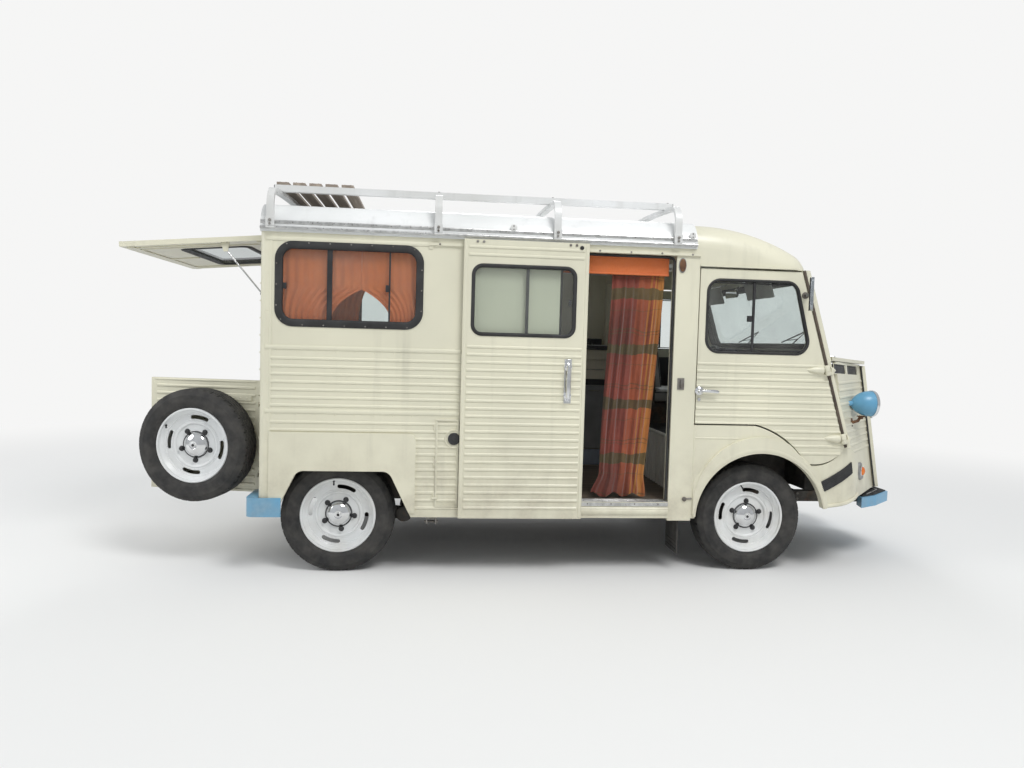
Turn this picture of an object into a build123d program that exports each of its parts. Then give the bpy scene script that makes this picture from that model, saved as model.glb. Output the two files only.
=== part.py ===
from build123d import *

# Camper van: a short front-wheel-drive panel van with ribbed steel sides, fitted out for camping.
# Millimetres. +X to the nose, +Y to the driver's side, +Z up, ground at Z = 0.
import math
import os

# Stance
wheelbase = 2527
rear_axle_x = -1220
front_axle_x = rear_axle_x + wheelbase
hub_height = 335
half_width = 970
wheel_inset = 158
half_track = half_width - wheel_inset
tyre_width = 185
rim_radius = 221
king_pin_y = half_track - 74

# Body shell
wall = 36
roof_wall = 26
panel_gap = 6
rib_pitch = 45
rib_height = 5
rib_foot = 20
rib_crest = 8
body_bottom_z = 345
floor_z = 444
floor_thick = 40
eaves_z = 1974
gutter_z = eaves_z + 24
roof_side_rise = 22
roof_edge_radius = 150
roof_camber = 66
roof_crown_z = eaves_z + roof_side_rise + roof_edge_radius + roof_camber
gutter_width = 12
gutter_height = 10

# Load space, measured back from the front axle or behind the rear axle
rear_overhang = 445
pillar_rear_offset = 549
pillar_front_offset = 405
side_door_opening = 702
side_door_head_z = eaves_z - 44
side_door_lag = 572
side_door_width = 733
side_door_thick = 22
side_door_slide_open = 215
side_door_slide_shut = 557
rear_opening_half = half_width - 278
rear_opening_bottom_z = 428
rear_opening_top_z = eaves_z - 22
rear_split_z = 1116
rear_door_thick = 32
rear_door_gap = 5
rear_door_rest_deg = 78
hatch_thick = 30
hatch_rest_deg = 85

# Cab, measured from the front axle
door_foot_offset = 588
door_foot_z = 708
door_line_slope = 0.3007
cab_door_bottom_z = 927
cab_door_top_z = eaves_z - 112
cab_gutter_z = eaves_z - 100
cowl_z = 1352
windscreen_frame_depth = 62
roof_bend_offset = -385
roof_bend_radius = 1350
roof_bend_deg = 28.2
roof_brow_radius = 240
roof_brow_deg = 58

# Nose, measured from the front axle
nose_foot_offset = 1115
nose_foot_z = 447
nose_top_z = 1322
nose_lean = 0.1725
nose_half = 400
nose_side_thick = 24
arch_offset = 33
arch_z = 338
arch_radius = 412
arch_lip_rise = 92
arch_lip_radius = 419
arch_lip_proud = 16

# Running gear
rail_y = 330
rail_width = 60
rail_height = 74
stub_radius = 30
stub_clearance = 0.08

# Hinges: pin, barrel round it, and the ear that holds the pin
hinge_pin_radius = 4
hinge_barrel_radius = 8
hinge_clearance = 0.08
hinge_length = 60
hinge_ear_length = 24
hinge_ear_gap = 0.5
hinge_notch = 17


def aft(distance):
    """X of a place this far ahead of the rear axle."""
    return rear_axle_x + distance


def nose(distance):
    """X of a place this far ahead of the front axle."""
    return front_axle_x + distance


def door_line(z):
    """X of the sloping shut line at the front of the cab doors."""
    return nose(door_foot_offset) - door_line_slope * (z - door_foot_z)


def nose_line(z):
    """X of the nose's front corners."""
    return nose(nose_foot_offset) - nose_lean * (z - nose_foot_z)


def outline(*points):
    """Closed flat shape through the points."""
    return make_face(Polyline(*points, close=True))


def across(sketch, y_low, y_high):
    """Side-view sketch in X and Z, made solid from y_low to y_high."""
    return extrude(Plane.XZ.offset(-y_high) * sketch, y_high - y_low)


def along(sketch, x_low, x_high):
    """Front-view sketch in Y and Z, made solid from x_low to x_high."""
    return extrude(Plane.YZ.offset(x_low) * sketch, x_high - x_low)


def upward(sketch, z_low, z_high):
    """Plan sketch in X and Y, made solid from z_low to z_high."""
    return extrude(Plane.XY.offset(z_low) * sketch, z_high - z_low)


def block(x_low, x_high, y_low, y_high, z_low, z_high):
    """Straight block between two corners."""
    size = Box(x_high - x_low, y_high - y_low, z_high - z_low)
    return Pos((x_low + x_high) / 2, (y_low + y_high) / 2, (z_low + z_high) / 2) * size


def side_span(side, inner, outer):
    """Low and high Y between two distances from the middle, on one side of the van."""
    return sorted((side * inner, side * outer))


def both_sides(shape):
    """The shape and its mirror image on the other side of the van."""
    return [shape, mirror(shape, Plane.XZ)]


def hinge_pin(foot, direction):
    """Hinge pin from its foot along the hinge line."""
    return Plane(foot, z_dir=direction) * Cylinder(
        hinge_pin_radius, hinge_length, align=(Align.CENTER, Align.CENTER, Align.MIN))


def hinge_barrel(foot, direction, leaf):
    """Barrel and leaf that turn on a hinge pin, above its ear."""
    length = hinge_length - hinge_ear_length - hinge_ear_gap
    align = (Align.CENTER, Align.CENTER, Align.MIN)
    plane = Plane(foot, z_dir=direction).offset(hinge_ear_length + hinge_ear_gap)
    barrel = plane * Cylinder(hinge_barrel_radius, length, align=align) + leaf
    return barrel - plane * Cylinder(hinge_pin_radius + hinge_clearance, length, align=align)


def rounded(width, height, radius):
    """Rectangle with round corners, for windows."""
    return RectangleRounded(width, height, radius)


def rib_levels(z_low, z_high):
    """Heights of the ribs' middles that fit between two levels."""
    count = int((z_high - z_low) // rib_pitch)
    start = (z_low + z_high - (count - 1) * rib_pitch) / 2
    return [start + index * rib_pitch for index in range(count)]


def ribbed_section(side, face, inner, z_low, z_high, bands):
    """Section in Y and Z of a wall: flat inside, ribs outside within each band of heights."""
    points = [(side * inner, z_low), (side * face, z_low)]
    for band_low, band_high in bands:
        for level in rib_levels(band_low, band_high):
            points.append((side * face, level - rib_foot / 2))
            points.append((side * (face + rib_height), level - rib_crest / 2))
            points.append((side * (face + rib_height), level + rib_crest / 2))
            points.append((side * face, level + rib_foot / 2))
    points += [(side * face, z_high), (side * inner, z_high)]
    return outline(*points)


parts = {}

# Body stations that several pieces share
body_rear_x = aft(-rear_overhang)
pillar_rear_x = nose(-pillar_rear_offset)
pillar_front_x = nose(-pillar_front_offset)
inner_half = half_width - wall
corner_post = 60
side_start_x = body_rear_x + corner_post
opening_rear_x = pillar_rear_x - side_door_opening

# Rear side windows: middle, size and corner
rear_window_width = 790
rear_window_x = side_start_x + 46 + rear_window_width / 2
rear_window_z = eaves_z - 290
rear_window_height = 436
rear_window_corner = 78

# Rear wheel arches in the body sides: half lengths and heights of the opening
rear_arch_x = aft(36)
rear_arch_top_half = 262
rear_arch_foot_half = 402
rear_arch_top_z = 614
wing_panel_front_x = aft(451)
wing_panel_top_z = 838
wing_panel_bottom_z = 372
wing_panel_proud = 11

rear_arch = outline(
    (rear_arch_x - rear_arch_foot_half, body_bottom_z - 20),
    (rear_arch_x - rear_arch_top_half, rear_arch_top_z),
    (rear_arch_x + rear_arch_top_half, rear_arch_top_z),
    (rear_arch_x + rear_arch_foot_half, body_bottom_z - 20),
)
rear_arch = fillet(rear_arch.vertices().sort_by(Axis.Y)[2:], 60)


def side_wall(side):
    """One ribbed side of the load space, from the rear corner post to the pillar behind the cab."""
    bands = [(body_bottom_z + 12, 938), (952, 1300)]
    panel = along(ribbed_section(side, half_width, inner_half, body_bottom_z, eaves_z, bands),
                  side_start_x, pillar_rear_x)
    wing = outline(
        (side_start_x, wing_panel_bottom_z),
        (side_start_x, wing_panel_top_z),
        (wing_panel_front_x, wing_panel_top_z),
        (wing_panel_front_x, wing_panel_bottom_z),
    )
    wing = fillet(wing.vertices().sort_by(Axis.X)[2:].sort_by(Axis.Y)[-1:], 45)
    panel = panel + across(wing, *side_span(side, half_width, half_width + wing_panel_proud))
    reach = side_span(side, inner_half - 1, half_width + wing_panel_proud + 1)
    panel = panel - across(rear_arch, *reach)
    window = Pos(rear_window_x, rear_window_z) * rounded(
        rear_window_width, rear_window_height, rear_window_corner)
    return panel - across(window, *reach)


# Ribbed sides; the kerb side has the doorway
side_right = side_wall(-1)
side_right = side_right - block(opening_rear_x, pillar_rear_x, -half_width - 30, -inner_half + 1,
                                floor_z, side_door_head_z)
parts["side_right"] = side_right
parts["side_left"] = side_wall(1)

# Load floor with its two rear wheel boxes
frame_depth = 44
wheel_box_front_x = rear_axle_x + hub_height + 63
wheel_box_rear_x = body_rear_x + frame_depth + 3
wheel_box_inner_y = half_track - 122
wheel_box_top_z = 2 * hub_height + 46
wheel_box_wall = 10
partition_x = pillar_front_x - 20
load_floor = block(side_start_x, partition_x, -inner_half, inner_half,
                   floor_z - floor_thick, floor_z)
for side in (-1, 1):
    shell = block(wheel_box_rear_x, wheel_box_front_x,
                  *side_span(side, wheel_box_inner_y, inner_half),
                  floor_z - floor_thick, wheel_box_top_z)
    hollow = block(wheel_box_rear_x + wheel_box_wall, wheel_box_front_x - wheel_box_wall,
                   *side_span(side, wheel_box_inner_y + wheel_box_wall, inner_half + 2),
                   0, wheel_box_top_z - wheel_box_wall)
    load_floor = load_floor + shell - hollow
parts["load_floor"] = load_floor


def crown_radius(half, edge, camber):
    """Radius of the wide arc that rises by camber between two edge arcs."""
    reach = half - edge
    return edge + (reach ** 2 + camber ** 2) / (2 * camber)


def roof_section(half, crown, edge, bottom, sweep):
    """Section of a roof or hoop: level sides, edge arcs and one wide crown arc of radius sweep."""
    crown_centre = crown - sweep
    reach = sweep - edge
    edge_z = crown_centre + math.sqrt(reach ** 2 - (half - edge) ** 2)
    turn_y = sweep * (half - edge) / reach
    turn_z = crown_centre + sweep * (edge_z - crown_centre) / reach
    angle = math.atan2(turn_z - edge_z, turn_y - (half - edge)) / 2
    mid_y = half - edge + edge * math.cos(angle)
    mid_z = edge_z + edge * math.sin(angle)
    border = [
        Line((-half, bottom), (-half, edge_z)),
        ThreePointArc((-half, edge_z), (-mid_y, mid_z), (-turn_y, turn_z)),
        ThreePointArc((-turn_y, turn_z), (0, crown), (turn_y, turn_z)),
        ThreePointArc((turn_y, turn_z), (mid_y, mid_z), (half, edge_z)),
        Line((half, edge_z), (half, bottom)),
        Line((half, bottom), (-half, bottom)),
    ]
    return make_face(border)


# Load roof: a smooth shell with round edges and a gutter along each side
roof_half = half_width + 10
roof_crown_radius = crown_radius(half_width, roof_edge_radius, roof_camber)
load_roof_front_x = nose(-430)
roof_outer = roof_section(roof_half, roof_crown_z, roof_edge_radius, eaves_z, roof_crown_radius)
roof_inner = roof_section(roof_half - roof_wall, roof_crown_z - roof_wall,
                          roof_edge_radius - roof_wall, eaves_z - 1,
                          roof_crown_radius - roof_wall)
load_roof = along(roof_outer, body_rear_x, load_roof_front_x)
load_roof = load_roof - along(roof_inner, body_rear_x + roof_wall, load_roof_front_x + 1)
for side in (-1, 1):
    load_roof = load_roof + block(body_rear_x, load_roof_front_x,
                                  *side_span(side, roof_half - 6, roof_half + gutter_width),
                                  gutter_z - gutter_height, gutter_z)
    load_roof = load_roof + block(body_rear_x, load_roof_front_x,
                                  *side_span(side, inner_half, roof_half - 6),
                                  eaves_z, eaves_z + 14)
parts["load_roof"] = load_roof

# Rear frame: corner posts and the panel round the rear opening, with brackets for the hatch struts
frame_bottom_z = body_bottom_z + 60
rear_frame = block(body_rear_x, body_rear_x + frame_depth, -half_width, half_width,
                   frame_bottom_z, eaves_z)
rear_frame = rear_frame - block(body_rear_x - 1, body_rear_x + frame_depth + 1,
                                -rear_opening_half, rear_opening_half,
                                rear_opening_bottom_z, rear_opening_top_z)
for side in (-1, 1):
    rear_frame = rear_frame + block(body_rear_x, side_start_x,
                                    *side_span(side, inner_half, half_width),
                                    frame_bottom_z, eaves_z)
rear_corners = [edge for edge in rear_frame.edges().filter_by(Axis.Z)
                if abs(abs(edge.center().Y) - half_width) < 0.1
                and abs(edge.center().X - body_rear_x) < 0.1]
rear_frame = fillet(rear_corners, 32)
strut_y = rear_opening_half - 22
strut_foot_x = body_rear_x + 230
strut_foot_z = eaves_z - 674
strut_pin_radius = 5
gusset_thick = 8
gusset = outline(
    (body_rear_x + frame_depth, strut_foot_z - 60),
    (body_rear_x + frame_depth, strut_foot_z + 60),
    (strut_foot_x + 22, strut_foot_z + 22),
    (strut_foot_x + 22, strut_foot_z - 22),
)
for side in (-1, 1):
    rear_frame = rear_frame + across(gusset, *side_span(side, rear_opening_half,
                                                        rear_opening_half + gusset_thick))
    rear_frame = rear_frame + across(Pos(strut_foot_x, strut_foot_z) * Circle(strut_pin_radius),
                                     *side_span(side, strut_y - 10, rear_opening_half))
rear_door_thick_x = rear_door_gap + rear_door_thick
rear_hinge_x = body_rear_x - rear_door_thick_x - 3
rear_hinge_y = rear_opening_half + 14
rear_hinge_stations = (530, 960)
hatch_hinge_x = body_rear_x - 18
hatch_hinge_z = eaves_z - 8
hatch_hinge_stations = (-480, 420)
for side in (-1, 1):
    for z in rear_hinge_stations:
        ear = Pos(rear_hinge_x, side * rear_hinge_y) * Circle(hinge_barrel_radius)
        arm_y = side * (rear_hinge_y + 2)
        arm = Pos((rear_hinge_x + body_rear_x) / 2, arm_y) * Rectangle(
            body_rear_x - rear_hinge_x, 2 * hinge_barrel_radius - 4)
        rear_frame = rear_frame + upward(ear + arm, z, z + hinge_ear_length)
        rear_frame = rear_frame + hinge_pin((rear_hinge_x, side * rear_hinge_y, z), (0, 0, 1))
for y in hatch_hinge_stations:
    ear = Pos(hatch_hinge_x, hatch_hinge_z) * Circle(hinge_barrel_radius)
    arm = Pos((hatch_hinge_x + body_rear_x) / 2, hatch_hinge_z) * Rectangle(
        body_rear_x - hatch_hinge_x, 2 * hinge_barrel_radius)
    rear_frame = rear_frame + across(ear + arm, y, y + hinge_ear_length)
    rear_frame = rear_frame + hinge_pin((hatch_hinge_x, y, hatch_hinge_z), (0, 1, 0))
parts["rear_frame"] = rear_frame

# Pillars behind the cab, joined by a roof bow
pillar_width = 90
bow_depth = 80
pillars = block(pillar_rear_x, pillar_front_x, -half_width, half_width, 331, eaves_z)
pillars = pillars - block(pillar_rear_x - 1, pillar_front_x + 1,
                          -half_width + pillar_width, half_width - pillar_width,
                          300, eaves_z - bow_depth)
pillars = pillars - block(partition_x, pillar_front_x + 1, -inner_half, inner_half,
                          300, eaves_z - bow_depth)
pillars = pillars - block(pillar_rear_x - 1, pillar_front_x + 1, -inner_half, inner_half,
                          300, floor_z)
parts["cab_pillars"] = pillars

# Cab roof: the roof's section swung down over the cab, then rolled over as a brow
bend_x = nose(roof_bend_offset)
cab_crown_z = roof_crown_z - 12
bend_centre_z = cab_crown_z - roof_bend_radius
bend_axis = Axis((bend_x, 0, bend_centre_z), (0, 1, 0))
bend = math.radians(roof_bend_deg)
brow_x = bend_x + (roof_bend_radius - roof_brow_radius) * math.sin(bend)
brow_z = bend_centre_z + (roof_bend_radius - roof_brow_radius) * math.cos(bend)
brow_axis = Axis((brow_x, 0, brow_z), (0, 1, 0))
header_rear_x = door_line(cab_gutter_z) - 14
header_thick = 16


def cab_roof_form(inset):
    """Solid form of the cab roof above the door gutter, drawn in by inset."""
    half = half_width - inset
    crown = cab_crown_z - inset
    section = roof_section(half, crown, roof_edge_radius - inset, eaves_z,
                           roof_crown_radius - inset)
    form = along(section, load_roof_front_x, bend_x)
    form = form + revolve(Plane.YZ.offset(bend_x) * section, bend_axis, roof_bend_deg)
    turned = (Plane.YZ.offset(bend_x) * section).rotate(bend_axis, roof_bend_deg)
    form = form + revolve(turned, brow_axis, roof_brow_deg)
    radius = eaves_z - bend_centre_z
    end_x = bend_x + math.sqrt(radius ** 2 - (cab_gutter_z - bend_centre_z) ** 2)
    mid_turn = math.asin((end_x - bend_x) / radius) / 2
    mid = (bend_x + radius * math.sin(mid_turn), bend_centre_z + radius * math.cos(mid_turn))
    side_fill = make_face([
        Line((pillar_front_x, cab_gutter_z), (pillar_front_x, eaves_z)),
        Line((pillar_front_x, eaves_z), (bend_x, eaves_z)),
        ThreePointArc((bend_x, eaves_z), mid, (end_x, cab_gutter_z)),
        Line((end_x, cab_gutter_z), (pillar_front_x, cab_gutter_z)),
    ])
    form = form + across(side_fill, -half, half)
    return form & block(load_roof_front_x, brow_x + 500, -half_width - 10, half_width + 10,
                        cab_gutter_z, cab_crown_z + 10)


cab_roof_solid = cab_roof_form(0)
header = cab_roof_solid & block(header_rear_x, brow_x + 500, -half_width, half_width,
                                cab_gutter_z, cab_gutter_z + header_thick)
cab_roof = cab_roof_solid - cab_roof_form(roof_wall) + header
for side in (-1, 1):
    cab_roof = cab_roof + block(pillar_front_x, nose(210),
                                *side_span(side, half_width - 4, half_width + gutter_width),
                                cab_gutter_z, cab_gutter_z + gutter_height)
parts["cab_roof"] = cab_roof

# Windscreen frame with its two sloping posts, and the bulkhead under it
post_width = 90
post_depth = 46
post_foot_z = 790
screen_half = half_width - 102
screen_low_z = cowl_z + 60
screen_high_z = cab_gutter_z - 52
screen_corner = 80


def line_strip(z_low, z_high, behind, ahead):
    """Side-view strip that runs beside the door line, between two offsets from it."""
    return outline((door_line(z_low) + behind, z_low), (door_line(z_low) + ahead, z_low),
                   (door_line(z_high) + ahead, z_high), (door_line(z_high) + behind, z_high))


screen_foot_z = cowl_z - 27
screen_frame = across(line_strip(screen_foot_z, cab_gutter_z, panel_gap, windscreen_frame_depth),
                      -half_width, half_width)
screen_middle_z = (screen_low_z + screen_high_z) / 2
screen_opening = Pos(0, screen_middle_z) * rounded(
    2 * screen_half, screen_high_z - screen_low_z, screen_corner)
screen_cut = along(screen_opening, nose(0), nose(900))
screen_frame = screen_frame - screen_cut
for side in (-1, 1):
    screen_frame = screen_frame + across(
        line_strip(post_foot_z, screen_foot_z + 5, panel_gap, post_depth),
        *side_span(side, half_width - post_width, half_width))
bulkhead_behind = 14
bulkhead_ahead = 30
bulkhead_low_z = 500
bulkhead_low_half = half_width - 140
screen_frame = screen_frame + across(
    line_strip(post_foot_z, screen_foot_z + 5, bulkhead_behind, bulkhead_ahead),
    -half_width + post_width, half_width - post_width)
screen_frame = screen_frame + across(
    line_strip(bulkhead_low_z, post_foot_z + 1, bulkhead_behind, bulkhead_ahead),
    -bulkhead_low_half, bulkhead_low_half)
corner_edges = [edge for edge in screen_frame.edges()
                if abs(abs(edge.center().Y) - half_width) < 0.1
                and abs(edge.center().X - door_line(edge.center().Z) - windscreen_frame_depth) < 0.5
                and edge.center().Z > cowl_z]
screen_frame = fillet(corner_edges, 30)

# Ears and pins of the cab door hinges and of the bonnet hinges, on the windscreen frame
door_hinge_y = half_width + 20
door_hinge_stations = (819, 1240)
door_hinge_tilt = math.atan(door_line_slope)
door_hinge_dir = (-math.sin(door_hinge_tilt), 0, math.cos(door_hinge_tilt))
door_hinge_fore = (math.cos(door_hinge_tilt), 0, math.sin(door_hinge_tilt))


def door_hinge_piece(side, z, sketch, start, length):
    """Sketch across a cab door's hinge line, made solid from start upwards along the line."""
    plane = Plane((door_line(z), side * door_hinge_y, z), x_dir=door_hinge_fore,
                  z_dir=door_hinge_dir)
    return extrude(plane.offset(start) * sketch, length)


def hinge_rectangle(side, fore_low, fore_high, inward_low, inward_high):
    """Rectangle across a cab door's hinge line: forward and inward of the line."""
    y_low, y_high = sorted((-side * inward_low, -side * inward_high))
    return Pos((fore_low + fore_high) / 2, (y_low + y_high) / 2) * Rectangle(
        fore_high - fore_low, y_high - y_low)


for side in (-1, 1):
    for z in door_hinge_stations:
        ear = hinge_rectangle(side, 7, 34, -6, door_hinge_y - half_width + 2)
        ear = ear + hinge_rectangle(side, 0, 8, -hinge_barrel_radius, hinge_barrel_radius)
        ear = ear + Circle(hinge_barrel_radius)
        screen_frame = screen_frame + door_hinge_piece(side, z, ear, 0, hinge_ear_length)
        screen_frame = screen_frame + door_hinge_piece(side, z, Circle(hinge_pin_radius),
                                                       0, hinge_length)

bonnet_thick = 22
bonnet_rear_x = door_line(cowl_z - bonnet_thick) + windscreen_frame_depth + panel_gap
bonnet_hinge_y = 540
for side in (-1, 1):
    foot_y = side * bonnet_hinge_y
    ear = block(bonnet_rear_x - 18, bonnet_rear_x, *sorted((foot_y, foot_y + hinge_ear_length)),
                cowl_z - hinge_barrel_radius, cowl_z + hinge_barrel_radius)
    ear = ear + across(Pos(bonnet_rear_x, cowl_z) * Circle(hinge_barrel_radius),
                       foot_y, foot_y + hinge_ear_length)
    screen_frame = screen_frame + ear + hinge_pin((bonnet_rear_x, foot_y, cowl_z), (0, 1, 0))
parts["windscreen_frame"] = screen_frame

# Fixed glass: the windscreen and the rear side windows
pane = 6
windscreen = screen_cut & across(line_strip(screen_low_z - 5, screen_high_z + 5, 34, 34 + pane),
                                 -half_width, half_width)
rear_window = Pos(rear_window_x, rear_window_z) * rounded(
    rear_window_width, rear_window_height, rear_window_corner)
pane_y = half_width - 14
fixed_glass = [windscreen]
for side in (-1, 1):
    fixed_glass.append(across(rear_window, *side_span(side, pane_y - pane, pane_y)))
parts["fixed_glass"] = Compound(children=fixed_glass)

# Cab doors: outline with the wheel arch sweep, ribbed skin and a slanted window
door_rear_x = pillar_front_x + panel_gap
sweep_start = (nose(-16), cab_door_bottom_z)
sweep_middle = (nose(198), 824)
sweep_end = (nose(315), 694)
toe_middle = (nose(420), 690)
toe_z = 786


def cab_door_outline(gap):
    """Side view of a cab door's lower edge and sides, grown by gap at the lower edge."""
    toe = (door_line(toe_z) - 2, toe_z - gap)
    start = (sweep_start[0], sweep_start[1] - gap)
    middle = (sweep_middle[0] - gap * 0.6, sweep_middle[1] - gap * 0.8)
    end = (sweep_end[0] - gap * 0.4, sweep_end[1] - gap)
    low = (toe_middle[0], toe_middle[1] - gap)
    return [
        Line((door_rear_x, start[1]), start),
        ThreePointArc(start, middle, end),
        ThreePointArc(end, low, toe),
    ], toe


cab_window_low_z = cowl_z + 12
cab_window_high_z = cab_door_top_z - 64
cab_window_rear_x = pillar_front_x + 56
cab_window = outline(
    (cab_window_rear_x, cab_window_low_z),
    (nose(316), cab_window_low_z),
    (nose(206), cab_window_high_z),
    (cab_window_rear_x, cab_window_high_z),
)
cab_window = fillet(cab_window.vertices(), 76)


def cab_door(side):
    """A cab door and its pane."""
    border, toe = cab_door_outline(0)
    top = (door_line(cab_door_top_z) - 2, cab_door_top_z)
    border = border + [
        Line(toe, top),
        Line(top, (door_rear_x, cab_door_top_z)),
        Line((door_rear_x, cab_door_top_z), (door_rear_x, cab_door_bottom_z)),
    ]
    reach = half_width + rib_height + 2
    skin = along(ribbed_section(side, half_width, inner_half, 600, cab_door_top_z + 5,
                                [(712, 1330)]), nose(-450), nose(700))
    form = across(make_face(border), *side_span(side, 0, reach))
    panel = (skin & form) - across(cab_window, -reach, reach)
    for z in door_hinge_stations:
        start = hinge_ear_length + hinge_ear_gap
        length = hinge_length - start
        leaf = hinge_rectangle(side, -44, 0, 1, door_hinge_y - half_width + 2)
        leaf = leaf + Circle(hinge_barrel_radius) - Circle(hinge_pin_radius + hinge_clearance)
        panel = panel + door_hinge_piece(side, z, leaf, start, length)
    return panel, across(cab_window, *side_span(side, pane_y - pane, pane_y))


for side, name in ((-1, "right"), (1, "left")):
    panel, glass = cab_door(side)
    parts["cab_door_" + name] = panel
    parts["cab_glass_" + name] = glass

# Door mirrors: an arm on the door and a head turned to the driver's eye
mirror_x = nose(238)
mirror_z = 1722
mirror_y = half_width + 128
mirror_turn_deg = 63
mirror_width = 118
mirror_thick = 22
mirror_height = 198
head = Box(mirror_width, mirror_thick, mirror_height)
head = fillet(head.edges().filter_by(Axis.Y), 36)
head = fillet(head.faces().sort_by(Axis.Y)[-1].edges(), 9)
mirror_right = Pos(mirror_x, -mirror_y, mirror_z) * Rot(0, 0, mirror_turn_deg) * head
arm_foot_x = nose(262)
arm_z = 1722
arm = Plane((arm_foot_x, -half_width, arm_z), z_dir=(mirror_x - arm_foot_x, -mirror_y + half_width, 0))
mirror_right = mirror_right + arm * Cylinder(7, 128, align=(Align.CENTER, Align.CENTER, Align.MIN))
mirror_right = mirror_right - block(nose(0), nose(600), -half_width, 0, 1500, 1900)
parts["mirror_right"] = mirror_right
parts["mirror_left"] = mirror(mirror_right, Plane.XZ)

# Front wings: a band that turns in to the nose, cut to the arch, with a flared lip
wing_thick = 34
wing_outer = [
    (nose(433), -half_width),
    (nose(638), -half_width + 58),
    (nose(783), -half_width + 205),
]
wing_inner = [
    (wing_outer[2][0] - wing_thick * 0.80, wing_outer[2][1] + wing_thick * 0.62),
    (wing_outer[1][0] - wing_thick * 0.42, wing_outer[1][1] + wing_thick * 0.90),
    (wing_outer[0][0], wing_outer[0][1] + wing_thick),
]
wing_rear = [(pillar_front_x, -half_width + wing_thick), (pillar_front_x, -half_width)]
wing_plan = make_face([
    Line(wing_rear[1], wing_outer[0]),
    ThreePointArc(*wing_outer),
    Line(wing_outer[2], wing_inner[0]),
    ThreePointArc(*wing_inner),
    Line(wing_inner[2], wing_rear[0]),
    Line(wing_rear[0], wing_rear[1]),
])
wing_gap = 9.5
wing_edge, wing_toe = cab_door_outline(wing_gap)
wing_top_z = cab_door_bottom_z - wing_gap
wing_foot_z = 412
wing_rest = [
    wing_toe,
    (door_line(post_foot_z) + panel_gap, post_foot_z),
    (nose(668), 768),
    (nose(783), 640),
    (nose(783), 486),
    (nose(640), 440),
    (nose(449), wing_foot_z),
    (nose(400), wing_foot_z),
    (nose(400), body_bottom_z),
    (pillar_front_x, body_bottom_z),
    (pillar_front_x, wing_top_z),
    (door_rear_x, wing_top_z),
]
wing_side = make_face(wing_edge + [Line(a, b) for a, b in zip(wing_rest, wing_rest[1:])])
arch_x = nose(arch_offset)
arch_hole = Pos(arch_x, arch_z) * Circle(arch_radius)
lip_face = Pos(arch_x - 10, arch_z + arch_lip_rise) * Circle(arch_lip_radius)
lip_face = lip_face - arch_hole - Pos(arch_x, arch_z - 300) * Rectangle(1400, 640)
lip_face = lip_face & wing_side
wing = upward(wing_plan, body_bottom_z - 5, cab_door_bottom_z + 5)
wing = wing & across(wing_side, -half_width - 5, 0)
wing = wing - across(arch_hole, -half_width - 20, 0)
wing = wing + across(lip_face, -half_width - arch_lip_proud, -half_width + 4)
parts["front_wings"] = Compound(children=both_sides(wing))

# Nose sides: ribbed panels that lean back and close in to the grille, with two air vents each
nose_root_x = nose(606.6)
nose_run = math.hypot(nose_line(nose_foot_z) - nose_root_x, half_width + rib_height - nose_half)
nose_turn = math.atan2(half_width + rib_height - nose_half, nose_line(nose_foot_z) - nose_root_x)
nose_out = Vector(math.sin(nose_turn), -math.cos(nose_turn), 0)
nose_along = Vector(math.cos(nose_turn), math.sin(nose_turn), 0)
nose_plane = Plane((nose_root_x, -half_width - rib_height, nose_foot_z),
                   x_dir=nose_out, z_dir=-nose_along)
back_lean = nose_lean * math.sin(nose_turn)
nose_height = cowl_z + 60 - nose_foot_z
skin_points = [(-nose_side_thick, 0), (0, 0)]
for level in rib_levels(700 - nose_foot_z, 1226 - nose_foot_z):
    for offset, stand in ((-rib_foot, 0), (-rib_crest, rib_height),
                          (rib_crest, rib_height), (rib_foot, 0)):
        height = level + offset / 2
        skin_points.append((stand - back_lean * height, height))
skin_points.append((-back_lean * nose_height, nose_height))
skin_points.append((-back_lean * nose_height - nose_side_thick, nose_height))
nose_panel = extrude(nose_plane * outline(*skin_points), nose_run + 60, dir=nose_along)
bonnet_front_x = nose_line(nose_top_z) + 36
bonnet_drop = 27
bonnet_gap = 5


def bonnet_top(x):
    """Height of the bonnet's top face at x."""
    return cowl_z - bonnet_drop * (x - bonnet_rear_x) / (bonnet_front_x - bonnet_rear_x)


nose_panel_top_z = bonnet_top(nose_line(nose_top_z)) - bonnet_thick - bonnet_gap
nose_cut = outline(
    (door_line(nose_foot_z) + post_depth, nose_foot_z),
    (nose_line(nose_foot_z), nose_foot_z),
    (nose_line(nose_panel_top_z), nose_panel_top_z),
    (bonnet_rear_x, screen_foot_z),
    (door_line(screen_foot_z) + post_depth, screen_foot_z),
)
nose_panel = nose_panel & across(nose_cut, -half_width - 40, -200)
wing_fill = upward(wing_plan, 300, 1000) & across(wing_side, -half_width - 5, 0)
nose_panel = nose_panel - wing_fill
vent_width = 300
vent_height = 58
vent_start = 37
vent_bar = 40
vent_rim = 14
panel_top_fall = ((screen_foot_z - nose_panel_top_z)
                  / (nose_line(nose_panel_top_z) - bonnet_rear_x))
vent_top_x = nose_root_x - nose_lean * (nose_panel_top_z - nose_foot_z)
for index in range(2):
    reach = vent_start + vent_width / 2 + index * (vent_width + vent_bar)
    spot_x = vent_top_x + nose_along.X * reach
    level = (screen_foot_z - panel_top_fall * (spot_x - bonnet_rear_x)
             - vent_rim - vent_height / 2 - nose_foot_z)
    spot = (Vector(nose_root_x, -half_width - rib_height, nose_foot_z)
            + nose_along * reach + Vector(-nose_lean * level, 0, level))
    slot = Plane(spot, x_dir=nose_along - Vector(0, 0, panel_top_fall * nose_along.X),
                 z_dir=nose_out)
    nose_panel = nose_panel - extrude(slot * rounded(vent_width, vent_height, 8), 60, both=True)
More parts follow.
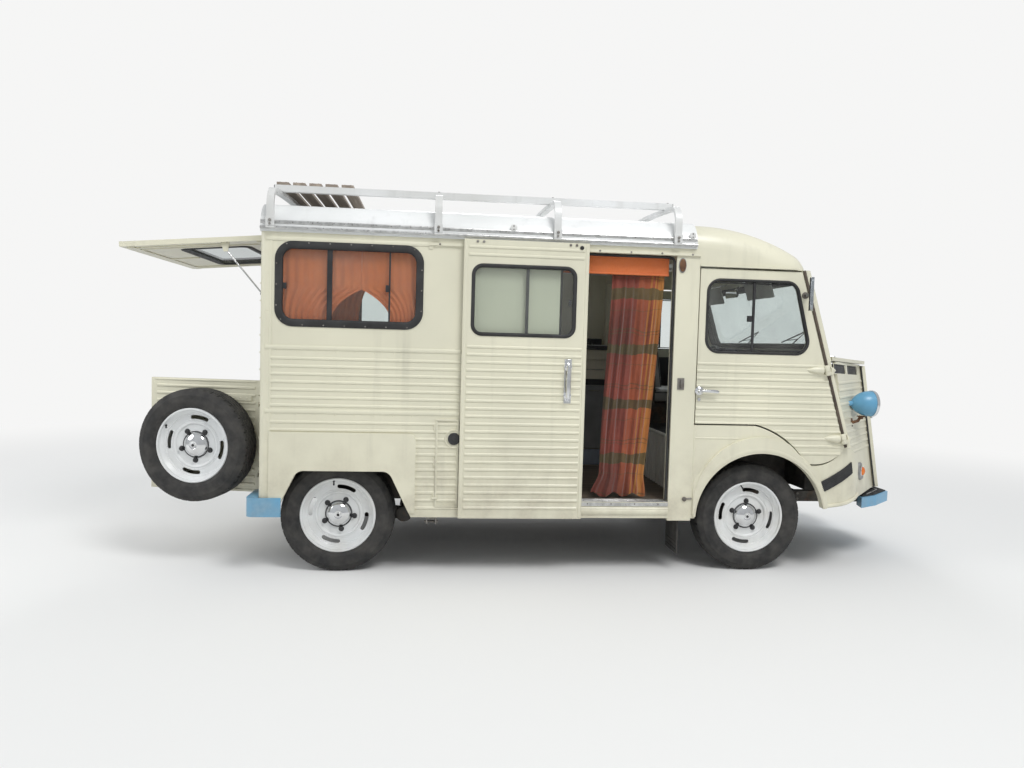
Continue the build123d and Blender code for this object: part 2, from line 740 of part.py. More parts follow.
parts["nose_sides"] = Compound(children=both_sides(nose_panel))

# Grille: a leaning frame with level slats
grille_depth = 36
grille_half = nose_half + 6
grille_border = 48
slat_pitch = 62
slat_height = 40
slat_thick = 5
grille_side = outline(
    (nose_line(nose_foot_z), nose_foot_z),
    (nose_line(nose_foot_z) + grille_depth, nose_foot_z),
    (nose_line(nose_top_z - 30) + grille_depth, nose_top_z - 30),
    (nose_line(nose_top_z - 30), nose_top_z - 30),
)
grille = across(grille_side, -grille_half, grille_half)
grille_low_z = nose_foot_z + grille_border
grille_high_z = nose_top_z - 30 - grille_border
grille_opening = Pos(0, (grille_low_z + grille_high_z) / 2) * rounded(
    2 * (grille_half - grille_border), grille_high_z - grille_low_z, 40)
grille = grille - along(grille_opening, nose(800), nose(1300))
slat_half = grille_half - grille_border + 4
slat_count = int((grille_high_z - grille_low_z) // slat_pitch)
slat_start = (grille_low_z + grille_high_z - (slat_count - 1) * slat_pitch) / 2
for index in range(slat_count):
    slat_z = slat_start + index * slat_pitch
    slat_x = nose_line(slat_z)
    slat = outline(
        (slat_x + 6, slat_z + slat_height / 2),
        (slat_x + 28, slat_z - slat_height / 2),
        (slat_x + 28 + slat_thick, slat_z - slat_height / 2),
        (slat_x + 6 + slat_thick, slat_z + slat_height / 2),
    )
    grille = grille + across(slat, -slat_half, slat_half)
parts["grille"] = grille

# Bonnet: a flat lid that narrows to the front, hinged at the windscreen
bonnet_side = outline(
    (bonnet_rear_x, cowl_z),
    (bonnet_rear_x, cowl_z - bonnet_thick),
    (bonnet_front_x, cowl_z - bonnet_drop - bonnet_thick),
    (bonnet_front_x, cowl_z - bonnet_drop),
)
bonnet_root_half = half_width - 24
bonnet_plan = outline(
    (bonnet_rear_x, -bonnet_root_half),
    (bonnet_rear_x, bonnet_root_half),
    (bonnet_front_x, nose_half + 16),
    (bonnet_front_x, -nose_half - 16),
)
bonnet_plan = fillet(bonnet_plan.vertices().sort_by(Axis.X)[2:], 60)
bonnet = across(bonnet_side, -half_width, half_width) & upward(bonnet_plan, 1200, 1500)
for side in (-1, 1):
    foot_y = side * bonnet_hinge_y
    bonnet = bonnet - block(bonnet_rear_x - 10, bonnet_rear_x + hinge_notch,
                            foot_y - 5, foot_y + hinge_ear_length + hinge_ear_gap, 1200, 1400)
    bonnet = bonnet - across(Pos(bonnet_rear_x, cowl_z) * Circle(hinge_barrel_radius - 0.5),
                             foot_y - 5, foot_y + hinge_length)
    bonnet = bonnet + hinge_barrel((bonnet_rear_x, foot_y, cowl_z), (0, 1, 0),
                                   block(bonnet_rear_x, bonnet_rear_x + 24,
                                         foot_y + hinge_ear_length + hinge_ear_gap,
                                         foot_y + hinge_length, cowl_z - 9, cowl_z - 1))
parts["bonnet"] = bonnet

# Bumpers: two front pieces swept back at their ends, two rear corner pieces
bumper_low_z = 350
bumper_high_z = 418
bumper_nose_x = nose(1215)
front_bumper = outline(
    (bumper_nose_x, -90),
    (bumper_nose_x, -420),
    (bumper_nose_x - 186, -585),
    (bumper_nose_x - 340, -672),
    (bumper_nose_x - 310, -560),
    (bumper_nose_x - 142, -380),
    (bumper_nose_x - 142, -90),
)
front_bumper = upward(front_bumper, bumper_low_z, bumper_high_z)
rear_bumper_x = body_rear_x - 66
rear_bumper_y = half_width + 20
rear_bumper_inner_y = half_width + wing_panel_proud
rear_bumper_front_x = body_rear_x + 132
rear_bumper_plan = outline(
    (rear_bumper_x, -rear_opening_half - 26),
    (rear_bumper_x, -rear_bumper_y),
    (rear_bumper_front_x, -rear_bumper_y),
    (rear_bumper_front_x, -rear_bumper_inner_y),
    (body_rear_x, -rear_bumper_inner_y),
    (body_rear_x, -rear_opening_half - 26),
)
rear_bumper_plan = fillet(rear_bumper_plan.vertices().sort_by(Axis.X)[:2].sort_by(Axis.Y)[:1], 40)
rear_bumper = upward(rear_bumper_plan, 346, 456)
parts["bumpers"] = Compound(children=both_sides(front_bumper) + both_sides(rear_bumper))

# Headlamps: round-backed shells on short stalks off the nose sides
lamp_y = -(half_width - 242)
lamp_z = 1052
lamp_radius = 84
lamp_front_x = nose(890)
lamp_back_x = nose(738)
lamp_lens_depth = 14
lamp_stalk_radius = 16
lamp_shell_x = lamp_front_x - lamp_lens_depth
lamp_profile = make_face([
    Line((lamp_back_x, 0), (lamp_shell_x, 0)),
    Line((lamp_shell_x, 0), (lamp_shell_x, lamp_radius)),
    Line((lamp_shell_x, lamp_radius), (lamp_shell_x - 25, lamp_radius - 2)),
    ThreePointArc((lamp_shell_x - 25, lamp_radius - 2), (lamp_back_x + 48, 64), (lamp_back_x, 20)),
    Line((lamp_back_x, 20), (lamp_back_x, 0)),
])
lamp_axis = Axis((0, lamp_y, lamp_z), (1, 0, 0))
lamp_plane = Plane((0, lamp_y, lamp_z), x_dir=(1, 0, 0), z_dir=(0, -1, 0))
lamp_shell = revolve(lamp_plane * lamp_profile, lamp_axis, 360)
lamp_stalk = along(Pos(lamp_y, lamp_z) * Circle(lamp_stalk_radius), nose(680), lamp_back_x + 10)
headlamp = (lamp_shell + lamp_stalk - nose_panel).solids().sort_by(SortBy.VOLUME)[-1]
parts["headlamps"] = Compound(children=both_sides(headlamp))

# Lamp glasses: headlamps in front, tail lamps on the rear posts
lens_radius = 79
tail_lamp_y = half_width - 138
tail_lamp_z = 640
lens = along(Pos(lamp_y, lamp_z) * Circle(lens_radius), lamp_shell_x, lamp_front_x)
tail_lamp = block(body_rear_x - 16, body_rear_x, -tail_lamp_y - 44, -tail_lamp_y + 44,
                  tail_lamp_z - 74, tail_lamp_z + 74)
parts["lamp_lenses"] = Compound(children=both_sides(lens) + both_sides(tail_lamp))

# Sliding side door on the rail over its doorway
rail_proud = 12
rail_low_z = side_door_head_z + 2
rail_high_z = rail_low_z + 16
side_door_rear_x = opening_rear_x - side_door_lag
side_door_front_x = side_door_rear_x + side_door_width
side_door_inner_y = half_width + 16
side_door_outer_y = side_door_inner_y + side_door_thick
side_door_low_z = 348
side_door_top_z = eaves_z + 1
side_door_margin = 30
parts["door_rail"] = block(side_door_rear_x - 199, pillar_front_x, -half_width - rail_proud, -half_width,
                           rail_low_z, rail_high_z)
side_glass_x = side_door_rear_x + 356
side_glass_z = side_door_top_z - 347
side_glass_form = Pos(side_glass_x, side_glass_z) * rounded(600, 400, 56)
door_bands = [(side_door_low_z + 20, side_glass_z - 232),
              (side_glass_z + 224, side_door_top_z - 10)]
sliding_door = along(
    ribbed_section(-1, side_door_outer_y, side_door_inner_y, side_door_low_z, side_door_top_z,
                   door_bands),
    side_door_rear_x + side_door_margin, side_door_front_x - side_door_margin)
sliding_door = sliding_door + block(side_door_rear_x, side_door_front_x, -side_door_outer_y,
                                    -side_door_inner_y, side_door_low_z, side_door_top_z)
sliding_door = sliding_door - across(side_glass_form, -side_door_outer_y - 9, -side_door_inner_y + 9)
hanger_half = 35
hanger_seat = 0.3
for x in (side_door_rear_x + 95, side_door_front_x - 95):
    sliding_door = sliding_door + block(x - hanger_half, x + hanger_half,
                                        -side_door_inner_y, -half_width - panel_gap,
                                        rail_high_z + hanger_seat, rail_high_z + 12)
side_handle_x = side_door_rear_x + 626
side_handle_z = 1166
side_handle_half = 92
side_handle_stand = 34
side_handle_y = -side_door_outer_y - rib_height
handle_bar = block(side_handle_x - 9, side_handle_x + 9, side_handle_y - side_handle_stand,
                   side_handle_y - side_handle_stand + 14,
                   side_handle_z - side_handle_half, side_handle_z + side_handle_half)
sliding_door = sliding_door + handle_bar
for z in (side_handle_z - side_handle_half + 12, side_handle_z + side_handle_half - 12):
    sliding_door = sliding_door + block(side_handle_x - 9, side_handle_x + 9,
                                        side_handle_y - side_handle_stand + 13,
                                        -side_door_outer_y, z - 12, z + 12)
parts["sliding_door"] = sliding_door
side_pane_y = side_door_inner_y + 8
parts["sliding_glass"] = across(side_glass_form, -side_pane_y - pane, -side_pane_y)

# Rear hatch, made shut and then swung up about its top edge
hatch_inner_x = body_rear_x - 8
hatch_outer_x = hatch_inner_x - hatch_thick
hatch_half = rear_opening_half + 14
hatch_top_z = hatch_hinge_z - 6
hatch_glass_z = hatch_top_z - 360
strut_pivot_in = 52
strut_pivot_down = 250
hatch = block(hatch_outer_x, hatch_inner_x, -hatch_half, hatch_half,
              rear_split_z + 3, hatch_top_z)
hatch_opening = Pos(0, hatch_glass_z) * rounded(960, 400, 60)
hatch = hatch - along(hatch_opening, hatch_outer_x - 1, hatch_inner_x + 1)
for index in range(5):
    level = rear_split_z + 54 + index * rib_pitch
    rib = outline(
        (hatch_outer_x, level - rib_foot / 2),
        (hatch_outer_x, level + rib_foot / 2),
        (hatch_outer_x - rib_height, level + rib_crest / 2),
        (hatch_outer_x - rib_height, level - rib_crest / 2),
    )
    hatch = hatch + across(rib, -hatch_half + 40, hatch_half - 40)
pivot_x = hatch_hinge_x + strut_pivot_in
pivot_z = hatch_hinge_z - strut_pivot_down
strut_eye_half = 6
strut_side_gap = 0.5
lug_inner_y = strut_y + strut_eye_half + strut_side_gap
for side in (-1, 1):
    lug = outline(
        (hatch_inner_x, pivot_z - 26),
        (hatch_inner_x, pivot_z + 26),
        (pivot_x + 11, pivot_z + 11),
        (pivot_x + 11, pivot_z - 11),
    )
    hatch = hatch + across(lug, *side_span(side, lug_inner_y, lug_inner_y + 8))
for y in hatch_hinge_stations:
    hatch = hatch - block(hatch_outer_x - 1, hatch_inner_x + 1, y - 5, y + hinge_length + 5,
                          hatch_hinge_z - hinge_notch - 4, hatch_top_z + 1)
    leaf = block(hatch_hinge_x - 6, hatch_hinge_x + 6, y + hinge_ear_length + hinge_ear_gap,
                 y + hinge_length, hatch_hinge_z - hinge_notch - 6, hatch_hinge_z)
    hatch = hatch + hinge_barrel((hatch_hinge_x, y, hatch_hinge_z), (0, 1, 0), leaf)
hatch_pane_x = hatch_inner_x - 10
hatch_glass = along(hatch_opening, hatch_pane_x - pane, hatch_pane_x)
hatch_axis = Axis((hatch_hinge_x, 0, hatch_hinge_z), (0, 1, 0))
parts["hatch"] = hatch.rotate(hatch_axis, hatch_rest_deg)
parts["hatch_glass"] = hatch_glass.rotate(hatch_axis, hatch_rest_deg)

# Hatch struts: tubes on the frame's pins and rods that end beside the hatch's lugs
swing = math.radians(hatch_rest_deg)
eye_x = hatch_hinge_x + strut_pivot_in * math.cos(swing) - strut_pivot_down * math.sin(swing)
eye_z = hatch_hinge_z - strut_pivot_in * math.sin(swing) - strut_pivot_down * math.cos(swing)
strut_length = math.hypot(eye_x - strut_foot_x, eye_z - strut_foot_z)
strut_shut_length = math.hypot(pivot_x - strut_foot_x, pivot_z - strut_foot_z)
strut_tube_radius = 11
strut_rod_radius = 5
strut_eye_radius = 9
strut_tube_end = strut_shut_length - 15
strut_bore_start = 60
strut_rod_start = strut_tube_end - 20
strut_dir = ((eye_x - strut_foot_x) / strut_length, 0, (eye_z - strut_foot_z) / strut_length)


def strut_run(side, start, end, radius):
    """Round bar on a strut's line between two distances from its foot."""
    origin = (strut_foot_x + strut_dir[0] * start, side * strut_y,
              strut_foot_z + strut_dir[2] * start)
    bar = Cylinder(radius, end - start, align=(Align.CENTER, Align.CENTER, Align.MIN))
    return Plane(origin, x_dir=(0, 1, 0), z_dir=strut_dir) * bar


strut_tubes = []
strut_rods = []
for side in (-1, 1):
    span = side_span(side, strut_y - strut_eye_half, strut_y + strut_eye_half)
    foot_eye = across(Pos(strut_foot_x, strut_foot_z) * Circle(strut_tube_radius), *span)
    tube = strut_run(side, 4, strut_tube_end, strut_tube_radius) & block(
        strut_foot_x - 900, strut_foot_x + 50, *side_span(side, 0, 900), 0, 2500)
    tube = foot_eye + tube
    tube = tube - across(Pos(strut_foot_x, strut_foot_z) * Circle(strut_pin_radius + stub_clearance),
                         *side_span(side, strut_y - 20, strut_y + 20))
    tube = tube - strut_run(side, strut_bore_start, strut_tube_end + 1,
                            strut_rod_radius + stub_clearance)
    strut_tubes.append(tube)
    rod = strut_run(side, strut_rod_start, strut_length, strut_rod_radius)
    rod_eye = across(Pos(eye_x, eye_z) * Circle(strut_eye_radius), *span)
    strut_rods.append(rod + rod_eye)
parts["strut_tubes"] = Compound(children=strut_tubes)
parts["strut_rods"] = Compound(children=strut_rods)

# Lower rear doors: the right one is made shut, then swung open with the spare wheel
rear_door_inner_x = body_rear_x - rear_door_gap
rear_door_outer_x = rear_door_inner_x - rear_door_thick
rear_door_low_z = rear_opening_bottom_z + 6
rear_door_top_z = rear_split_z - 3
rear_door = block(rear_door_outer_x, rear_door_inner_x, -rear_hinge_y + panel_gap, -3,
                  rear_door_low_z, rear_door_top_z)
for level in rib_levels(rear_door_low_z + 14, rear_door_top_z - 14):
    rib = outline(
        (rear_door_outer_x, level - rib_foot / 2),
        (rear_door_outer_x, level + rib_foot / 2),
        (rear_door_outer_x - rib_height, level + rib_crest / 2),
        (rear_door_outer_x - rib_height, level - rib_crest / 2),
    )
    rear_door = rear_door + across(rib, -rear_hinge_y + 40, -40)
for z in rear_hinge_stations:
    rear_door = rear_door - block(rear_door_outer_x - 10, rear_door_inner_x + 1,
                                  -rear_hinge_y, -rear_hinge_y + hinge_notch + 4,
                                  z - 5, z + hinge_length + 5)
    leaf = block(rear_hinge_x - 2, rear_hinge_x + 8, -rear_hinge_y,
                 -rear_hinge_y + hinge_notch + 6, z + hinge_ear_length + hinge_ear_gap,
                 z + hinge_length)
    rear_door = rear_door + hinge_barrel((rear_hinge_x, -rear_hinge_y, z), (0, 0, 1), leaf)
parts["rear_door_left"] = mirror(rear_door, Plane.XZ)

# Wheels: tyre section and rim section as half lengths from the wheel's middle and radii
tyre_half = tyre_width / 2
tyre_points = [
    (-70, rim_radius),
    (70, rim_radius),
    (tyre_half, 268),
    (tyre_half - 4, 306),
    (72, hub_height),
    (-72, hub_height),
    (-tyre_half + 4, 306),
    (-tyre_half, 268),
]
rim_face = 76
disc_face = 24
disc_thick = 7
disc_step = 8
slot_ring = 165
stub_reach = 46
cap_radius = 71
cap_face = stub_reach + 14
rim_points = [
    (-70, rim_radius - 14),
    (-70, rim_radius),
    (70, rim_radius),
    (rim_face, rim_radius - 2),
    (rim_face, rim_radius - 12),
    (60, rim_radius - 14),
    (disc_face + disc_step, slot_ring + 18),
    (disc_face + disc_step, slot_ring - 30),
    (disc_face, slot_ring - 45),
    (disc_face, cap_radius),
    (disc_face + 20, cap_radius - 8),
    (cap_face, cap_radius - 42),
    (cap_face, 0),
    (stub_reach + 2, 0),
    (stub_reach + 2, stub_radius + stub_clearance),
    (-8, stub_radius + stub_clearance),
    (-8, 62),
    (disc_face - disc_thick, cap_radius + 16),
    (disc_face - disc_thick, slot_ring - 40),
    (disc_face + disc_step - disc_thick, slot_ring - 25),
    (disc_face + disc_step - disc_thick, slot_ring + 18),
    (44, rim_radius - 14),
]
slot_count = 4
slot_width = 24
slot_deg = 31


def wheel(x, y, z, side, slot_turn):
    """Tyre and rim at a centre, face outwards, with a slot at slot_turn degrees from +X."""
    plane = Plane((x, y, z), x_dir=(0, side, 0), z_dir=(side, 0, 0))
    axis = Axis((x, y, z), (0, side, 0))
    tyre = revolve(plane * outline(*tyre_points), axis, 360)
    rim = revolve(plane * outline(*rim_points), axis, 360)
    for index in range(slot_count):
        slot = SlotArc(CenterArc((0, 0), slot_ring, slot_turn - slot_deg / 2, slot_deg), slot_width)
        slot = Pos(x, z) * Rot(0, 0, 360 * index / slot_count) * slot
        rim = rim - across(slot, *sorted((y, y + side * 60)))
    return tyre, rim


for axle_x, axle, slot_turn in ((front_axle_x, "front", 80), (rear_axle_x, "rear", 74)):
    for side, name in ((-1, "right"), (1, "left")):
        tyre, rim = wheel(axle_x, side * half_track, hub_height, side, slot_turn)
        parts[f"tyre_{axle}_{name}"] = tyre
        parts[f"rim_{axle}_{name}"] = rim

# Spare wheel, carried on the right rear door
spare_y = -361
spare_z = 728
spare_stand = 105
spare_x = rear_door_outer_x - spare_stand
spare_tyre, spare_rim = wheel(0, 0, 0, 1, 9)
spare_place = Pos(spare_x, spare_y, spare_z) * Rot(0, 0, 90)
rear_door_right = rear_door + along(Pos(spare_y, spare_z) * Circle(56), spare_x + 8,
                                    rear_door_outer_x)
rear_door_right = rear_door_right + along(Pos(spare_y, spare_z) * Circle(stub_radius),
                                          spare_x - stub_reach, spare_x + 9)
rear_hinge_axis = Axis((rear_hinge_x, -rear_hinge_y, 0), (0, 0, 1))
parts["rear_door_right"] = rear_door_right.rotate(rear_hinge_axis, rear_door_rest_deg)
parts["spare_tyre"] = (spare_place * spare_tyre).rotate(rear_hinge_axis, rear_door_rest_deg)
parts["spare_rim"] = (spare_place * spare_rim).rotate(rear_hinge_axis, rear_door_rest_deg)

# Steering knuckles: an upright between the arms, and the wheel's stub
knuckle_radius = 24
arm_thick = 24
knuckle_half = 112
for side, name in ((-1, "right"), (1, "left")):
    upright = Pos(front_axle_x, side * king_pin_y, hub_height) * Cylinder(
        knuckle_radius, 2 * knuckle_half)
    stub = across(Pos(front_axle_x, hub_height) * Circle(stub_radius),
                  *side_span(side, king_pin_y - 10, half_track + stub_reach))
    parts["knuckle_" + name] = upright + stub

# Front suspension: arms from the rails to the uprights, and the drive shafts
arm_gap = 0.4
arm_half = 32
suspension = []
for side in (-1, 1):
    for z_low in (hub_height - knuckle_half - arm_gap - arm_thick,
                  hub_height + knuckle_half + arm_gap):
        arm_plan = outline(
            (front_axle_x - 130, side * (rail_y - rail_width / 2)),
            (front_axle_x + 130, side * (rail_y - rail_width / 2)),
            (front_axle_x + arm_half, side * (king_pin_y + 26)),
            (front_axle_x - arm_half, side * (king_pin_y + 26)),
        )
        suspension.append(upward(arm_plan, z_low, z_low + arm_thick))
    suspension.append(across(Pos(front_axle_x, hub_height) * Circle(18),
                             *side_span(side, 230, king_pin_y - 38)))

# Chassis: two rails with cross members between them
rail_low_z = floor_z - floor_thick - rail_height
rail_high_z = floor_z - floor_thick
chassis = block(body_rear_x + 5, bumper_nose_x - 142, rail_y - rail_width / 2, rail_y + rail_width / 2,
                rail_low_z, rail_high_z)
chassis = chassis + mirror(chassis, Plane.XZ)
cross_stations = [body_rear_x + 45, aft(380), aft(1250), nose(-100), nose(560), bumper_nose_x - 182]
for x in cross_stations:
    chassis = chassis + block(x, x + 40, -rail_y, rail_y, rail_low_z + 6, rail_high_z - 6)
for side in (-1, 1):
    for x_low, x_high in ((front_axle_x - 130, front_axle_x - 40), (front_axle_x + 40, front_axle_x + 130)):
        chassis = chassis + block(x_low, x_high, *side_span(side, rail_y - 30, rail_y + 30),
                                  hub_height - knuckle_half - arm_gap, rail_low_z + 1)
        chassis = chassis + block(x_low, x_high, *side_span(side, rail_y - 30, rail_y + 30),
                                  rail_high_z - 1, hub_height + knuckle_half + arm_gap)
    chassis = chassis - block(front_axle_x - 27, front_axle_x + 27,
                              *side_span(side, rail_y - 40, rail_y + 40), rail_low_z - 20,
                              hub_height + 27)
parts["front_suspension"] = Compound(children=suspension)
parts["chassis"] = chassis

# Rear axle: a cross tube under the rails, trailing arms and the wheels' stubs
axle_tube_x = aft(380)
axle_tube_z = rail_low_z - 30
trailing_y = half_track - 159
rear_axle = across(Pos(axle_tube_x, axle_tube_z) * Circle(30), -trailing_y, trailing_y)
for side in (-1, 1):
    trailing = outline(
        (axle_tube_x + 40, axle_tube_z + 36),
        (axle_tube_x + 40, axle_tube_z - 36),
        (rear_axle_x - 40, hub_height - 40),
        (rear_axle_x - 40, hub_height + 40),
    )
    rear_axle = rear_axle + across(trailing, *side_span(side, trailing_y - 23, trailing_y + 23))
    rear_axle = rear_axle + across(Pos(rear_axle_x, hub_height) * Circle(stub_radius),
                                   *side_span(side, trailing_y + 7, half_track + stub_reach))
parts["rear_axle"] = rear_axle

# Engine: one plain block between the rails, and the exhaust behind it
engine_half = 230
parts["engine"] = block(nose(-60), nose(560), -engine_half, engine_half, 262, 760)
exhaust_y = 180
exhaust_z = 300
silencer_z = exhaust_z - 8
silencer_rear_x = nose(-1277)
silencer_front_x = silencer_rear_x + 450
exhaust_rear_x = silencer_rear_x - 690
exhaust = along(Pos(exhaust_y, exhaust_z) * Circle(22), exhaust_rear_x, nose(-60))
exhaust = exhaust + along(Pos(exhaust_y, silencer_z) * RectangleRounded(150, 84, 36),
                          silencer_rear_x, silencer_front_x)
exhaust = exhaust + block(silencer_rear_x + 12, silencer_rear_x + 28, exhaust_y - 40,
                          rail_y - rail_width / 2, silencer_z, rail_low_z + 6)
exhaust = exhaust + block(exhaust_rear_x + 10, exhaust_rear_x + 26, exhaust_y - 8,
                          rail_y - rail_width / 2, silencer_z, rail_low_z + 6)
parts["exhaust"] = exhaust

# Mud flaps behind the front wheels, hung from the load floor
flap_x = nose(-470)
flap = block(flap_x, flap_x + 8, -half_width + 50, -half_width + 270, 112,
             floor_z - floor_thick)
parts["mud_flaps"] = Compound(children=both_sides(flap))

# Cab floor: a platform over the wheels and engine, foot wells ahead of it and a wall behind
platform_low_z = 770
platform_z = 790
floor_half = inner_half - 39
well_rear_x = nose(392)
well_inner_y = 250
well_outer_y = inner_half - 109
well_low_z = 500
sheet = 10
cab_floor = block(pillar_front_x, door_line(platform_z) + bulkhead_behind, -floor_half, floor_half,
                  platform_low_z, platform_z)
cab_floor = cab_floor + block(partition_x, pillar_front_x, -inner_half, inner_half,
                              floor_z - floor_thick, platform_z)
for side in (-1, 1):
    well_span = side_span(side, well_inner_y, well_outer_y)
    inner_span = side_span(side, well_inner_y + sheet, well_outer_y - sheet)
    well_form = outline(
        (well_rear_x, platform_low_z + 1),
        (door_line(platform_low_z + 1) + bulkhead_behind, platform_low_z + 1),
        (door_line(well_low_z) + bulkhead_behind, well_low_z),
        (well_rear_x, well_low_z),
    )
    well_cut = outline(
        (well_rear_x + sheet, platform_z + 1),
        (door_line(platform_z + 1) + bulkhead_behind - sheet, platform_z + 1),
        (door_line(well_low_z + sheet) + bulkhead_behind - sheet, well_low_z + sheet),
        (well_rear_x + sheet, well_low_z + sheet),
    )
    cab_floor = cab_floor + across(well_form, *well_span) - across(well_cut, *inner_span)
    cab_floor = cab_floor + block(pillar_front_x - 1, well_rear_x + 1,
                                  *side_span(side, 530, 540), well_low_z, platform_low_z + 1)
parts["cab_floor"] = cab_floor

# Seats: two bases with cushions and backs
seats = []
for side in (-1, 1):
    seat_span = side_span(side, 270, 790)
    seat = block(nose(-330), nose(90), *side_span(side, 320, 740), platform_z, 960)
    seat = seat + block(nose(-330), nose(150), *seat_span, 950, 1075)
    back_side = outline(
        (nose(-300), 960),
        (nose(-210), 1075),
        (nose(-272), 1560),
        (nose(-362), 1560),
    )
    seat = seat + across(fillet(back_side.vertices().sort_by(Axis.Y)[2:], 36), *seat_span)
    seats.append(seat)
parts["seats"] = Compound(children=seats)

# Dashboard with the steering column and wheel
dash_low_z = 1215
dash_top_z = 1318
dashboard = across(outline(
    (door_line(dash_low_z) + bulkhead_behind - 0.05, dash_low_z),
    (door_line(dash_top_z) + bulkhead_behind - 0.05, dash_top_z),
    (door_line(dash_top_z) - 130, dash_top_z),
    (door_line(dash_low_z) - 100, dash_low_z),
), -floor_half + 35, floor_half - 35)
steer_wheel = (door_line(1280) - 330, 420, 1262)
steer_tilt = math.radians(42)
steer_dir = (math.sin(steer_tilt), 0, -math.cos(steer_tilt))
steer_plane = Plane(steer_wheel, x_dir=(0, 1, 0), z_dir=steer_dir)
steer_radius = 205
steering = steer_plane * Torus(steer_radius, 11)
steering = steering + steer_plane * Cylinder(36, 30)
for turn in (0, 120, 240):
    spoke = Rot(0, 0, turn) * Pos(steer_radius / 2, 0, 0) * Box(steer_radius, 22, 8)
    steering = steering + steer_plane * spoke
column = steer_plane * Cylinder(18, 900, align=(Align.CENTER, Align.CENTER, Align.MIN))
column = column - across(line_strip(300, 1400, bulkhead_behind - sheet, 900), 300, 540)
parts["dashboard"] = Compound(children=[dashboard, steering + column])

# Kitchen unit on the driver's side and the bench with its mattress at the back
worktop_z = 1380
worktop_thick = 28
bench_rear_x = body_rear_x + 80
bench_front_x = bench_rear_x + 1065
bench_low_z = 840
bench_top_z = 860
mattress_top_z = 960
worktop_overhang = 10
kitchen_front_x = pillar_rear_x - 18
kitchen_rear_x = kitchen_front_x - 960
kitchen_y = inner_half - 514
kitchen = block(kitchen_rear_x, kitchen_front_x, kitchen_y, inner_half,
                floor_z, worktop_z - worktop_thick)
kitchen = kitchen + block(kitchen_rear_x - worktop_overhang, kitchen_front_x + worktop_overhang,
                          kitchen_y - 2 * worktop_overhang, inner_half,
                          worktop_z - worktop_thick, worktop_z)
bench = block(bench_rear_x, bench_front_x, -inner_half, inner_half, bench_low_z, bench_top_z)
bench = bench + block(bench_front_x - 18, bench_front_x, -inner_half + 4, inner_half - 4,
                      floor_z, bench_low_z)
bench = bench + block(bench_rear_x, bench_rear_x + 18, -620, -600, floor_z, bench_low_z)
bench = bench + block(bench_rear_x, bench_rear_x + 18, 600, 620, floor_z, bench_low_z)
parts["furniture"] = Compound(children=[kitchen, bench])
mattress = block(bench_rear_x + 20, bench_front_x - 10, -inner_half + 34, inner_half - 34,
                 bench_top_z, mattress_top_z)
parts["mattress"] = fillet(mattress.edges().filter_by(Axis.Z), 40)

# Curtains: one behind the side doorway with its rod, sheets over the rear side windows
curtain_rod_z = side_door_head_z - 72
curtain_y = -(inner_half - 50)
rod_rear_x = pillar_rear_x - 798
rod = block(rod_rear_x, pillar_rear_x, curtain_y - 6, curtain_y + 6,
            curtain_rod_z - 6, curtain_rod_z + 6)
rod = rod + block(rod_rear_x, rod_rear_x + 16, -inner_half, curtain_y, curtain_rod_z - 6, curtain_rod_z + 6)
door_curtain = block(pillar_rear_x - 418, pillar_rear_x - 48, curtain_y - 15, curtain_y + 15,
                     470, curtain_rod_z - 4)
curtains = [rod + door_curtain]
for side in (-1, 1):
    curtains.append(block(side_start_x + 35, side_start_x + 841,
                          *side_span(side, inner_half - 8, inner_half),
                          rear_window_z - 254, rear_window_z + 256))
parts["curtains"] = Compound(children=curtains)

# Roof rack: four hoops on the gutters with two long rails, and the slats at the back
rack_rise = 63
rack_rail_y = 750
rack_rail_top_z = roof_crown_z + rack_rise
rack_rail_low_z = rack_rail_top_z - 39
rack_rear_x = body_rear_x + 35
rack_front_x = load_roof_front_x - 97
hoop_half = roof_half + gutter_width + 14
hoop_crown_z = rack_rail_top_z - 7
hoop_edge_radius = 110
hoop_camber = 36
hoop_crown_radius = crown_radius(hoop_half, hoop_edge_radius, hoop_camber)
hoop_thick = 24
hoop_width = 40
hoop_form = roof_section(hoop_half, hoop_crown_z, hoop_edge_radius, gutter_z, hoop_crown_radius)
hoop_form = hoop_form - roof_section(hoop_half - hoop_thick, hoop_crown_z - hoop_thick,
                                     hoop_edge_radius - hoop_thick, gutter_z - 1,
                                     hoop_crown_radius - hoop_thick)
roof_rack = block(rack_rear_x, rack_front_x, rack_rail_y - 18, rack_rail_y + 18,
                  rack_rail_low_z, rack_rail_top_z)
roof_rack = roof_rack + mirror(roof_rack, Plane.XZ)
for hoop_x in (rack_rear_x + 4, aft(534), aft(1227), rack_front_x - 50):
    roof_rack = roof_rack + along(hoop_form, hoop_x, hoop_x + hoop_width)
parts["roof_rack"] = roof_rack
slat_width = 70
slat_gap = 24
rack_slats = []
for index in range(5):
    slat_x = rack_rear_x + 10 + index * (slat_width + slat_gap)
    rack_slats.append(block(slat_x, slat_x + slat_width, -rack_rail_y - 10, rack_rail_y + 10,
                            rack_rail_top_z, rack_rail_top_z + 18))
parts["rack_slats"] = Compound(children=rack_slats)

os.makedirs("parts", exist_ok=True)
for name, shape in parts.items():
    export_step(shape, f"parts/{name}.step")
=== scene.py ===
"""A short panel van with ribbed sides, fitted out as a camper, seen from its kerb side.

Metres. +X is the nose, +Y the driver's side, +Z up, and the ground is at Z = 0.
"""
import math

import bmesh
import bpy
from mathutils import Matrix, Vector


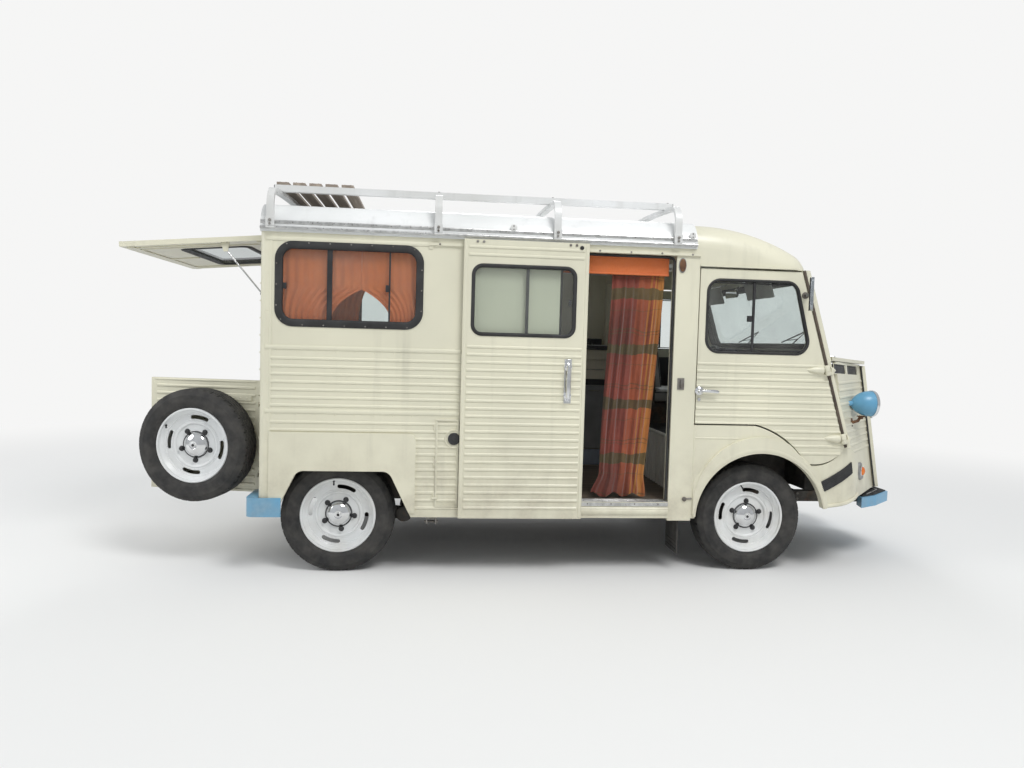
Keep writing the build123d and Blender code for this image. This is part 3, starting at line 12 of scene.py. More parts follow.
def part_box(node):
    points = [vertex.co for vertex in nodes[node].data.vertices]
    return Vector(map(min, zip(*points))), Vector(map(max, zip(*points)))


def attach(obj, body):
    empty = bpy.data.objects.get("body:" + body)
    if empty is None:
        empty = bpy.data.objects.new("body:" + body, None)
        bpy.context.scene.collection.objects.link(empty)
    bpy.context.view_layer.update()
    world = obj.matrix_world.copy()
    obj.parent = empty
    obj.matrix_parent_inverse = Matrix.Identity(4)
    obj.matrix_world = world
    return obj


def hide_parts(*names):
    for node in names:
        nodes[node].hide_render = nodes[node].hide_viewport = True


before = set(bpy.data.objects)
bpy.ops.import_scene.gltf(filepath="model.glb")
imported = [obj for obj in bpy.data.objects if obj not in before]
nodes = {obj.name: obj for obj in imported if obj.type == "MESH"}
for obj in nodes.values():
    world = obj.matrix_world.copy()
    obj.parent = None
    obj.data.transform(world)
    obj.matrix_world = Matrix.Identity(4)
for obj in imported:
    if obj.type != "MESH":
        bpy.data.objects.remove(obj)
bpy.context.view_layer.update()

# Viewpoint
# The photographer stands on the kerb side, level with the middle of the load space and at head
# height, and looks slightly down and a little towards the nose.
scene = bpy.context.scene
eye = Vector((-0.695, -5.466, 1.381))
view_right = Vector((0.99410, -0.10473, 0.02815))
view_down = Vector((0.02240, -0.05560, -0.99821))
view_forward = Vector((0.10621, 0.99295, -0.05293))
camera = bpy.data.objects.new("camera", bpy.data.cameras.new("camera"))
camera.data.lens = 27.0
camera.data.sensor_width = 36.0
camera.matrix_world = Matrix((
    (view_right.x, -view_down.x, -view_forward.x, eye.x),
    (view_right.y, -view_down.y, -view_forward.y, eye.y),
    (view_right.z, -view_down.z, -view_forward.z, eye.z),
    (0, 0, 0, 1)))
scene.collection.objects.link(camera)
scene.camera = camera

# Studio floor and light
# A pale floor without a seam that keeps the van's shadow, a large soft lamp high on the kerb
# side, and two weaker ones that open the shadows at the back and on the driver's side.
def add(tree, kind, inputs, output=0, **settings):
    """Adds a shader node, sets or wires its inputs by name or number, and gives one output."""
    node = tree.nodes.new("ShaderNode" + kind)
    for setting, value in settings.items():
        setattr(node, setting, value)
    for socket, value in inputs.items():
        if isinstance(value, bpy.types.NodeSocket):
            tree.links.new(value, node.inputs[socket])
        else:
            node.inputs[socket].default_value = value
    return node.outputs[output]


def start_finish(name):
    """A new node material: its tree, its shader and the material."""
    finish = bpy.data.materials.new(name)
    finish.use_nodes = True
    return finish.node_tree, finish.node_tree.nodes["Principled BSDF"], finish


scene.view_settings.view_transform = "Standard"
floor_half = 40.0
floor_corners = [(x, y, 0) for x, y in ((-1, -1), (1, -1), (1, 1), (-1, 1))]
floor = bpy.data.objects.new("studio_floor", bpy.data.meshes.new("studio_floor"))
floor.data.from_pydata([Vector(corner) * floor_half for corner in floor_corners], [], [(0, 1, 2, 3)])
scene.collection.objects.link(floor)
floor_tree, floor_shader, floor_paint = start_finish("studio_floor")
floor_shader.inputs["Base Color"].default_value = (0.78, 0.78, 0.77, 1)
floor_shader.inputs["Roughness"].default_value = 0.9
floor.data.materials.append(floor_paint)
pale_grey = (0.92, 0.92, 0.915, 1)
from_middle = add(floor_tree, "VectorMath", {0: add(floor_tree, "TexCoord", {}, "Object")}, "Value",
    operation="LENGTH")
far_out = add(floor_tree, "MapRange", {"Value": from_middle, "From Min": 3.5, "From Max": 9.0}, "Result",
    interpolation_type="SMOOTHSTEP")
camera_ray = add(floor_tree, "LightPath", {}, "Is Camera Ray")
seen_far_out = add(floor_tree, "Math", {0: far_out, 1: camera_ray}, operation="MULTIPLY")
glow = add(floor_tree, "Emission", {"Color": pale_grey})
floor_mix = add(floor_tree, "MixShader", {0: seen_far_out, 1: floor_shader.outputs[0], 2: glow})
floor_tree.links.new(floor_mix, floor_tree.nodes["Material Output"].inputs["Surface"])

studio = bpy.data.worlds.new("studio_light")
scene.world = studio
studio.use_nodes = True
studio_tree = studio.node_tree
sky_light = studio_tree.nodes["Background"]
sky_light.inputs["Color"].default_value = (0.95, 0.975, 1.0, 1)
sky_light.inputs["Strength"].default_value = 0.60
backdrop = add(studio_tree, "Background", {"Color": pale_grey, "Strength": 1.0})
camera_ray = add(studio_tree, "LightPath", {}, "Is Camera Ray")
through_glass = add(studio_tree, "LightPath", {}, "Is Transmission Ray")
seen = add(studio_tree, "Math", {0: camera_ray, 1: through_glass}, operation="MAXIMUM")
studio_mix = add(studio_tree, "MixShader", {0: seen, 1: sky_light.outputs[0], 2: backdrop})
studio_tree.links.new(studio_mix, studio_tree.nodes["World Output"].inputs["Surface"])

lamp_table = [
    # name, place, aim, size, power
    ("lamp_kerb_side", (2.2, -5.6, 8.0), (0.0, 0.0, 1.0), 3.6, 430),
    ("lamp_rear", (-7.5, -2.5, 4.5), (-1.0, 0.0, 1.0), 4.0, 170),
    ("lamp_far_side", (1.0, 7.5, 5.5), (0.0, 0.0, 1.0), 5.0, 260),
]
for name, place, aim, size, power in lamp_table:
    light = bpy.data.lights.new(name, "AREA")
    light.shape = "DISK"
    light.size = size
    light.energy = power
    lamp = bpy.data.objects.new(name, light)
    lamp.location = place
    lamp.rotation_euler = (Vector(aim) - Vector(place)).to_track_quat("-Z", "Y").to_euler()
    scene.collection.objects.link(lamp)

# Load body
# Thin pressed steel sides welded to corner posts and pillars, stiffened by rolled ribs, sprayed
# in cream enamel that has gone a little chalky, with road dust low down.
cream = (0.725, 0.700, 0.550)
cream_chalky = (0.640, 0.620, 0.490)
road_dust = (0.30, 0.265, 0.20)
body_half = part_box("cab_pillars")[1].y
body_rear_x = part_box("load_roof")[0].x
roof_front_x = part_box("load_roof")[1].x
pillar_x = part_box("cab_pillars")[0].x
pillar_front_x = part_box("cab_pillars")[1].x
door_rear_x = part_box("sliding_door")[0].x
post_front_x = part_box("side_left")[0].x


def mottle(tree, scale, detail=4.0, stretch=(1, 1, 1)):
    """Cloudy grey value over the van's own metres, stretched along its axes."""
    place = add(tree, "Mapping", {"Vector": add(tree, "TexCoord", {}, "Object"), "Scale": stretch})
    return add(tree, "TexNoise", {"Vector": place, "Scale": scale, "Detail": detail}, "Fac")


def shade(tree, value, low, high, low_colour, high_colour):
    """Colour that goes from low_colour to high_colour as value goes from low to high."""
    scale = tree.nodes.new("ShaderNodeValToRGB")
    stops = ((low, low_colour), (high, high_colour))
    for element, (position, colour) in zip(scale.color_ramp.elements, stops):
        element.position = position
        element.color = (*colour, 1)
    tree.links.new(value, scale.inputs["Fac"])
    return scale.outputs["Color"]


def spread(tree, value, from_low, from_high, to_low, to_high):
    """A value moved from one range to another and held inside it."""
    return add(tree, "MapRange", {"Value": value, "From Min": from_low, "From Max": from_high,
        "To Min": to_low, "To Max": to_high}, "Result")


def laid_over(tree, share, under, over):
    """One colour over another by a share from 0 to 1."""
    return add(tree, "Mix", {0: share, 6: under, 7: over}, 2, data_type="RGBA")


def grain(tree, shader, value, depth):
    """Fine relief in metres from a grey value."""
    relief = add(tree, "Bump", {"Strength": 0.6, "Distance": depth, "Height": value}, "Normal")
    tree.links.new(relief, shader.inputs["Normal"])


def times(share, colour):
    """A colour made darker or lighter by a share."""
    return tuple(share * value for value in colour)


def enamel(name, colour, chalky, dust=0.55):
    """Old sprayed enamel: cloudy tone, rain streaks, orange peel, and dust that gathers low."""
    tree, shader, finish = start_finish(name)
    tone = shade(tree, mottle(tree, 1.4, 6.0), 0.34, 0.66, chalky, colour)
    streak = mottle(tree, 16.0, 3.0, (1, 1, 0.06))
    stained = shade(tree, mottle(tree, 5.0, 5.0), 0.3, 0.7, times(0.78, chalky), chalky)
    tone = laid_over(tree, spread(tree, streak, 0.56, 0.80, 0.0, 0.55), tone, stained)
    height = add(tree, "SeparateXYZ", {"Vector": add(tree, "TexCoord", {}, "Object")}, "Z")
    low_down = spread(tree, height, 0.28, 0.95, dust, 0.0)
    patches = spread(tree, mottle(tree, 7.0, 6.0), 0.38, 0.68, 0.15, 1.0)
    dusty = add(tree, "Math", {0: low_down, 1: patches}, operation="MULTIPLY")
    brown = shade(tree, mottle(tree, 60.0, 3.0), 0.3, 0.7, road_dust, times(1.5, road_dust))
    tree.links.new(laid_over(tree, dusty, tone, brown), shader.inputs["Base Color"])
    gloss = spread(tree, mottle(tree, 3.0, 5.0), 0.3, 0.7, 0.30, 0.50)
    tree.links.new(gloss, shader.inputs["Roughness"])
    shader.inputs["Coat Weight"].default_value = 0.25
    shader.inputs["Coat Roughness"].default_value = 0.2
    grain(tree, shader, mottle(tree, 260.0, 2.0), 0.0004)
    return finish


def dress(finish, *names):
    """Gives CAD nodes their finish."""
    for name in names:
        for held in nodes[name].material_slots:
            held.material = finish


cream_enamel = enamel("cream_enamel", cream, cream_chalky)
dress(cream_enamel, "side_right", "side_left", "rear_frame", "cab_pillars")


def block(corner, opposite):
    """Points and faces of a block between two opposite corners."""
    low = [min(pair) for pair in zip(corner, opposite)]
    high = [max(pair) for pair in zip(corner, opposite)]
    points = [Vector((x, y, z)) for x in (low[0], high[0]) for y in (low[1], high[1])
        for z in (low[2], high[2])]
    return points, [(0, 1, 3, 2), (4, 6, 7, 5), (0, 4, 5, 1), (2, 3, 7, 6), (0, 2, 6, 4), (1, 5, 7, 3)]


def drawn(stations):
    """Points and faces of a bar through rings of points, closed at both ends."""
    size = len(stations[0])
    points = [Vector(point) for ring in stations for point in ring]
    faces = [tuple(reversed(range(size))), tuple(range(len(points) - size, len(points)))]
    for ring in range(len(stations) - 1):
        for index in range(size):
            after = (index + 1) % size
            low, high = ring * size, (ring + 1) * size
            faces.append((low + index, low + after, high + after, high + index))
    return points, faces


def turned(profile, centre, axis, sides=24):
    """Points and faces of a profile of (distance, radius) turned about an axis through centre."""
    along = Vector(axis).normalized()
    first = along.orthogonal().normalized()
    second = along.cross(first)
    stations = []
    for distance, radius in profile:
        middle = Vector(centre) + along * distance
        stations.append([middle + (first * math.cos(2 * math.pi * index / sides)
            + second * math.sin(2 * math.pi * index / sides)) * radius for index in range(sides)])
    return drawn(stations)


def rod(start, end, radius, sides=12):
    """Round bar between two points."""
    reach = Vector(end) - Vector(start)
    return turned([(0, radius), (reach.length, radius)], start, reach, sides)


def fitted(name, shapes, finish, body="body", bevel=0.0, soft_deg=35, slot=None):
    """One piece from several shapes, with its finish, fixed to a body of the van."""
    mesh = bpy.data.meshes.new(name)
    points, faces = [], []
    for shape_points, shape_faces in shapes:
        start = len(points)
        points += [tuple(point) for point in shape_points]
        faces += [tuple(index + start for index in face) for face in shape_faces]
    mesh.from_pydata(points, [], faces)
    clean = bmesh.new()
    clean.from_mesh(mesh)
    bmesh.ops.remove_doubles(clean, verts=clean.verts, dist=1e-6)
    bmesh.ops.recalc_face_normals(clean, faces=clean.faces)
    clean.to_mesh(mesh)
    clean.free()
    mesh.polygons.foreach_set("use_smooth", [True] * len(mesh.polygons))
    mesh.set_sharp_from_angle(angle=math.radians(soft_deg))
    piece = bpy.data.objects.new(name, mesh)
    scene.collection.objects.link(piece)
    mesh.materials.append(finish)
    if bevel:
        edge = piece.modifiers.new("edge", "BEVEL")
        edge.width = bevel
        edge.segments = 2
        edge.limit_method = "ANGLE"
    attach(piece, body)
    return piece


def half_round(start, end, out, width, proud):
    """Half-round moulding from start to end that stands out from a panel."""
    start, end, out = Vector(start), Vector(end), Vector(out)
    across = (end - start).normalized().cross(out)
    section = [(-0.5, -0.2), (-0.46, 0.45), (-0.3, 0.82), (0.0, 1.0), (0.3, 0.82), (0.46, 0.45),
        (0.5, -0.2)]
    return drawn([[point + across * (width * u) + out * (proud * v) for u, v in section]
        for point in (start, end)])


belt_heights = (0.957, 1.322, 1.936)
mouldings = []
for side, front_x in ((-1, door_rear_x - 0.004), (1, pillar_x)):
    for height in belt_heights:
        mouldings.append(half_round((body_rear_x + 0.034, side * body_half, height),
            (front_x, side * body_half, height), (0, side, 0), 0.026, 0.006))
    mouldings.append(half_round((post_front_x, side * body_half, 0.42),
        (post_front_x, side * body_half, 1.93), (0, side, 0), 0.014, 0.004))
fitted("belt_mouldings", mouldings, cream_enamel, slot="body_paint")


def rivet(place, out, radius=0.005, proud=0.0025):
    """Domed rivet or screw head."""
    return turned([(-0.002, radius), (0.3 * proud, radius), (0.8 * proud, 0.7 * radius), (proud, 0)], place,
        out, 8)


side_rivets = []
for side, front_x in ((-1, door_rear_x - 0.05), (1, pillar_x - 0.05)):
    places = [(body_rear_x + 0.1 + 0.11 * index, height - 0.018) for height in belt_heights[:2]
        for index in range(int((front_x - body_rear_x - 0.12) / 0.11))]
    places += [(body_rear_x + 0.045, 0.48 + 0.105 * index) for index in range(14)]
    side_rivets += [rivet((x, side * body_half, z), (0, side, 0), 0.004) for x, z in places]
fitted("side_rivets", side_rivets, cream_enamel, slot="body_paint")

# Filler flap and jacking point
# A small ribbed steel flap in front of the rear wheel, hinged at its rear edge, with a black
# screw cap in a pressed cup. Below the sill sits the bracket for the jack.
flap_low_x, flap_low_z = -0.655, 0.408
flap_high_x, flap_high_z = -0.520, 0.927
flap_face_y = -body_half - 0.007
flap_edge = 0.011
kerb_out = (0, -1, 0)
flap_bars = [((flap_low_x, flap_low_z), (flap_high_x, flap_low_z + flap_edge)),
    ((flap_low_x, flap_high_z - flap_edge), (flap_high_x, flap_high_z)),
    ((flap_low_x, flap_low_z + flap_edge), (flap_low_x + flap_edge, flap_high_z - flap_edge)),
    ((flap_high_x - flap_edge, flap_low_z + flap_edge), (flap_high_x, flap_high_z - flap_edge)),]
flap_pieces = [block((low[0], flap_face_y, low[1]), (high[0], flap_face_y + 0.009, high[1])) for low,
    high in flap_bars]
for height in (0.47, 0.67, 0.87):
    flap_pieces.append(rod((flap_low_x - 0.006, flap_face_y + 0.002, height - 0.022),
        (flap_low_x - 0.006, flap_face_y + 0.002, height + 0.022), 0.005))
    flap_pieces.append(rivet((flap_low_x + 0.006, flap_face_y, height), kerb_out, 0.004))
flap_pieces.append(block((flap_low_x - 0.018, flap_face_y - 0.006, 0.455),
    (flap_low_x + 0.016, flap_face_y + 0.002, 0.467)))
cup_place = Vector((-0.548, -body_half, 0.811))
cup_profile = [(0.001, 0.056), (0.008, 0.055), (0.008, 0.050), (0.002, 0.046), (0.002, 0.020)]
flap_pieces.append(turned(cup_profile, cup_place, kerb_out, 32))
fitted("filler_flap", flap_pieces, cream_enamel, bevel=0.001, slot="body_paint")


def plain_finish(name, colour, dark, rough, scale=6.0, depth=0.0, depth_scale=180.0, metal=0.0,
        stretch=(1, 1, 1)):
    """Finish whose tone and shine wander a little, with a fine relief."""
    tree, shader, finish = start_finish(name)
    clouds = mottle(tree, scale, 5.0, stretch)
    tree.links.new(shade(tree, clouds, 0.32, 0.68, dark, colour), shader.inputs["Base Color"])
    shine = spread(tree, mottle(tree, 2.3 * scale, 4.0, stretch), 0.3, 0.7, *rough)
    tree.links.new(shine, shader.inputs["Roughness"])
    shader.inputs["Metallic"].default_value = metal
    if depth:
        grain(tree, shader, mottle(tree, depth_scale, 3.0, stretch), depth)
    return finish


black_plastic = plain_finish("black_plastic", (0.035, 0.035, 0.037), (0.016, 0.016, 0.017), (0.38, 0.55),
    9.0, 0.0003, 320.0)
cap_profile = [(0.0, 0.036), (0.008, 0.036), (0.0105, 0.033), (0.011, 0.014), (0.013, 0.012), (0.014, 0.0)]
cap_grips = [turned(cap_profile, cup_place, kerb_out, 28)]
for index in range(6):
    turn = math.radians(60 * index + 12)
    reach = Vector((math.cos(turn), 0, math.sin(turn))) * 0.030
    cap_grips.append(rod(cup_place + reach, cup_place + reach + Vector((0, -0.0125, 0)), 0.006, 10))
fitted("filler_cap", cap_grips, black_plastic, soft_deg=30)
jack_steel = plain_finish("dull_steel", (0.30, 0.29, 0.27), (0.14, 0.125, 0.11), (0.45, 0.7), 18.0, 0.0006,
    150.0, 0.7)
jack_socket = [block((-0.70, -0.955, 0.330), (-0.64, -0.905, 0.346)),
    block((-0.70, -0.955, 0.300), (-0.692, -0.905, 0.330)), block((-0.648, -0.955, 0.300),
    (-0.64, -0.905, 0.330)), rod((-0.71, -0.93, 0.312), (-0.63, -0.93, 0.312), 0.007)]
fitted("jack_socket", jack_socket, jack_steel, bevel=0.001, slot="under_steel")

# Doorway sill and seal
# A ribbed aluminium tread plate screwed on the sill, a rubbing bar below it, and the black
# rubber seal that the sliding door meets, pressed on the flange of the pillar behind the cab.
doorway_rear_x = 0.056
sill_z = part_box("load_floor")[0].z + 0.04
aluminium = plain_finish("worn_aluminium", (0.62, 0.62, 0.61), (0.42, 0.42, 0.41), (0.24, 0.42), 30.0,
    0.0003, 240.0, 0.9)
tread = [block((doorway_rear_x, -body_half - 0.004, sill_z - 0.026),
    (pillar_x, -body_half + 0.001, sill_z + 0.003)), block((doorway_rear_x, -body_half, sill_z),
    (pillar_x, -body_half + 0.075, sill_z + 0.003))]
for index in range(6):
    line_y = -body_half + 0.012 + 0.011 * index
    tread.append(block((doorway_rear_x + 0.01, line_y, sill_z + 0.003),
        (pillar_x - 0.01, line_y + 0.005, sill_z + 0.0045)))
fitted("sill_tread", tread, aluminium, bevel=0.0008)
sill_screws = [rivet((doorway_rear_x + 0.06 + 0.145 * index, -body_half - 0.004, sill_z - 0.012), kerb_out,
    0.0045) for index in range(5)]
fitted("sill_screws", sill_screws, jack_steel)
rub_bar = half_round((doorway_rear_x, -body_half, sill_z - 0.062), (pillar_x, -body_half, sill_z - 0.062),
    kerb_out, 0.034, 0.010)
fitted("sill_rub_bar", [rub_bar], cream_enamel, slot="body_paint")
rubber = plain_finish("black_rubber", (0.030, 0.030, 0.031), (0.014, 0.014, 0.014), (0.55, 0.78), 8.0,
    0.0004, 200.0)


def tube(path, radius, sides=10):
    """Round bar that follows a path of points."""
    path = [Vector(point) for point in path]
    stations = []
    first = (path[1] - path[0]).orthogonal().normalized()
    for index, point in enumerate(path):
        ahead = path[min(index + 1, len(path) - 1)] - path[max(index - 1, 0)]
        ahead.normalize()
        first = (first - ahead * first.dot(ahead)).normalized()
        second = ahead.cross(first)
        stations.append([point + (first * math.cos(2 * math.pi * turn / sides)
            + second * math.sin(2 * math.pi * turn / sides)) * radius for turn in range(sides)])
    return drawn(stations)


seal_path = [(pillar_x - 0.009, sill_z + 0.01), (pillar_x - 0.009, 1.90), (pillar_x - 0.02, 1.917),
    (pillar_x - 0.04, 1.921), (doorway_rear_x + 0.03, 1.921), (doorway_rear_x + 0.012, 1.91),
    (doorway_rear_x + 0.009, 1.88), (doorway_rear_x + 0.009, sill_z + 0.01)]
fitted("doorway_seal", [tube([(x, -body_half + 0.020, z) for x, z in seal_path], 0.0085)], rubber)
loop_x = pillar_x + 0.05
loop_y = -body_half - 0.018
stay_z = 0.464
striker = [block((pillar_x + 0.03, -body_half - 0.004, 1.13), (pillar_x + 0.072, -body_half, 1.20)),
    rod((loop_x, loop_y, 1.142), (loop_x, loop_y, 1.188), 0.004), rod((loop_x, loop_y, 1.144),
    (loop_x, -body_half, 1.144), 0.004), rod((loop_x, loop_y, 1.186), (loop_x, -body_half, 1.186), 0.004),
    rod((0.845, -body_half - 0.004, stay_z), (0.905, -body_half - 0.004, stay_z + 0.004), 0.005),
    turned([(0, 0.014), (0.008, 0.014), (0.012, 0.010), (0.013, 0.0)], (0.858, -body_half, stay_z),
    kerb_out, 16)]
fitted("door_striker", striker, jack_steel, bevel=0.0008)

# Door rail
# The steel channel that carries the sliding door, bolted over the doorway, with its stop bracket
# at the rear end, clear of the panel.
dress(cream_enamel, "door_rail")
rail_low, rail_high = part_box("door_rail")
rail_bolts = [rivet((rail_low.x + 0.06 + 0.188 * index, rail_low.y, (rail_low.z + rail_high.z) / 2),
    kerb_out, 0.006, 0.004) for index in range(9)]
rail_stop = block((rail_low.x - 0.004, rail_low.y + 0.0075, rail_low.z - 0.022),
    (rail_low.x + 0.022, rail_high.y, rail_high.z + 0.004))
fitted("rail_bolts", rail_bolts, jack_steel)
fitted("rail_stop", [rail_stop], cream_enamel, bevel=0.002, slot="body_paint")

# Roof
# A pressed steel roof in white, seamed to the gutters, and the cab roof in cream that rolls over
# as a brow. Bright aluminium strips cover the gutter seams and are held by screws.
white_enamel = enamel("white_enamel", (0.80, 0.81, 0.81), (0.70, 0.71, 0.70), 0.0)
dress(white_enamel, "load_roof")
dress(cream_enamel, "cab_roof")
gutter_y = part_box("load_roof")[1].y
gutter_z = 1.998
strips, strip_screws = [], []
for side in (-1, 1):
    for inwards, lift, width, proud in ((0.001, -0.003, 0.017, 0.006), (0.013, 0.030, 0.020, 0.004)):
        strips.append(half_round((body_rear_x + 0.002, side * (gutter_y - inwards), gutter_z + lift),
            (roof_front_x - 0.002, side * (gutter_y - inwards), gutter_z + lift), (0, side, 0), width,
            proud))
    strip_screws += [rivet((body_rear_x + 0.07 + 0.11 * index, side * (gutter_y - 0.010), gutter_z + 0.030),
        (0, side, 0), 0.0035) for index in range(23)]
fitted("gutter_strips", strips, aluminium)
fitted("gutter_screws", strip_screws, jack_steel)

# Window glass
# Toughened panes, a little green at the edge and dusty, set in black rubber. The same glass is
# in the windscreen, the cab doors, the sliding door, the hatch and the rear side windows.
def window_glass(name, tint, dust, mirror):
    """Clear sheet glass: it lets light through, mirrors at a low angle and carries some dust."""
    tree, shader, finish = start_finish(name)
    tree.nodes.remove(shader)
    ripple = add(tree, "Bump", {"Distance": 0.0004, "Height": mottle(tree, 2.0, 2.0)}, "Normal")
    clear = add(tree, "BsdfTransparent", {"Color": (*tint, 1)})
    shine = add(tree, "BsdfGlossy", {"Roughness": 0.02, "Normal": ripple})
    mirrored = add(tree, "MixShader", {0: add(tree, "Fresnel", {"IOR": mirror}), 1: clear, 2: shine})
    film = add(tree, "BsdfDiffuse", {"Color": (0.62, 0.61, 0.56, 1)})
    smears = spread(tree, mottle(tree, 3.5, 6.0), 0.35, 0.75, 0.3 * dust, dust)
    smeared = add(tree, "MixShader", {0: smears, 1: mirrored, 2: film})
    near_face = spread(tree, add(tree, "NewGeometry", {}, "Backfacing"), 0, 1, 1, 0)
    far_face = add(tree, "BsdfTransparent", {})
    pane = add(tree, "MixShader", {0: near_face, 1: far_face, 2: smeared})
    tree.links.new(pane, tree.nodes["Material Output"].inputs["Surface"])
    return finish


clear_glass = window_glass("clear_glass", (0.80, 0.85, 0.84), 0.11, 1.52)
dress(clear_glass, "fixed_glass", "cab_glass_left", "cab_glass_right", "hatch_glass", "sliding_glass")

# Side window rubbers
# A thick black rubber profile round each pane, held on the outside by a flange with small
# screws. The rear window has a fixed rear pane and a sliding one with a black grip.
def corner_loop(corners, radius, steps=9):
    """Closed loop through rounded corners: points with the direction that leads outwards."""
    loop = []
    for index, corner in enumerate(corners):
        corner = Vector(corner)
        before = (Vector(corners[index - 1]) - corner).normalized()
        after = (Vector(corners[(index + 1) % len(corners)]) - corner).normalized()
        half_angle = before.angle(after) / 2
        middle = corner + (before + after).normalized() * (radius / math.sin(half_angle))
        start = corner + before * (radius / math.tan(half_angle)) - middle
        end = corner + after * (radius / math.tan(half_angle)) - middle
        swing = start.angle_signed(end)
        for step in range(steps + 1):
            turn = -swing * step / steps
            out = Vector((start.x * math.cos(turn) - start.y * math.sin(turn),
                start.x * math.sin(turn) + start.y * math.cos(turn)))
            loop.append((middle + out, out.normalized()))
    return loop


def upright(low, high, radius, steps=9):
    """Loop with rounded corners round an upright rectangle between two corners."""
    return corner_loop([low, (high[0], low[1]), high, (low[0], high[1])], radius, steps)


def ring(loop, section, place):
    """Closed profile run round a loop; section holds (outwards, proud) and place sets it in 3-D."""
    size = len(section)
    points = [place(*(point + out * outward), proud) for point, out in loop for outward, proud in section]
    faces = []
    for index in range(len(loop)):
        low, high = index * size, (index + 1) % len(loop) * size
        for edge in range(size):
            after = (edge + 1) % size
            faces.append((low + edge, low + after, high + after, high + edge))
    return points, faces


def spaced(loop, gap):
    """Places at even distances along a closed loop, each with its outward direction."""
    places, run, goal = [], 0.0, gap / 2
    for index, (point, out) in enumerate(loop):
        after, out_after = loop[(index + 1) % len(loop)]
        length = (after - point).length
        while goal <= run + length:
            share = (goal - run) / length
            places.append((point.lerp(after, share), out.lerp(out_after, share).normalized()))
            goal += gap
        run += length
    return places


def on_side(side, face):
    """Sets (x, z, proud) on an upright face of the kerb side (-1) or the driver's side (1)."""
    return lambda x, z, proud: Vector((x, side * (face + proud), z))


rear_pane = upright((-1.559, 1.466), (-0.769, 1.902), 0.078)
flanged = [(-0.020, -0.013), (-0.019, 0.002), (-0.014, 0.008), (-0.004, 0.010), (0.016, 0.008),
    (0.024, 0.004), (0.025, -0.001)]
pane_y = body_half - 0.013
rear_slide_table = [
    # low x, high x, half depth, low z, high z
    (-1.294, -1.264, 0.006, 1.474, 1.894),
    (-0.944, -0.934, 0.004, 1.474, 1.894),
    (-1.545, -1.520, 0.008, 1.655, 1.690),
    (-0.962, -0.944, 0.010, 1.655, 1.695),
    (-1.550, -0.775, 0.007, 1.474, 1.481),
    (-1.550, -0.775, 0.007, 1.888, 1.895),
]


def slides(side, table):
    """Bars in a side window's pane, from a table of their x, half depth and z."""
    return [block((low_x, side * pane_y - deep, low_z), (high_x, side * pane_y + deep, high_z)) for low_x,
        high_x, deep, low_z, high_z in table]


for side, name in ((-1, "kerb"), (1, "driver")):
    place = on_side(side, body_half)
    fitted(f"rear_window_rubber_{name}", [ring(rear_pane, flanged, place)], rubber, soft_deg=50)
    screws = [rivet(place(*(point + out * 0.014), 0.008), (0, side, 0), 0.0045) for point,
        out in spaced(rear_pane, 0.118)]
    fitted(f"rear_window_screws_{name}", screws, jack_steel)
    fitted(f"rear_window_slides_{name}", slides(side, rear_slide_table), black_plastic, bevel=0.0015)

# Sliding door
# A ribbed steel door that hangs on two hooks in the rail over it. It has a rubber-set pane, a
# chrome pull handle, a guide block at its foot and a black stop button in the top corner.
dress(cream_enamel, "sliding_door")
door_low, door_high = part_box("sliding_door")
door_face = 1.008
chrome = plain_finish("chrome", (0.78, 0.79, 0.80), (0.62, 0.62, 0.62), (0.06, 0.16), 14.0, 0.0, 1.0, 1.0)
slim = [(-0.013, -0.016), (-0.012, 0.001), (-0.008, 0.006), (-0.001, 0.008), (0.006, 0.006), (0.009, 0.002),
    (0.0095, -0.001)]
slide_pane = upright((-0.460, 1.428), (0.140, 1.828), 0.056)
fitted("sliding_window_rubber", [ring(slide_pane, slim, on_side(-1, door_face))], rubber, "sliding_door",
    soft_deg=50)
slide_bars = [block((-0.150, -0.999, 1.43), (-0.132, -0.988, 1.826)),
    block((0.104, -0.999, 1.61), (0.122, -0.984, 1.645))]
fitted("sliding_window_slide", slide_bars, black_plastic, "sliding_door", bevel=0.0015)
grip_x, grip_z = 0.110, 1.166
foot_profile = [(0, 0.024), (0.004, 0.024), (0.007, 0.019), (0.009, 0.010), (0.034, 0.009)]
grip = [turned(foot_profile, (grip_x, -door_face - 0.003, z), kerb_out, 20)
    for z in (grip_z - 0.084, grip_z + 0.084)]
swell = []
for step in range(13):
    height = -0.094 + 0.188 * step / 12
    swell.append((0.094 + height, 0.0095 + 0.0045 * math.cos(height / 0.094 * math.pi / 2)))
grip.append(turned(swell, (grip_x, -door_face - 0.037, grip_z - 0.094), (0, 0, 1), 16))
grip.append(block((grip_x - 0.021, -door_face - 0.006, grip_z - 0.13),
    (grip_x + 0.021, -door_face - 0.0005, grip_z + 0.13)))
grip.append(turned([(0, 0.011), (0.006, 0.011), (0.007, 0.007), (0.0055, 0.003), (0.0055, 0.0)],
    (grip_x, -door_face - 0.006, grip_z - 0.112), kerb_out, 18))
fitted("sliding_door_grip", grip, chrome, "sliding_door", bevel=0.0012, slot="rod_chrome")
stop = turned([(0, 0.012), (0.008, 0.011), (0.011, 0.007), (0.011, 0)],
    (door_high.x - 0.046, -door_face, 1.948), kerb_out, 16)
fitted("sliding_door_stop", [stop], rubber, "sliding_door")
seams = [half_round((x, -door_face, 0.356), (x, -door_face, 1.965), kerb_out, 0.016, 0.003)
    for x in (door_low.x + 0.014, door_high.x - 0.014)]
fitted("sliding_door_seams", seams, cream_enamel, "sliding_door", slot="body_paint")
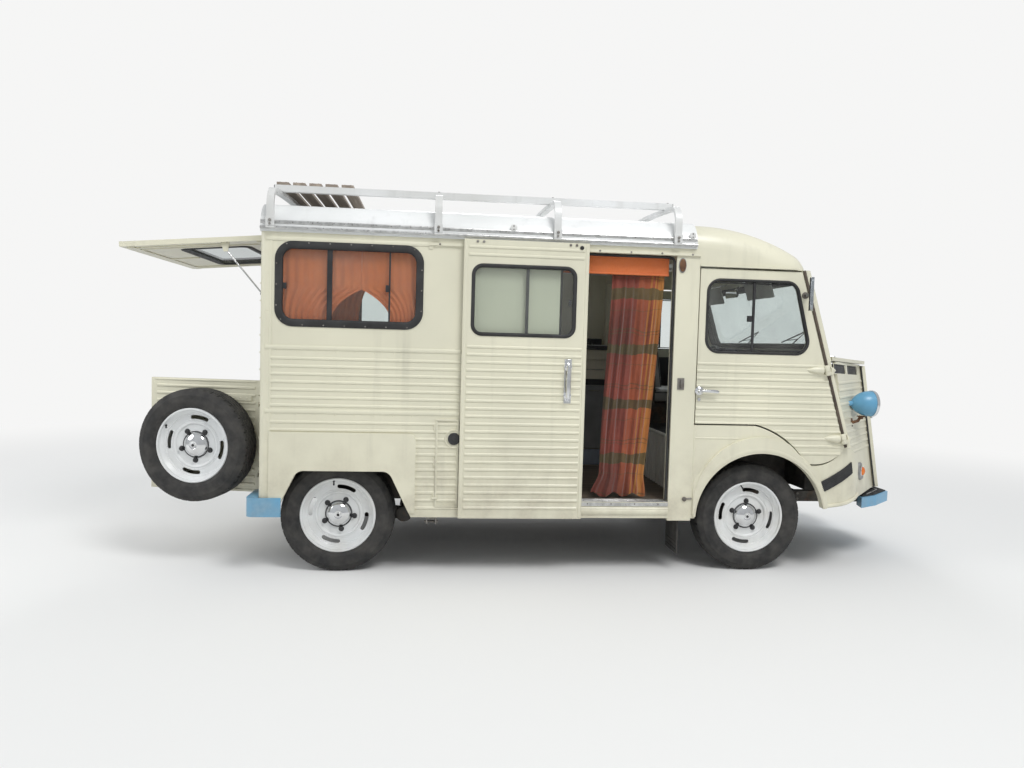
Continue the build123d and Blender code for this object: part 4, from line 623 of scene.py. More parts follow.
hooks = [turned([(0, 0.008), (0.005, 0.008), (0.006, 0.006), (0.006, 0)], (x + step, -door_face, 1.962),
    kerb_out, 6) for x in (door_low.x + 0.095, door_high.x - 0.095) for step in (-0.018, 0.018)]
hooks.append(block((door_high.x - 0.10, -0.986, 0.340), (door_high.x - 0.05, -0.974, 0.372)))
fitted("sliding_door_hooks", hooks, jack_steel, "sliding_door", bevel=0.0008)

# Cab doors
# Ribbed doors that shut against a sloping line and hinge at the front on two pins under
# streamlined covers. Each has a slanted window with a sliding half and a chrome lever handle.
dress(cream_enamel, "cab_door_right", "cab_door_left", "windscreen_frame")
cab_glass_low, cab_glass_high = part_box("cab_glass_right")
front_axle_x = (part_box("rim_front_right")[0].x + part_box("rim_front_right")[1].x) / 2
cab_pane = corner_loop([(cab_glass_low.x, cab_glass_low.z), (front_axle_x + 0.316, cab_glass_low.z),
    (front_axle_x + 0.206, cab_glass_high.z), (cab_glass_low.x, cab_glass_high.z)], 0.076)
shut_slope = 0.3007


def door_line(z):
    """X of the sloping shut line of the cab doors."""
    return front_axle_x + 0.588 - shut_slope * (z - 0.708)


lever_z = 1.126
narrow = [(-0.007, -0.016), (-0.007, 0.001), (-0.004, 0.005), (0.001, 0.006), (0.006, 0.005),
    (0.009, 0.002), (0.0095, -0.001)]
cab_slide_table = [
    # low x, high x, half depth, low z, high z
    (1.244, 1.258, 0.007, 1.375, 1.790),
    (1.215, 1.240, 0.011, 1.552, 1.588),
    (0.970, 1.585, 0.006, 1.376, 1.383),
    (0.970, 1.500, 0.006, 1.779, 1.786),
]
rose_profile = [(0, 0.027), (0.004, 0.027), (0.009, 0.022), (0.011, 0.015), (0.030, 0.013), (0.034, 0.009),
    (0.035, 0.0)]
lever_stations = [
    # x, half depth, half height, drop
    (0.918, 0.006, 0.009, 0),
    (0.955, 0.006, 0.009, 0.001),
    (1.000, 0.005, 0.0105, 0.0),
    (1.030, 0.005, 0.0105, -0.003),
    (1.040, 0.003, 0.006, -0.004),
]
for side, name in ((-1, "right"), (1, "left")):
    door = f"cab_door_{name}"
    fitted(f"{door}_rubber", [ring(cab_pane, narrow, on_side(side, body_half))], rubber, door, soft_deg=50)
    fitted(f"{door}_slider", slides(side, cab_slide_table), black_plastic, door, bevel=0.0015)
    rose = turned(rose_profile, (0.925, side * (body_half + 0.004), lever_z), (0, side, 0), 24)
    lever = drawn([[(x, side * (body_half + 0.030 + deep * math.sin(turn)),
        lever_z + drop + tall * math.cos(turn)) for turn in [math.pi * index / 6 for index in range(12)]]
        for x, deep, tall, drop in lever_stations])
    fitted(f"{door}_lever", [rose, lever], chrome, door, slot="rod_chrome")
    lock = turned([(0, 0.010), (0.004, 0.010), (0.0045, 0.004), (0.003, 0.0)],
        (0.925, side * (body_half + 0.004), lever_z - 0.052), (0, side, 0), 16)
    fitted(f"{door}_lock", [lock], chrome, door, slot="rod_chrome")
    lining = block((0.96, side * (body_half - 0.052), 0.95), (1.60, side * (body_half - 0.037), 1.30))
    fitted(f"{door}_lining", [lining], black_plastic, door, bevel=0.006, slot="dash_plastic")

# Cab door hinges
# Each door swings on two knuckles that lean with the shut line. A streamlined cover tapers back
# over the door leaf, and a short fairing stands in front of the ear on the windscreen post.
hinge_lean = math.atan(shut_slope)
pin_y = body_half + 0.020
hinge_up = Vector((-math.sin(hinge_lean), 0, math.cos(hinge_lean)))
cover_stations = [(-0.120, 0.006, 0.004), (-0.105, 0.020, 0.012), (-0.080, 0.036, 0.022),
    (-0.050, 0.047, 0.029), (-0.024, 0.050, 0.031), (-0.0225, 0.046, 0.027)]
fairing_stations = [(0.021, 0.046, 0.028), (0.0225, 0.050, 0.031), (0.034, 0.044, 0.028),
    (0.046, 0.032, 0.020), (0.056, 0.018, 0.011), (0.064, 0.004, 0.003)]
upper_knuckle = [(0.0262, 0.0), (0.0262, 0.0175), (0.055, 0.0175), (0.0605, 0.014), (0.0625, 0.006),
    (0.0625, 0.0)]
lower_knuckle = [(-0.003, 0.0), (-0.003, 0.006), (-0.001, 0.014), (0.004, 0.0175), (0.0245, 0.0175),
    (0.0245, 0.0)]


def taper(side, z, stations):
    """Streamlined cover on the door side: stations are (x from the pin, height, depth)."""
    rings = []
    for reach, tall, deep in stations:
        level = z + 0.029
        x = door_line(level) + reach
        rings.append([(x, side * (body_half - 0.002 + deep * max(0.0, math.cos(turn)) ** 0.7),
            level + 0.5 * tall * math.sin(turn)) for turn in [math.pi * (index / 12 - 0.5)
            for index in range(13)]])
    return drawn(rings)


for side, name in ((-1, "right"), (1, "left")):
    door_covers, post_covers = [], []
    for z in (0.819, 1.240):
        foot = Vector((door_line(z), side * pin_y, z))
        door_covers += [taper(side, z, cover_stations), turned(upper_knuckle, foot, hinge_up, 24)]
        post_covers += [turned(lower_knuckle, foot, hinge_up, 24), taper(side, z, fairing_stations)]
    fitted(f"hinge_covers_{name}", door_covers, cream_enamel, f"cab_door_{name}", slot="body_paint")
    fitted(f"hinge_fairings_{name}", post_covers, cream_enamel, slot="body_paint")

# Windscreen
# One flat pane in a thick rubber, in a frame that leans back between two posts. A brown rubber
# strip seals each door against its post, and two wipers are parked low on the glass.
aged_rubber = plain_finish("aged_rubber", (0.115, 0.088, 0.066), (0.060, 0.046, 0.036), (0.6, 0.85), 12.0,
    0.0006, 120.0)
screen_out = Vector((0.957, 0, 0.288))


def on_screen(y, z, proud):
    """Place on the outer face of the windscreen frame."""
    return Vector((door_line(z) + 0.062 + proud, y, z))


screen_loop = upright((-0.868, 1.412), (0.868, 1.822), 0.08)
screen_section = [(-0.020, -0.026), (-0.019, 0.002), (-0.012, 0.008), (0.002, 0.010), (0.014, 0.007),
    (0.020, 0.002), (0.0205, -0.002)]
inner_section = [(0.016, -0.066), (0.0, -0.070), (-0.014, -0.062), (-0.016, -0.028), (0.002, -0.028)]
fitted("windscreen_rubber", [ring(screen_loop, screen_section, on_screen)], rubber, soft_deg=50)
fitted("windscreen_inner_rubber", [ring(screen_loop, inner_section, on_screen)], rubber, soft_deg=50)
seals = [half_round((door_line(0.795) + 0.012, side * body_half, 0.795),
    (door_line(1.872) + 0.012, side * body_half, 1.872), (0, side, 0), 0.017, 0.0065) for side in (-1, 1)]
fitted("door_seals", seals, aged_rubber)

wipers, spindles = [], []
for pivot_y in (0.46, -0.28):
    pivot = on_screen(pivot_y, 1.388, 0.0)
    spindles.append(turned([(0, 0.017), (0.008, 0.016), (0.012, 0.010), (0.034, 0.009), (0.036, 0.0)],
        pivot, screen_out, 18))
    knee = on_screen(pivot_y - 0.06, 1.400, 0.030)
    tip = on_screen(pivot_y - 0.27, 1.462, 0.012)
    wipers.append(tube([pivot + screen_out * 0.030, knee, tip], 0.0045))
    blade = [on_screen(pivot_y - 0.07 - 0.40 * step / 8, 1.440 + 0.075 * (step / 8), -0.010)
        for step in range(9)]
    wipers.append(tube(blade, 0.0045, 6))
    wipers += [rod(blade[step], blade[step] + screen_out * 0.016, 0.003, 6) for step in (1, 4, 7)]
    wipers.append(tube([blade[1] + screen_out * 0.016, tip, blade[7] + screen_out * 0.016], 0.003, 6))
fitted("wipers", wipers, black_plastic, soft_deg=50)
fitted("wiper_spindles", spindles, chrome, slot="rod_chrome")

# Door mirrors
# A pressed head with a bright back, a silvered glass towards the driver, and a steel arm that is
# clamped to the door's top corner by a foot with two screws.
mirror_shell = plain_finish("mirror_shell", (0.42, 0.45, 0.47), (0.22, 0.24, 0.26), (0.18, 0.34), 20.0,
    0.0002, 260.0, 0.85)
dress(mirror_shell, "mirror_right", "mirror_left")
silvered = plain_finish("silvered_glass", (0.86, 0.88, 0.88), (0.74, 0.76, 0.76), (0.02, 0.06), 30.0, 0.0,
    1.0, 1.0)
mirror_turn = math.radians(63)
mirror_loop = upright((-0.054, -0.093), (0.054, 0.093), 0.032)
for side, name in ((-1, "right"), (1, "left")):
    middle = Vector((front_axle_x + 0.238, side * (body_half + 0.128), 1.722))
    facing = Vector((-math.sin(mirror_turn), -side * math.cos(mirror_turn), 0))
    across = Vector((facing.y, -facing.x, 0))
    flat = [[middle + across * point.x + Vector((0, 0, point.y)) + facing * proud for point,
        out in mirror_loop] for proud in (0.0105, 0.0125)]
    fitted(f"mirror_glass_{name}", [drawn(flat)], silvered, f"cab_door_{name}", soft_deg=30)
    bead = ring(mirror_loop, [(-0.003, 0.011), (-0.001, 0.0145), (0.003, 0.0145), (0.0055, 0.010)],
        lambda u, v, proud: middle + across * u + Vector((0, 0, v)) + facing * proud)
    fitted(f"mirror_bead_{name}", [bead], rubber, f"cab_door_{name}", soft_deg=50)
    foot = Vector((front_axle_x + 0.262, side * (body_half + 0.001), 1.722))
    clamp = [turned([(0, 0.021), (0.005, 0.020), (0.008, 0.011), (0.022, 0.010)], foot, (0, side, 0), 20)]
    clamp += [rivet(foot + Vector((0, side * 0.005, lift)), (0, side, 0), 0.0035)
        for lift in (-0.014, 0.014)]
    fitted(f"mirror_foot_{name}", clamp, jack_steel, f"cab_door_{name}", slot="under_steel")

# Nose
# Ribbed side panels that close in to the grille, each with two wide air vents under the bonnet,
# a grey lamp base with an amber dome low down, and wings with a rolled edge and a rubber step.
dress(cream_enamel, "nose_sides", "front_wings", "grille", "bonnet")
nose_foot_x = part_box("grille")[1].x - 0.036
nose_foot_z = 0.447
nose_lean = 0.1725
nose_root = Vector((front_axle_x + 0.6066, body_half + 0.005, nose_foot_z))
nose_way = (Vector((nose_foot_x, 0.400, nose_foot_z)) - nose_root).normalized()
nose_out = Vector((-nose_way.y, nose_way.x, 0))


def on_nose(side, reach, z, proud):
    """Place on a nose side: reach from its rear edge, height, and distance off its skin."""
    point = nose_root + nose_way * reach + nose_out * (proud - 0.005)
    point = point + Vector((-nose_lean * (z - nose_foot_z), 0, z - nose_foot_z))
    return Vector((point.x, side * point.y, point.z))


vent_fall = 0.0337
vent_section = [(-0.001, -0.004), (0.0, 0.001), (0.001, 0.002), (0.004, 0.002), (0.005, 0.001),
    (0.005, 0.0)]
slat_section = [(-0.003, 0.0), (-0.003, -0.002), (0.004, -0.005), (0.005, -0.004)]
# Painted shade: a black sheet behind the slats stands for the dark space behind each vent.
vent_shade_section = [(-0.030, -0.003), (-0.030, -0.006), (0.030, -0.006), (0.030, -0.003)]
for side, name in ((-1, "right"), (1, "left")):
    def vent_bar(reach, half, level, section):
        """Bar across a vent that falls with it towards the front; section holds (lift, depth)."""
        return drawn([[on_nose(side, place, level - (place - reach) * vent_fall + lift, deep) for lift,
            deep in section] for place in (reach - half, reach + half)])

    frames, mesh_bars = [], []
    for reach, z in ((0.187, 1.2757), (0.527, 1.2642)):
        corners = [(reach + along * 0.150, z + up * 0.029 - along * 0.150 * vent_fall) for along,
            up in ((-1, -1), (1, -1), (1, 1), (-1, 1))]
        frames.append(ring(corner_loop(corners, 0.008, 4), vent_section, lambda u, v,
            proud: on_nose(side, u, v, proud)))
        mesh_bars += [vent_bar(reach, 0.149, z - 0.024 + 0.012 * step, slat_section) for step in range(5)]
        mesh_bars.append(vent_bar(reach, 0.151, z, vent_shade_section))
    fitted(f"vent_frames_{name}", frames, cream_enamel, slot="body_paint")
    fitted(f"vent_slats_{name}", mesh_bars, black_plastic)

trim_high_x = nose_foot_x - nose_lean * (1.290 - nose_foot_z)
trims = [half_round((nose_foot_x + 0.004, side * 0.409, nose_foot_z + 0.004),
    (trim_high_x + 0.004, side * 0.409, 1.290), (0.35, side * 0.94, 0), 0.014, 0.005) for side in (-1, 1)]
fitted("grille_trims", trims, rubber)

lamp_base = plain_finish("grey_lamp_base", (0.30, 0.30, 0.30), (0.18, 0.18, 0.18), (0.4, 0.6), 20.0, 0.0003,
    220.0)
amber = plain_finish("amber_glass", (0.85, 0.24, 0.03), (0.60, 0.12, 0.015), (0.10, 0.25), 20.0)
base_loop = upright((0.345, 0.545), (0.445, 0.655), 0.018, 5)
dome_profile = [(0, 0.031), (0.006, 0.030), (0.013, 0.026), (0.019, 0.018), (0.022, 0.009), (0.023, 0.0)]
for side, name in ((-1, "right"), (1, "left")):
    base = drawn([[on_nose(side, point.x - out.x * shrink, point.y - out.y * shrink, proud) for point,
        out in base_loop] for shrink, proud in ((0.0, -0.002), (0.0, 0.012), (0.004, 0.018))])
    fitted(f"indicator_base_{name}", [base], lamp_base)
    dome_foot = on_nose(side, 0.405, 0.600, 0.017)
    dome_out = on_nose(side, 0.405, 0.600, 0.030) - dome_foot
    fitted(f"indicator_dome_{name}", [turned(dome_profile, dome_foot, dome_out, 24)], amber,
        slot="lamp_glass")
    collar = turned([(0, 0.036), (0.004, 0.036), (0.007, 0.032), (0.007, 0.029)], dome_foot, dome_out, 24)
    fitted(f"indicator_collar_{name}", [collar], chrome, slot="rod_chrome")


def wing_point(side, x, z, proud):
    """Place on the front wing, which runs straight and then turns in to the nose."""
    start = Vector((front_axle_x + 0.433, body_half, 0))
    middle = Vector((front_axle_x + 0.638, body_half - 0.058, 0))
    end = Vector((front_axle_x + 0.783, body_half - 0.205, 0))
    chord, rise = middle - start, end - start
    twice = 2 * (chord.x * rise.y - chord.y * rise.x)
    chord_sq, rise_sq = chord.length_squared, rise.length_squared
    centre = start + Vector(((rise.y * chord_sq - chord.y * rise_sq) / twice,
        (chord.x * rise_sq - rise.x * chord_sq) / twice, 0))
    radius = (start - centre).length
    if x <= start.x:
        return Vector((x, side * (body_half + proud), z))
    y = centre.y + math.sqrt(max(0.0, radius ** 2 - (x - centre.x) ** 2))
    out = (Vector((x, y, 0)) - centre) / radius
    return Vector((x + out.x * proud, side * (y + out.y * proud), z))


pad_corners = [Vector(corner) for corner in ((1.724, 0.502), (1.974, 0.622), (1.957, 0.694),
    (1.694, 0.561))]
pad_steps = 10
pads, pad_ribs, wing_rolls = [], [], []
for side in (-1, 1):
    stations = []
    for step in range(pad_steps + 1):
        low = pad_corners[0].lerp(pad_corners[1], step / pad_steps)
        high = pad_corners[3].lerp(pad_corners[2], step / pad_steps)
        stations.append([wing_point(side, *spot, proud) for spot, proud in ((low, 0.0), (low, 0.007),
            (high, 0.007), (high, 0.0))])
    pads.append(drawn(stations))
    for row in range(5):
        path = [station[1].lerp(station[2], 0.14 + 0.18 * row) for station in stations]
        path[0] = path[0].lerp(path[1], 0.3)
        path[-1] = path[-1].lerp(path[-2], 0.3)
        pad_ribs.append(tube(path, 0.0032, 6))
    roll = []
    for step in range(13):
        share = step / 12
        z = 0.424 + 0.020 * share + 0.055 * max(0.0, share - 0.45) ** 1.5
        roll.append(wing_point(side, 1.752 + share * 0.318, z, 0.001))
    wing_rolls.append(tube(roll, 0.012, 12))
fitted("wing_pads", pads, rubber, bevel=0.002)
fitted("wing_pad_ribs", pad_ribs, rubber, soft_deg=60)
fitted("wing_rolls", wing_rolls, cream_enamel, soft_deg=60, slot="body_paint")
arch_x, arch_z = front_axle_x + 0.033, 0.338
arch_radius = 0.414
flare_section = [(0.0, -0.002), (0.0, 0.013), (0.007, 0.018), (0.026, 0.017), (0.048, 0.012),
    (0.066, 0.005), (0.074, -0.002)]
flares, wing_seams = [], []
for side in (-1, 1):
    stations = []
    for step in range(41):
        angle = 175.5 - 4.14 * step
        turn = math.radians(angle)
        wide = 1 - 0.42 * min(max((85 - angle) / 60, 0.0), 1.0)
        station = []
        for outwards, proud in flare_section:
            radius = arch_radius + outwards * wide
            x = max(arch_x + radius * math.cos(turn), pillar_front_x + 0.008)
            station.append(wing_point(side, x, arch_z + radius * math.sin(turn), proud))
        stations.append(station)
    flares.append(drawn(stations))
    wing_seams.append(half_round((pillar_front_x + 0.004, side * body_half, 0.838),
        (front_axle_x - 0.12, side * body_half, 0.838), (0, side, 0), 0.010, 0.003))
    wing_seams.append(half_round((pillar_front_x + 0.006, side * body_half, 0.37),
        (pillar_front_x + 0.006, side * body_half, 0.915), (0, side, 0), 0.010, 0.003))
fitted("wing_flares", flares, cream_enamel, soft_deg=50, slot="body_paint")
fitted("wing_seams", wing_seams, cream_enamel, slot="body_paint")

# Bonnet fittings
# A pull handle at the bonnet's front edge, beads along its sides and four ribs on top, pressed
# from the same steel sheet.
bonnet_low, bonnet_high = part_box("bonnet")
front_top_z = 1.325
handle_x = bonnet_high.x - 0.030
bonnet_pull = [block((handle_x - 0.004, low_y, front_top_z), (handle_x + 0.010, low_y + 0.012,
    front_top_z + 0.020)) for low_y in (-0.052, 0.040)]
bonnet_pull.append(rod((handle_x + 0.003, -0.056, front_top_z + 0.022),
    (handle_x + 0.003, 0.056, front_top_z + 0.022), 0.0075, 16))
fitted("bonnet_pull", bonnet_pull, chrome, "bonnet", bevel=0.002, slot="rod_chrome")
edge_beads = [half_round((bonnet_low.x + 0.03, side * 0.920, 1.3495),
    (bonnet_high.x - 0.055, side * 0.432, 1.3250), (0, 0, 1), 0.012, 0.003) for side in (-1, 1)]
fitted("bonnet_edge_beads", edge_beads, cream_enamel, "bonnet", slot="body_paint")
bonnet_ribs = [half_round((bonnet_low.x + 0.06, y, 1.3485), (bonnet_high.x - 0.09, y, 1.3290), (0, 0, 1),
    0.030, 0.004) for y in (-0.30, -0.10, 0.10, 0.30)]
fitted("bonnet_ribs", bonnet_ribs, cream_enamel, "bonnet", slot="body_paint")

# Headlamps
# Round spun shells in light blue on a small bracket that has started to rust. A chrome ring holds
# a fluted glass.
blue_enamel = enamel("blue_enamel", (0.125, 0.385, 0.620), (0.110, 0.315, 0.490), 0.35)
dress(blue_enamel, "headlamps", "bumpers")
lens_front_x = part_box("lamp_lenses")[1].x
lens_depth = 0.014
lamp_y, lamp_z = 0.728, 1.052
bracket_reach, bracket_z = 0.338, 0.925
fluted = plain_finish("fluted_glass", (0.78, 0.80, 0.80), (0.55, 0.57, 0.58), (0.04, 0.12), 90.0, 0.0012,
    150.0, 0.35, (1, 1, 0.05))
rusty = plain_finish("rusty_steel", (0.23, 0.115, 0.055), (0.10, 0.052, 0.030), (0.7, 0.9), 24.0, 0.0012,
    130.0, 0.2)
lens_profile = [(0, 0.0775), (0.004, 0.076), (0.008, 0.062), (0.0115, 0.040), (0.0135, 0.018), (0.014, 0.0)]
rim_profile = [(-0.012, 0.0835), (-0.012, 0.0865), (0.000, 0.0875), (0.007, 0.0855), (0.010, 0.081),
    (0.008, 0.0765), (0.001, 0.0765)]
head_glasses, head_rings, brackets, bracket_bolts = [], [], [], []
for side in (-1, 1):
    middle = Vector((lens_front_x - lens_depth, side * lamp_y, lamp_z))
    head_glasses.append(turned(lens_profile, middle, (1, 0, 0), 40))
    head_rings.append(turned(rim_profile, middle, (1, 0, 0), 40))
    head_rings.append(block((middle.x - 0.004, side * lamp_y - 0.006, lamp_z - 0.094),
        (middle.x + 0.006, side * lamp_y + 0.006, lamp_z - 0.084)))
    foot = on_nose(side, bracket_reach, bracket_z, 0.004)
    top = Vector((lens_front_x - 0.085, side * lamp_y, lamp_z - 0.081))
    brackets.append(tube([foot, foot.lerp(top, 0.5) + Vector((0.012, 0, -0.010)), top], 0.010, 12))
    brackets.append(turned([(0, 0.026), (0.005, 0.025), (0.008, 0.016), (0.020, 0.013)], top, (0, 0, -1),
        20))
    plate_out = on_nose(side, bracket_reach, bracket_z, 0.010) - on_nose(side, bracket_reach, bracket_z,
        0.0)
    brackets.append(turned([(0, 0.030), (0.006, 0.029), (0.006, 0.010)],
        on_nose(side, bracket_reach, bracket_z, -0.001), plate_out, 20))
    for turn in (math.radians(20), math.radians(140), math.radians(260)):
        place = on_nose(side, bracket_reach + 0.021 * math.cos(turn), bracket_z + 0.021 * math.sin(turn),
            0.005)
        bracket_bolts.append(turned([(0, 0.0055), (0.004, 0.0055), (0.0045, 0.003), (0.0045, 0)], place,
            plate_out, 6))
headlamp_glasses = fitted("headlamp_glasses", head_glasses, fluted, slot="lamp_glass")
fitted("headlamp_rings", head_rings, chrome, soft_deg=40, slot="rod_chrome")
fitted("headlamp_brackets", brackets, rusty, soft_deg=45)
fitted("headlamp_bolts", bracket_bolts, jack_steel)

# Bumpers
# Folded steel bumpers in the same blue. The front ones carry a ribbed black rubber tread with a
# pale line on top, and all are bolted to brackets off the chassis.
bumper_low, bumper_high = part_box("bumpers")
bumper_top_z = 0.418
tread_front = [(bumper_high.x - 0.010, 0.104), (bumper_high.x - 0.012, 0.412),
    (bumper_high.x - 0.194, 0.575)]
tread_tip = (bumper_high.x - 0.318, 0.640)
tread_back = [(bumper_high.x - 0.130, 0.104), (bumper_high.x - 0.132, 0.392),
    (bumper_high.x - 0.305, 0.572)]
tread_outline = tread_front + [tread_tip] + tread_back[::-1]
treads, tread_ribs, tread_lines, bumper_bolts = [], [], [], []
for side in (-1, 1):
    def tread_line(share, lift):
        """Line along a bumper's tread at a share of its depth."""
        return [(front[0] + share * (back[0] - front[0]), side * (front[1] + share * (back[1] - front[1])),
            bumper_top_z + lift) for front, back in zip(tread_front, tread_back)]

    treads.append(drawn([[(x, side * y, bumper_top_z + lift) for x, y in tread_outline]
        for lift in (0.0, 0.006)]))
    tread_ribs += [tube(tread_line(share, 0.006), 0.0035, 6) for share in (0.12, 0.24, 0.36, 0.62, 0.74,
        0.86)]
    tread_lines.append(tube(tread_line(0.49, 0.0065), 0.0042, 8))
    bumper_bolts += [rivet((bumper_high.x - 0.001, side * y, 0.384), (1, 0, 0), 0.010, 0.006)
        for y in (0.16, 0.34)]
    bumper_bolts += [rivet((bumper_low.x, side * y, 0.400), (-1, 0, 0), 0.010, 0.006) for y in (0.80, 0.92)]
fitted("bumper_treads", treads, rubber, bevel=0.0015)
fitted("bumper_tread_ribs", tread_ribs, rubber, soft_deg=60)
fitted("bumper_tread_lines", tread_lines, aluminium, soft_deg=60)
fitted("bumper_bolts", bumper_bolts, chrome, slot="rod_chrome")

# Tail lamps
# A red glass with an amber field on top, in a chrome bezel on a rubber gasket, screwed to each
# rear post. The headlamp and tail lamp glasses here stand in for the plain CAD ones.
red_glass = plain_finish("red_glass", (0.42, 0.012, 0.010), (0.24, 0.006, 0.006), (0.08, 0.2), 22.0, 0.0006,
    210.0)
tail_y, tail_z = 0.832, 0.640


def pillow(loop, place, stations):
    """Closed form over a loop; stations are (inset, proud), from the foot to the crown."""
    return drawn([[place(*(point - out * inset), proud) for point, out in loop] for inset,
        proud in stations])


tail_whole = upright((tail_y - 0.043, tail_z - 0.073), (tail_y + 0.043, tail_z + 0.073), 0.014, 5)
tail_low = upright((tail_y - 0.039, tail_z - 0.069), (tail_y + 0.039, tail_z + 0.020), 0.008, 4)
tail_high = upright((tail_y - 0.039, tail_z + 0.022), (tail_y + 0.039, tail_z + 0.069), 0.008, 4)
domed = [(0.0, 0.003), (0.0, 0.010), (0.003, 0.014), (0.009, 0.0165), (0.018, 0.018)]
bezel = [(-0.005, 0.003), (-0.004, 0.012), (-0.001, 0.013), (0.002, 0.010), (0.002, 0.003)]
tail_reds, tail_ambers, tail_rings, tail_gaskets, tail_screws = [], [], [], [], []
for side in (-1, 1):
    def on_tail(y, z, proud):
        """Place on the rear face of the body."""
        return Vector((body_rear_x - proud, side * y, z))

    tail_reds.append(pillow(tail_low, on_tail, domed))
    tail_ambers.append(pillow(tail_high, on_tail, domed))
    tail_rings.append(ring(tail_whole, bezel, on_tail))
    tail_gaskets.append(pillow(tail_whole, on_tail, [(-0.004, 0.0), (-0.004, 0.003), (0.0, 0.004)]))
    tail_screws += [rivet(on_tail(tail_y, tail_z + lift, 0.018), (-1, 0, 0), 0.004, 0.002)
        for lift in (-0.060, 0.060)]
fitted("tail_lamp_reds", tail_reds, red_glass, soft_deg=40, slot="lamp_glass")
fitted("tail_lamp_ambers", tail_ambers, amber, soft_deg=40, slot="lamp_glass")
fitted("tail_lamp_rings", tail_rings, chrome, soft_deg=40, slot="rod_chrome")
fitted("tail_lamp_gaskets", tail_gaskets, rubber)
fitted("tail_lamp_screws", tail_screws, jack_steel)
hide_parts("lamp_lenses")

# Rear frame
# Drip strip over the hatch, a hollow rubber seal on the flange of the opening, and a row of
# rivets down each post.
opening_half = body_half - 0.278
rear_out = (-1, 0, 0)
seal_loop = upright((-opening_half - 0.006, 0.434), (opening_half + 0.006, 1.944), 0.03, 6)
seal_section = [(-0.002, 0.0), (-0.002, 0.003), (0.003, 0.0046), (0.009, 0.003), (0.009, 0.0)]
rear_seal = ring(seal_loop, seal_section, lambda y, z, proud: Vector((body_rear_x - proud, y, z)))
fitted("rear_seal", [rear_seal], rubber, soft_deg=60)
drip_strip = half_round((body_rear_x - 0.001, -0.80, 1.985), (body_rear_x - 0.001, 0.80, 1.985), rear_out,
    0.016, 0.008)
fitted("rear_drip_strip", [drip_strip], cream_enamel, slot="body_paint")
post_rivets = [rivet((body_rear_x, side * 0.955, 0.80 + 0.098 * index), rear_out, 0.004)
    for side in (-1, 1) for index in range(12)]
fitted("rear_rivets", post_rivets, cream_enamel, slot="body_paint")

# Hatch
# A ribbed lid over the rear opening, held up by two struts. It has a rubber-set pane, a folded
# inner frame that stiffens it, and a black turning handle at its lower edge.
dress(cream_enamel, "hatch", "rear_door_right", "rear_door_left")
hatch_hinge = Vector((body_rear_x - 0.018, 0, 1.966))
hatch_swing = Matrix.Rotation(math.radians(85), 3, "Y")
hatch_out_x = body_rear_x - 0.038
hatch_in_x = body_rear_x - 0.008


def on_hatch(y, z, proud):
    """Place off the outer face of the hatch, given where it sits when the hatch is shut."""
    return hatch_hinge + hatch_swing @ (Vector((hatch_out_x - proud, y, z)) - hatch_hinge)


def swing_shapes(shapes, hinge, turn):
    """Shapes made in the shut place and turned to where they rest."""
    return [([hinge + turn @ (Vector(point) - hinge) for point in points], faces) for points,
        faces in shapes]


def on_hatch_fitted(name, shapes, finish, **look):
    """A piece of the hatch, from shapes made where they sit when it is shut."""
    fitted(name, swing_shapes(shapes, hatch_hinge, hatch_swing), finish, "hatch", **look)


hatch_pane = upright((-0.480, 1.400), (0.480, 1.800), 0.060)
fitted("hatch_rubber", [ring(hatch_pane, flanged, on_hatch)], rubber, "hatch", soft_deg=50)
inside_section = [(-0.018, -0.022), (-0.018, -0.033), (-0.008, -0.037), (0.012, -0.035), (0.018, -0.030),
    (0.018, -0.028)]
fitted("hatch_inner_rubber", [ring(hatch_pane, inside_section, on_hatch)], rubber, "hatch", soft_deg=50)
hatch_frame_table = [
    # low y, high y, low z, high z
    (-0.672, 0.672, 1.150, 1.192),
    (-0.672, -0.300, 1.898, 1.925),
    (0.300, 0.672, 1.898, 1.925),
    (-0.240, 0.240, 1.898, 1.925),
    (-0.640, -0.606, 1.192, 1.680),
    (0.606, 0.640, 1.192, 1.680),
    (-0.560, -0.535, 1.192, 1.898),
    (0.535, 0.560, 1.192, 1.898),
    (-0.014, 0.014, 1.192, 1.372),
]
frame_bars = [block((hatch_in_x - 0.001, low_y, low_z), (hatch_in_x + 0.006, high_y, high_z)) for low_y,
    high_y, low_z, high_z in hatch_frame_table]
on_hatch_fitted("hatch_inner_frame", frame_bars, cream_enamel, bevel=0.0025, slot="body_paint")
handle = [turned([(0, 0.030), (0.005, 0.029), (0.009, 0.020), (0.026, 0.014)],
    (hatch_out_x - 0.004, 0, 1.148), rear_out, 24), block((hatch_out_x - 0.044, -0.058, 1.137),
    (hatch_out_x - 0.026, 0.058, 1.159))]
on_hatch_fitted("hatch_handle", handle, black_plastic, bevel=0.005)
edge_trim = half_round((hatch_out_x + 0.004, -0.690, 1.127), (hatch_out_x + 0.004, 0.690, 1.127), rear_out,
    0.014, 0.008)
on_hatch_fitted("hatch_edge_trim", [edge_trim], cream_enamel, slot="body_paint")
lug_bolts = [rivet((hatch_in_x + 0.0005, side * 0.7015, 1.716 + lift), (1, 0, 0), 0.0035)
    for side in (-1, 1) for lift in (-0.016, 0.016)]
on_hatch_fitted("hatch_lug_bolts", lug_bolts, jack_steel)

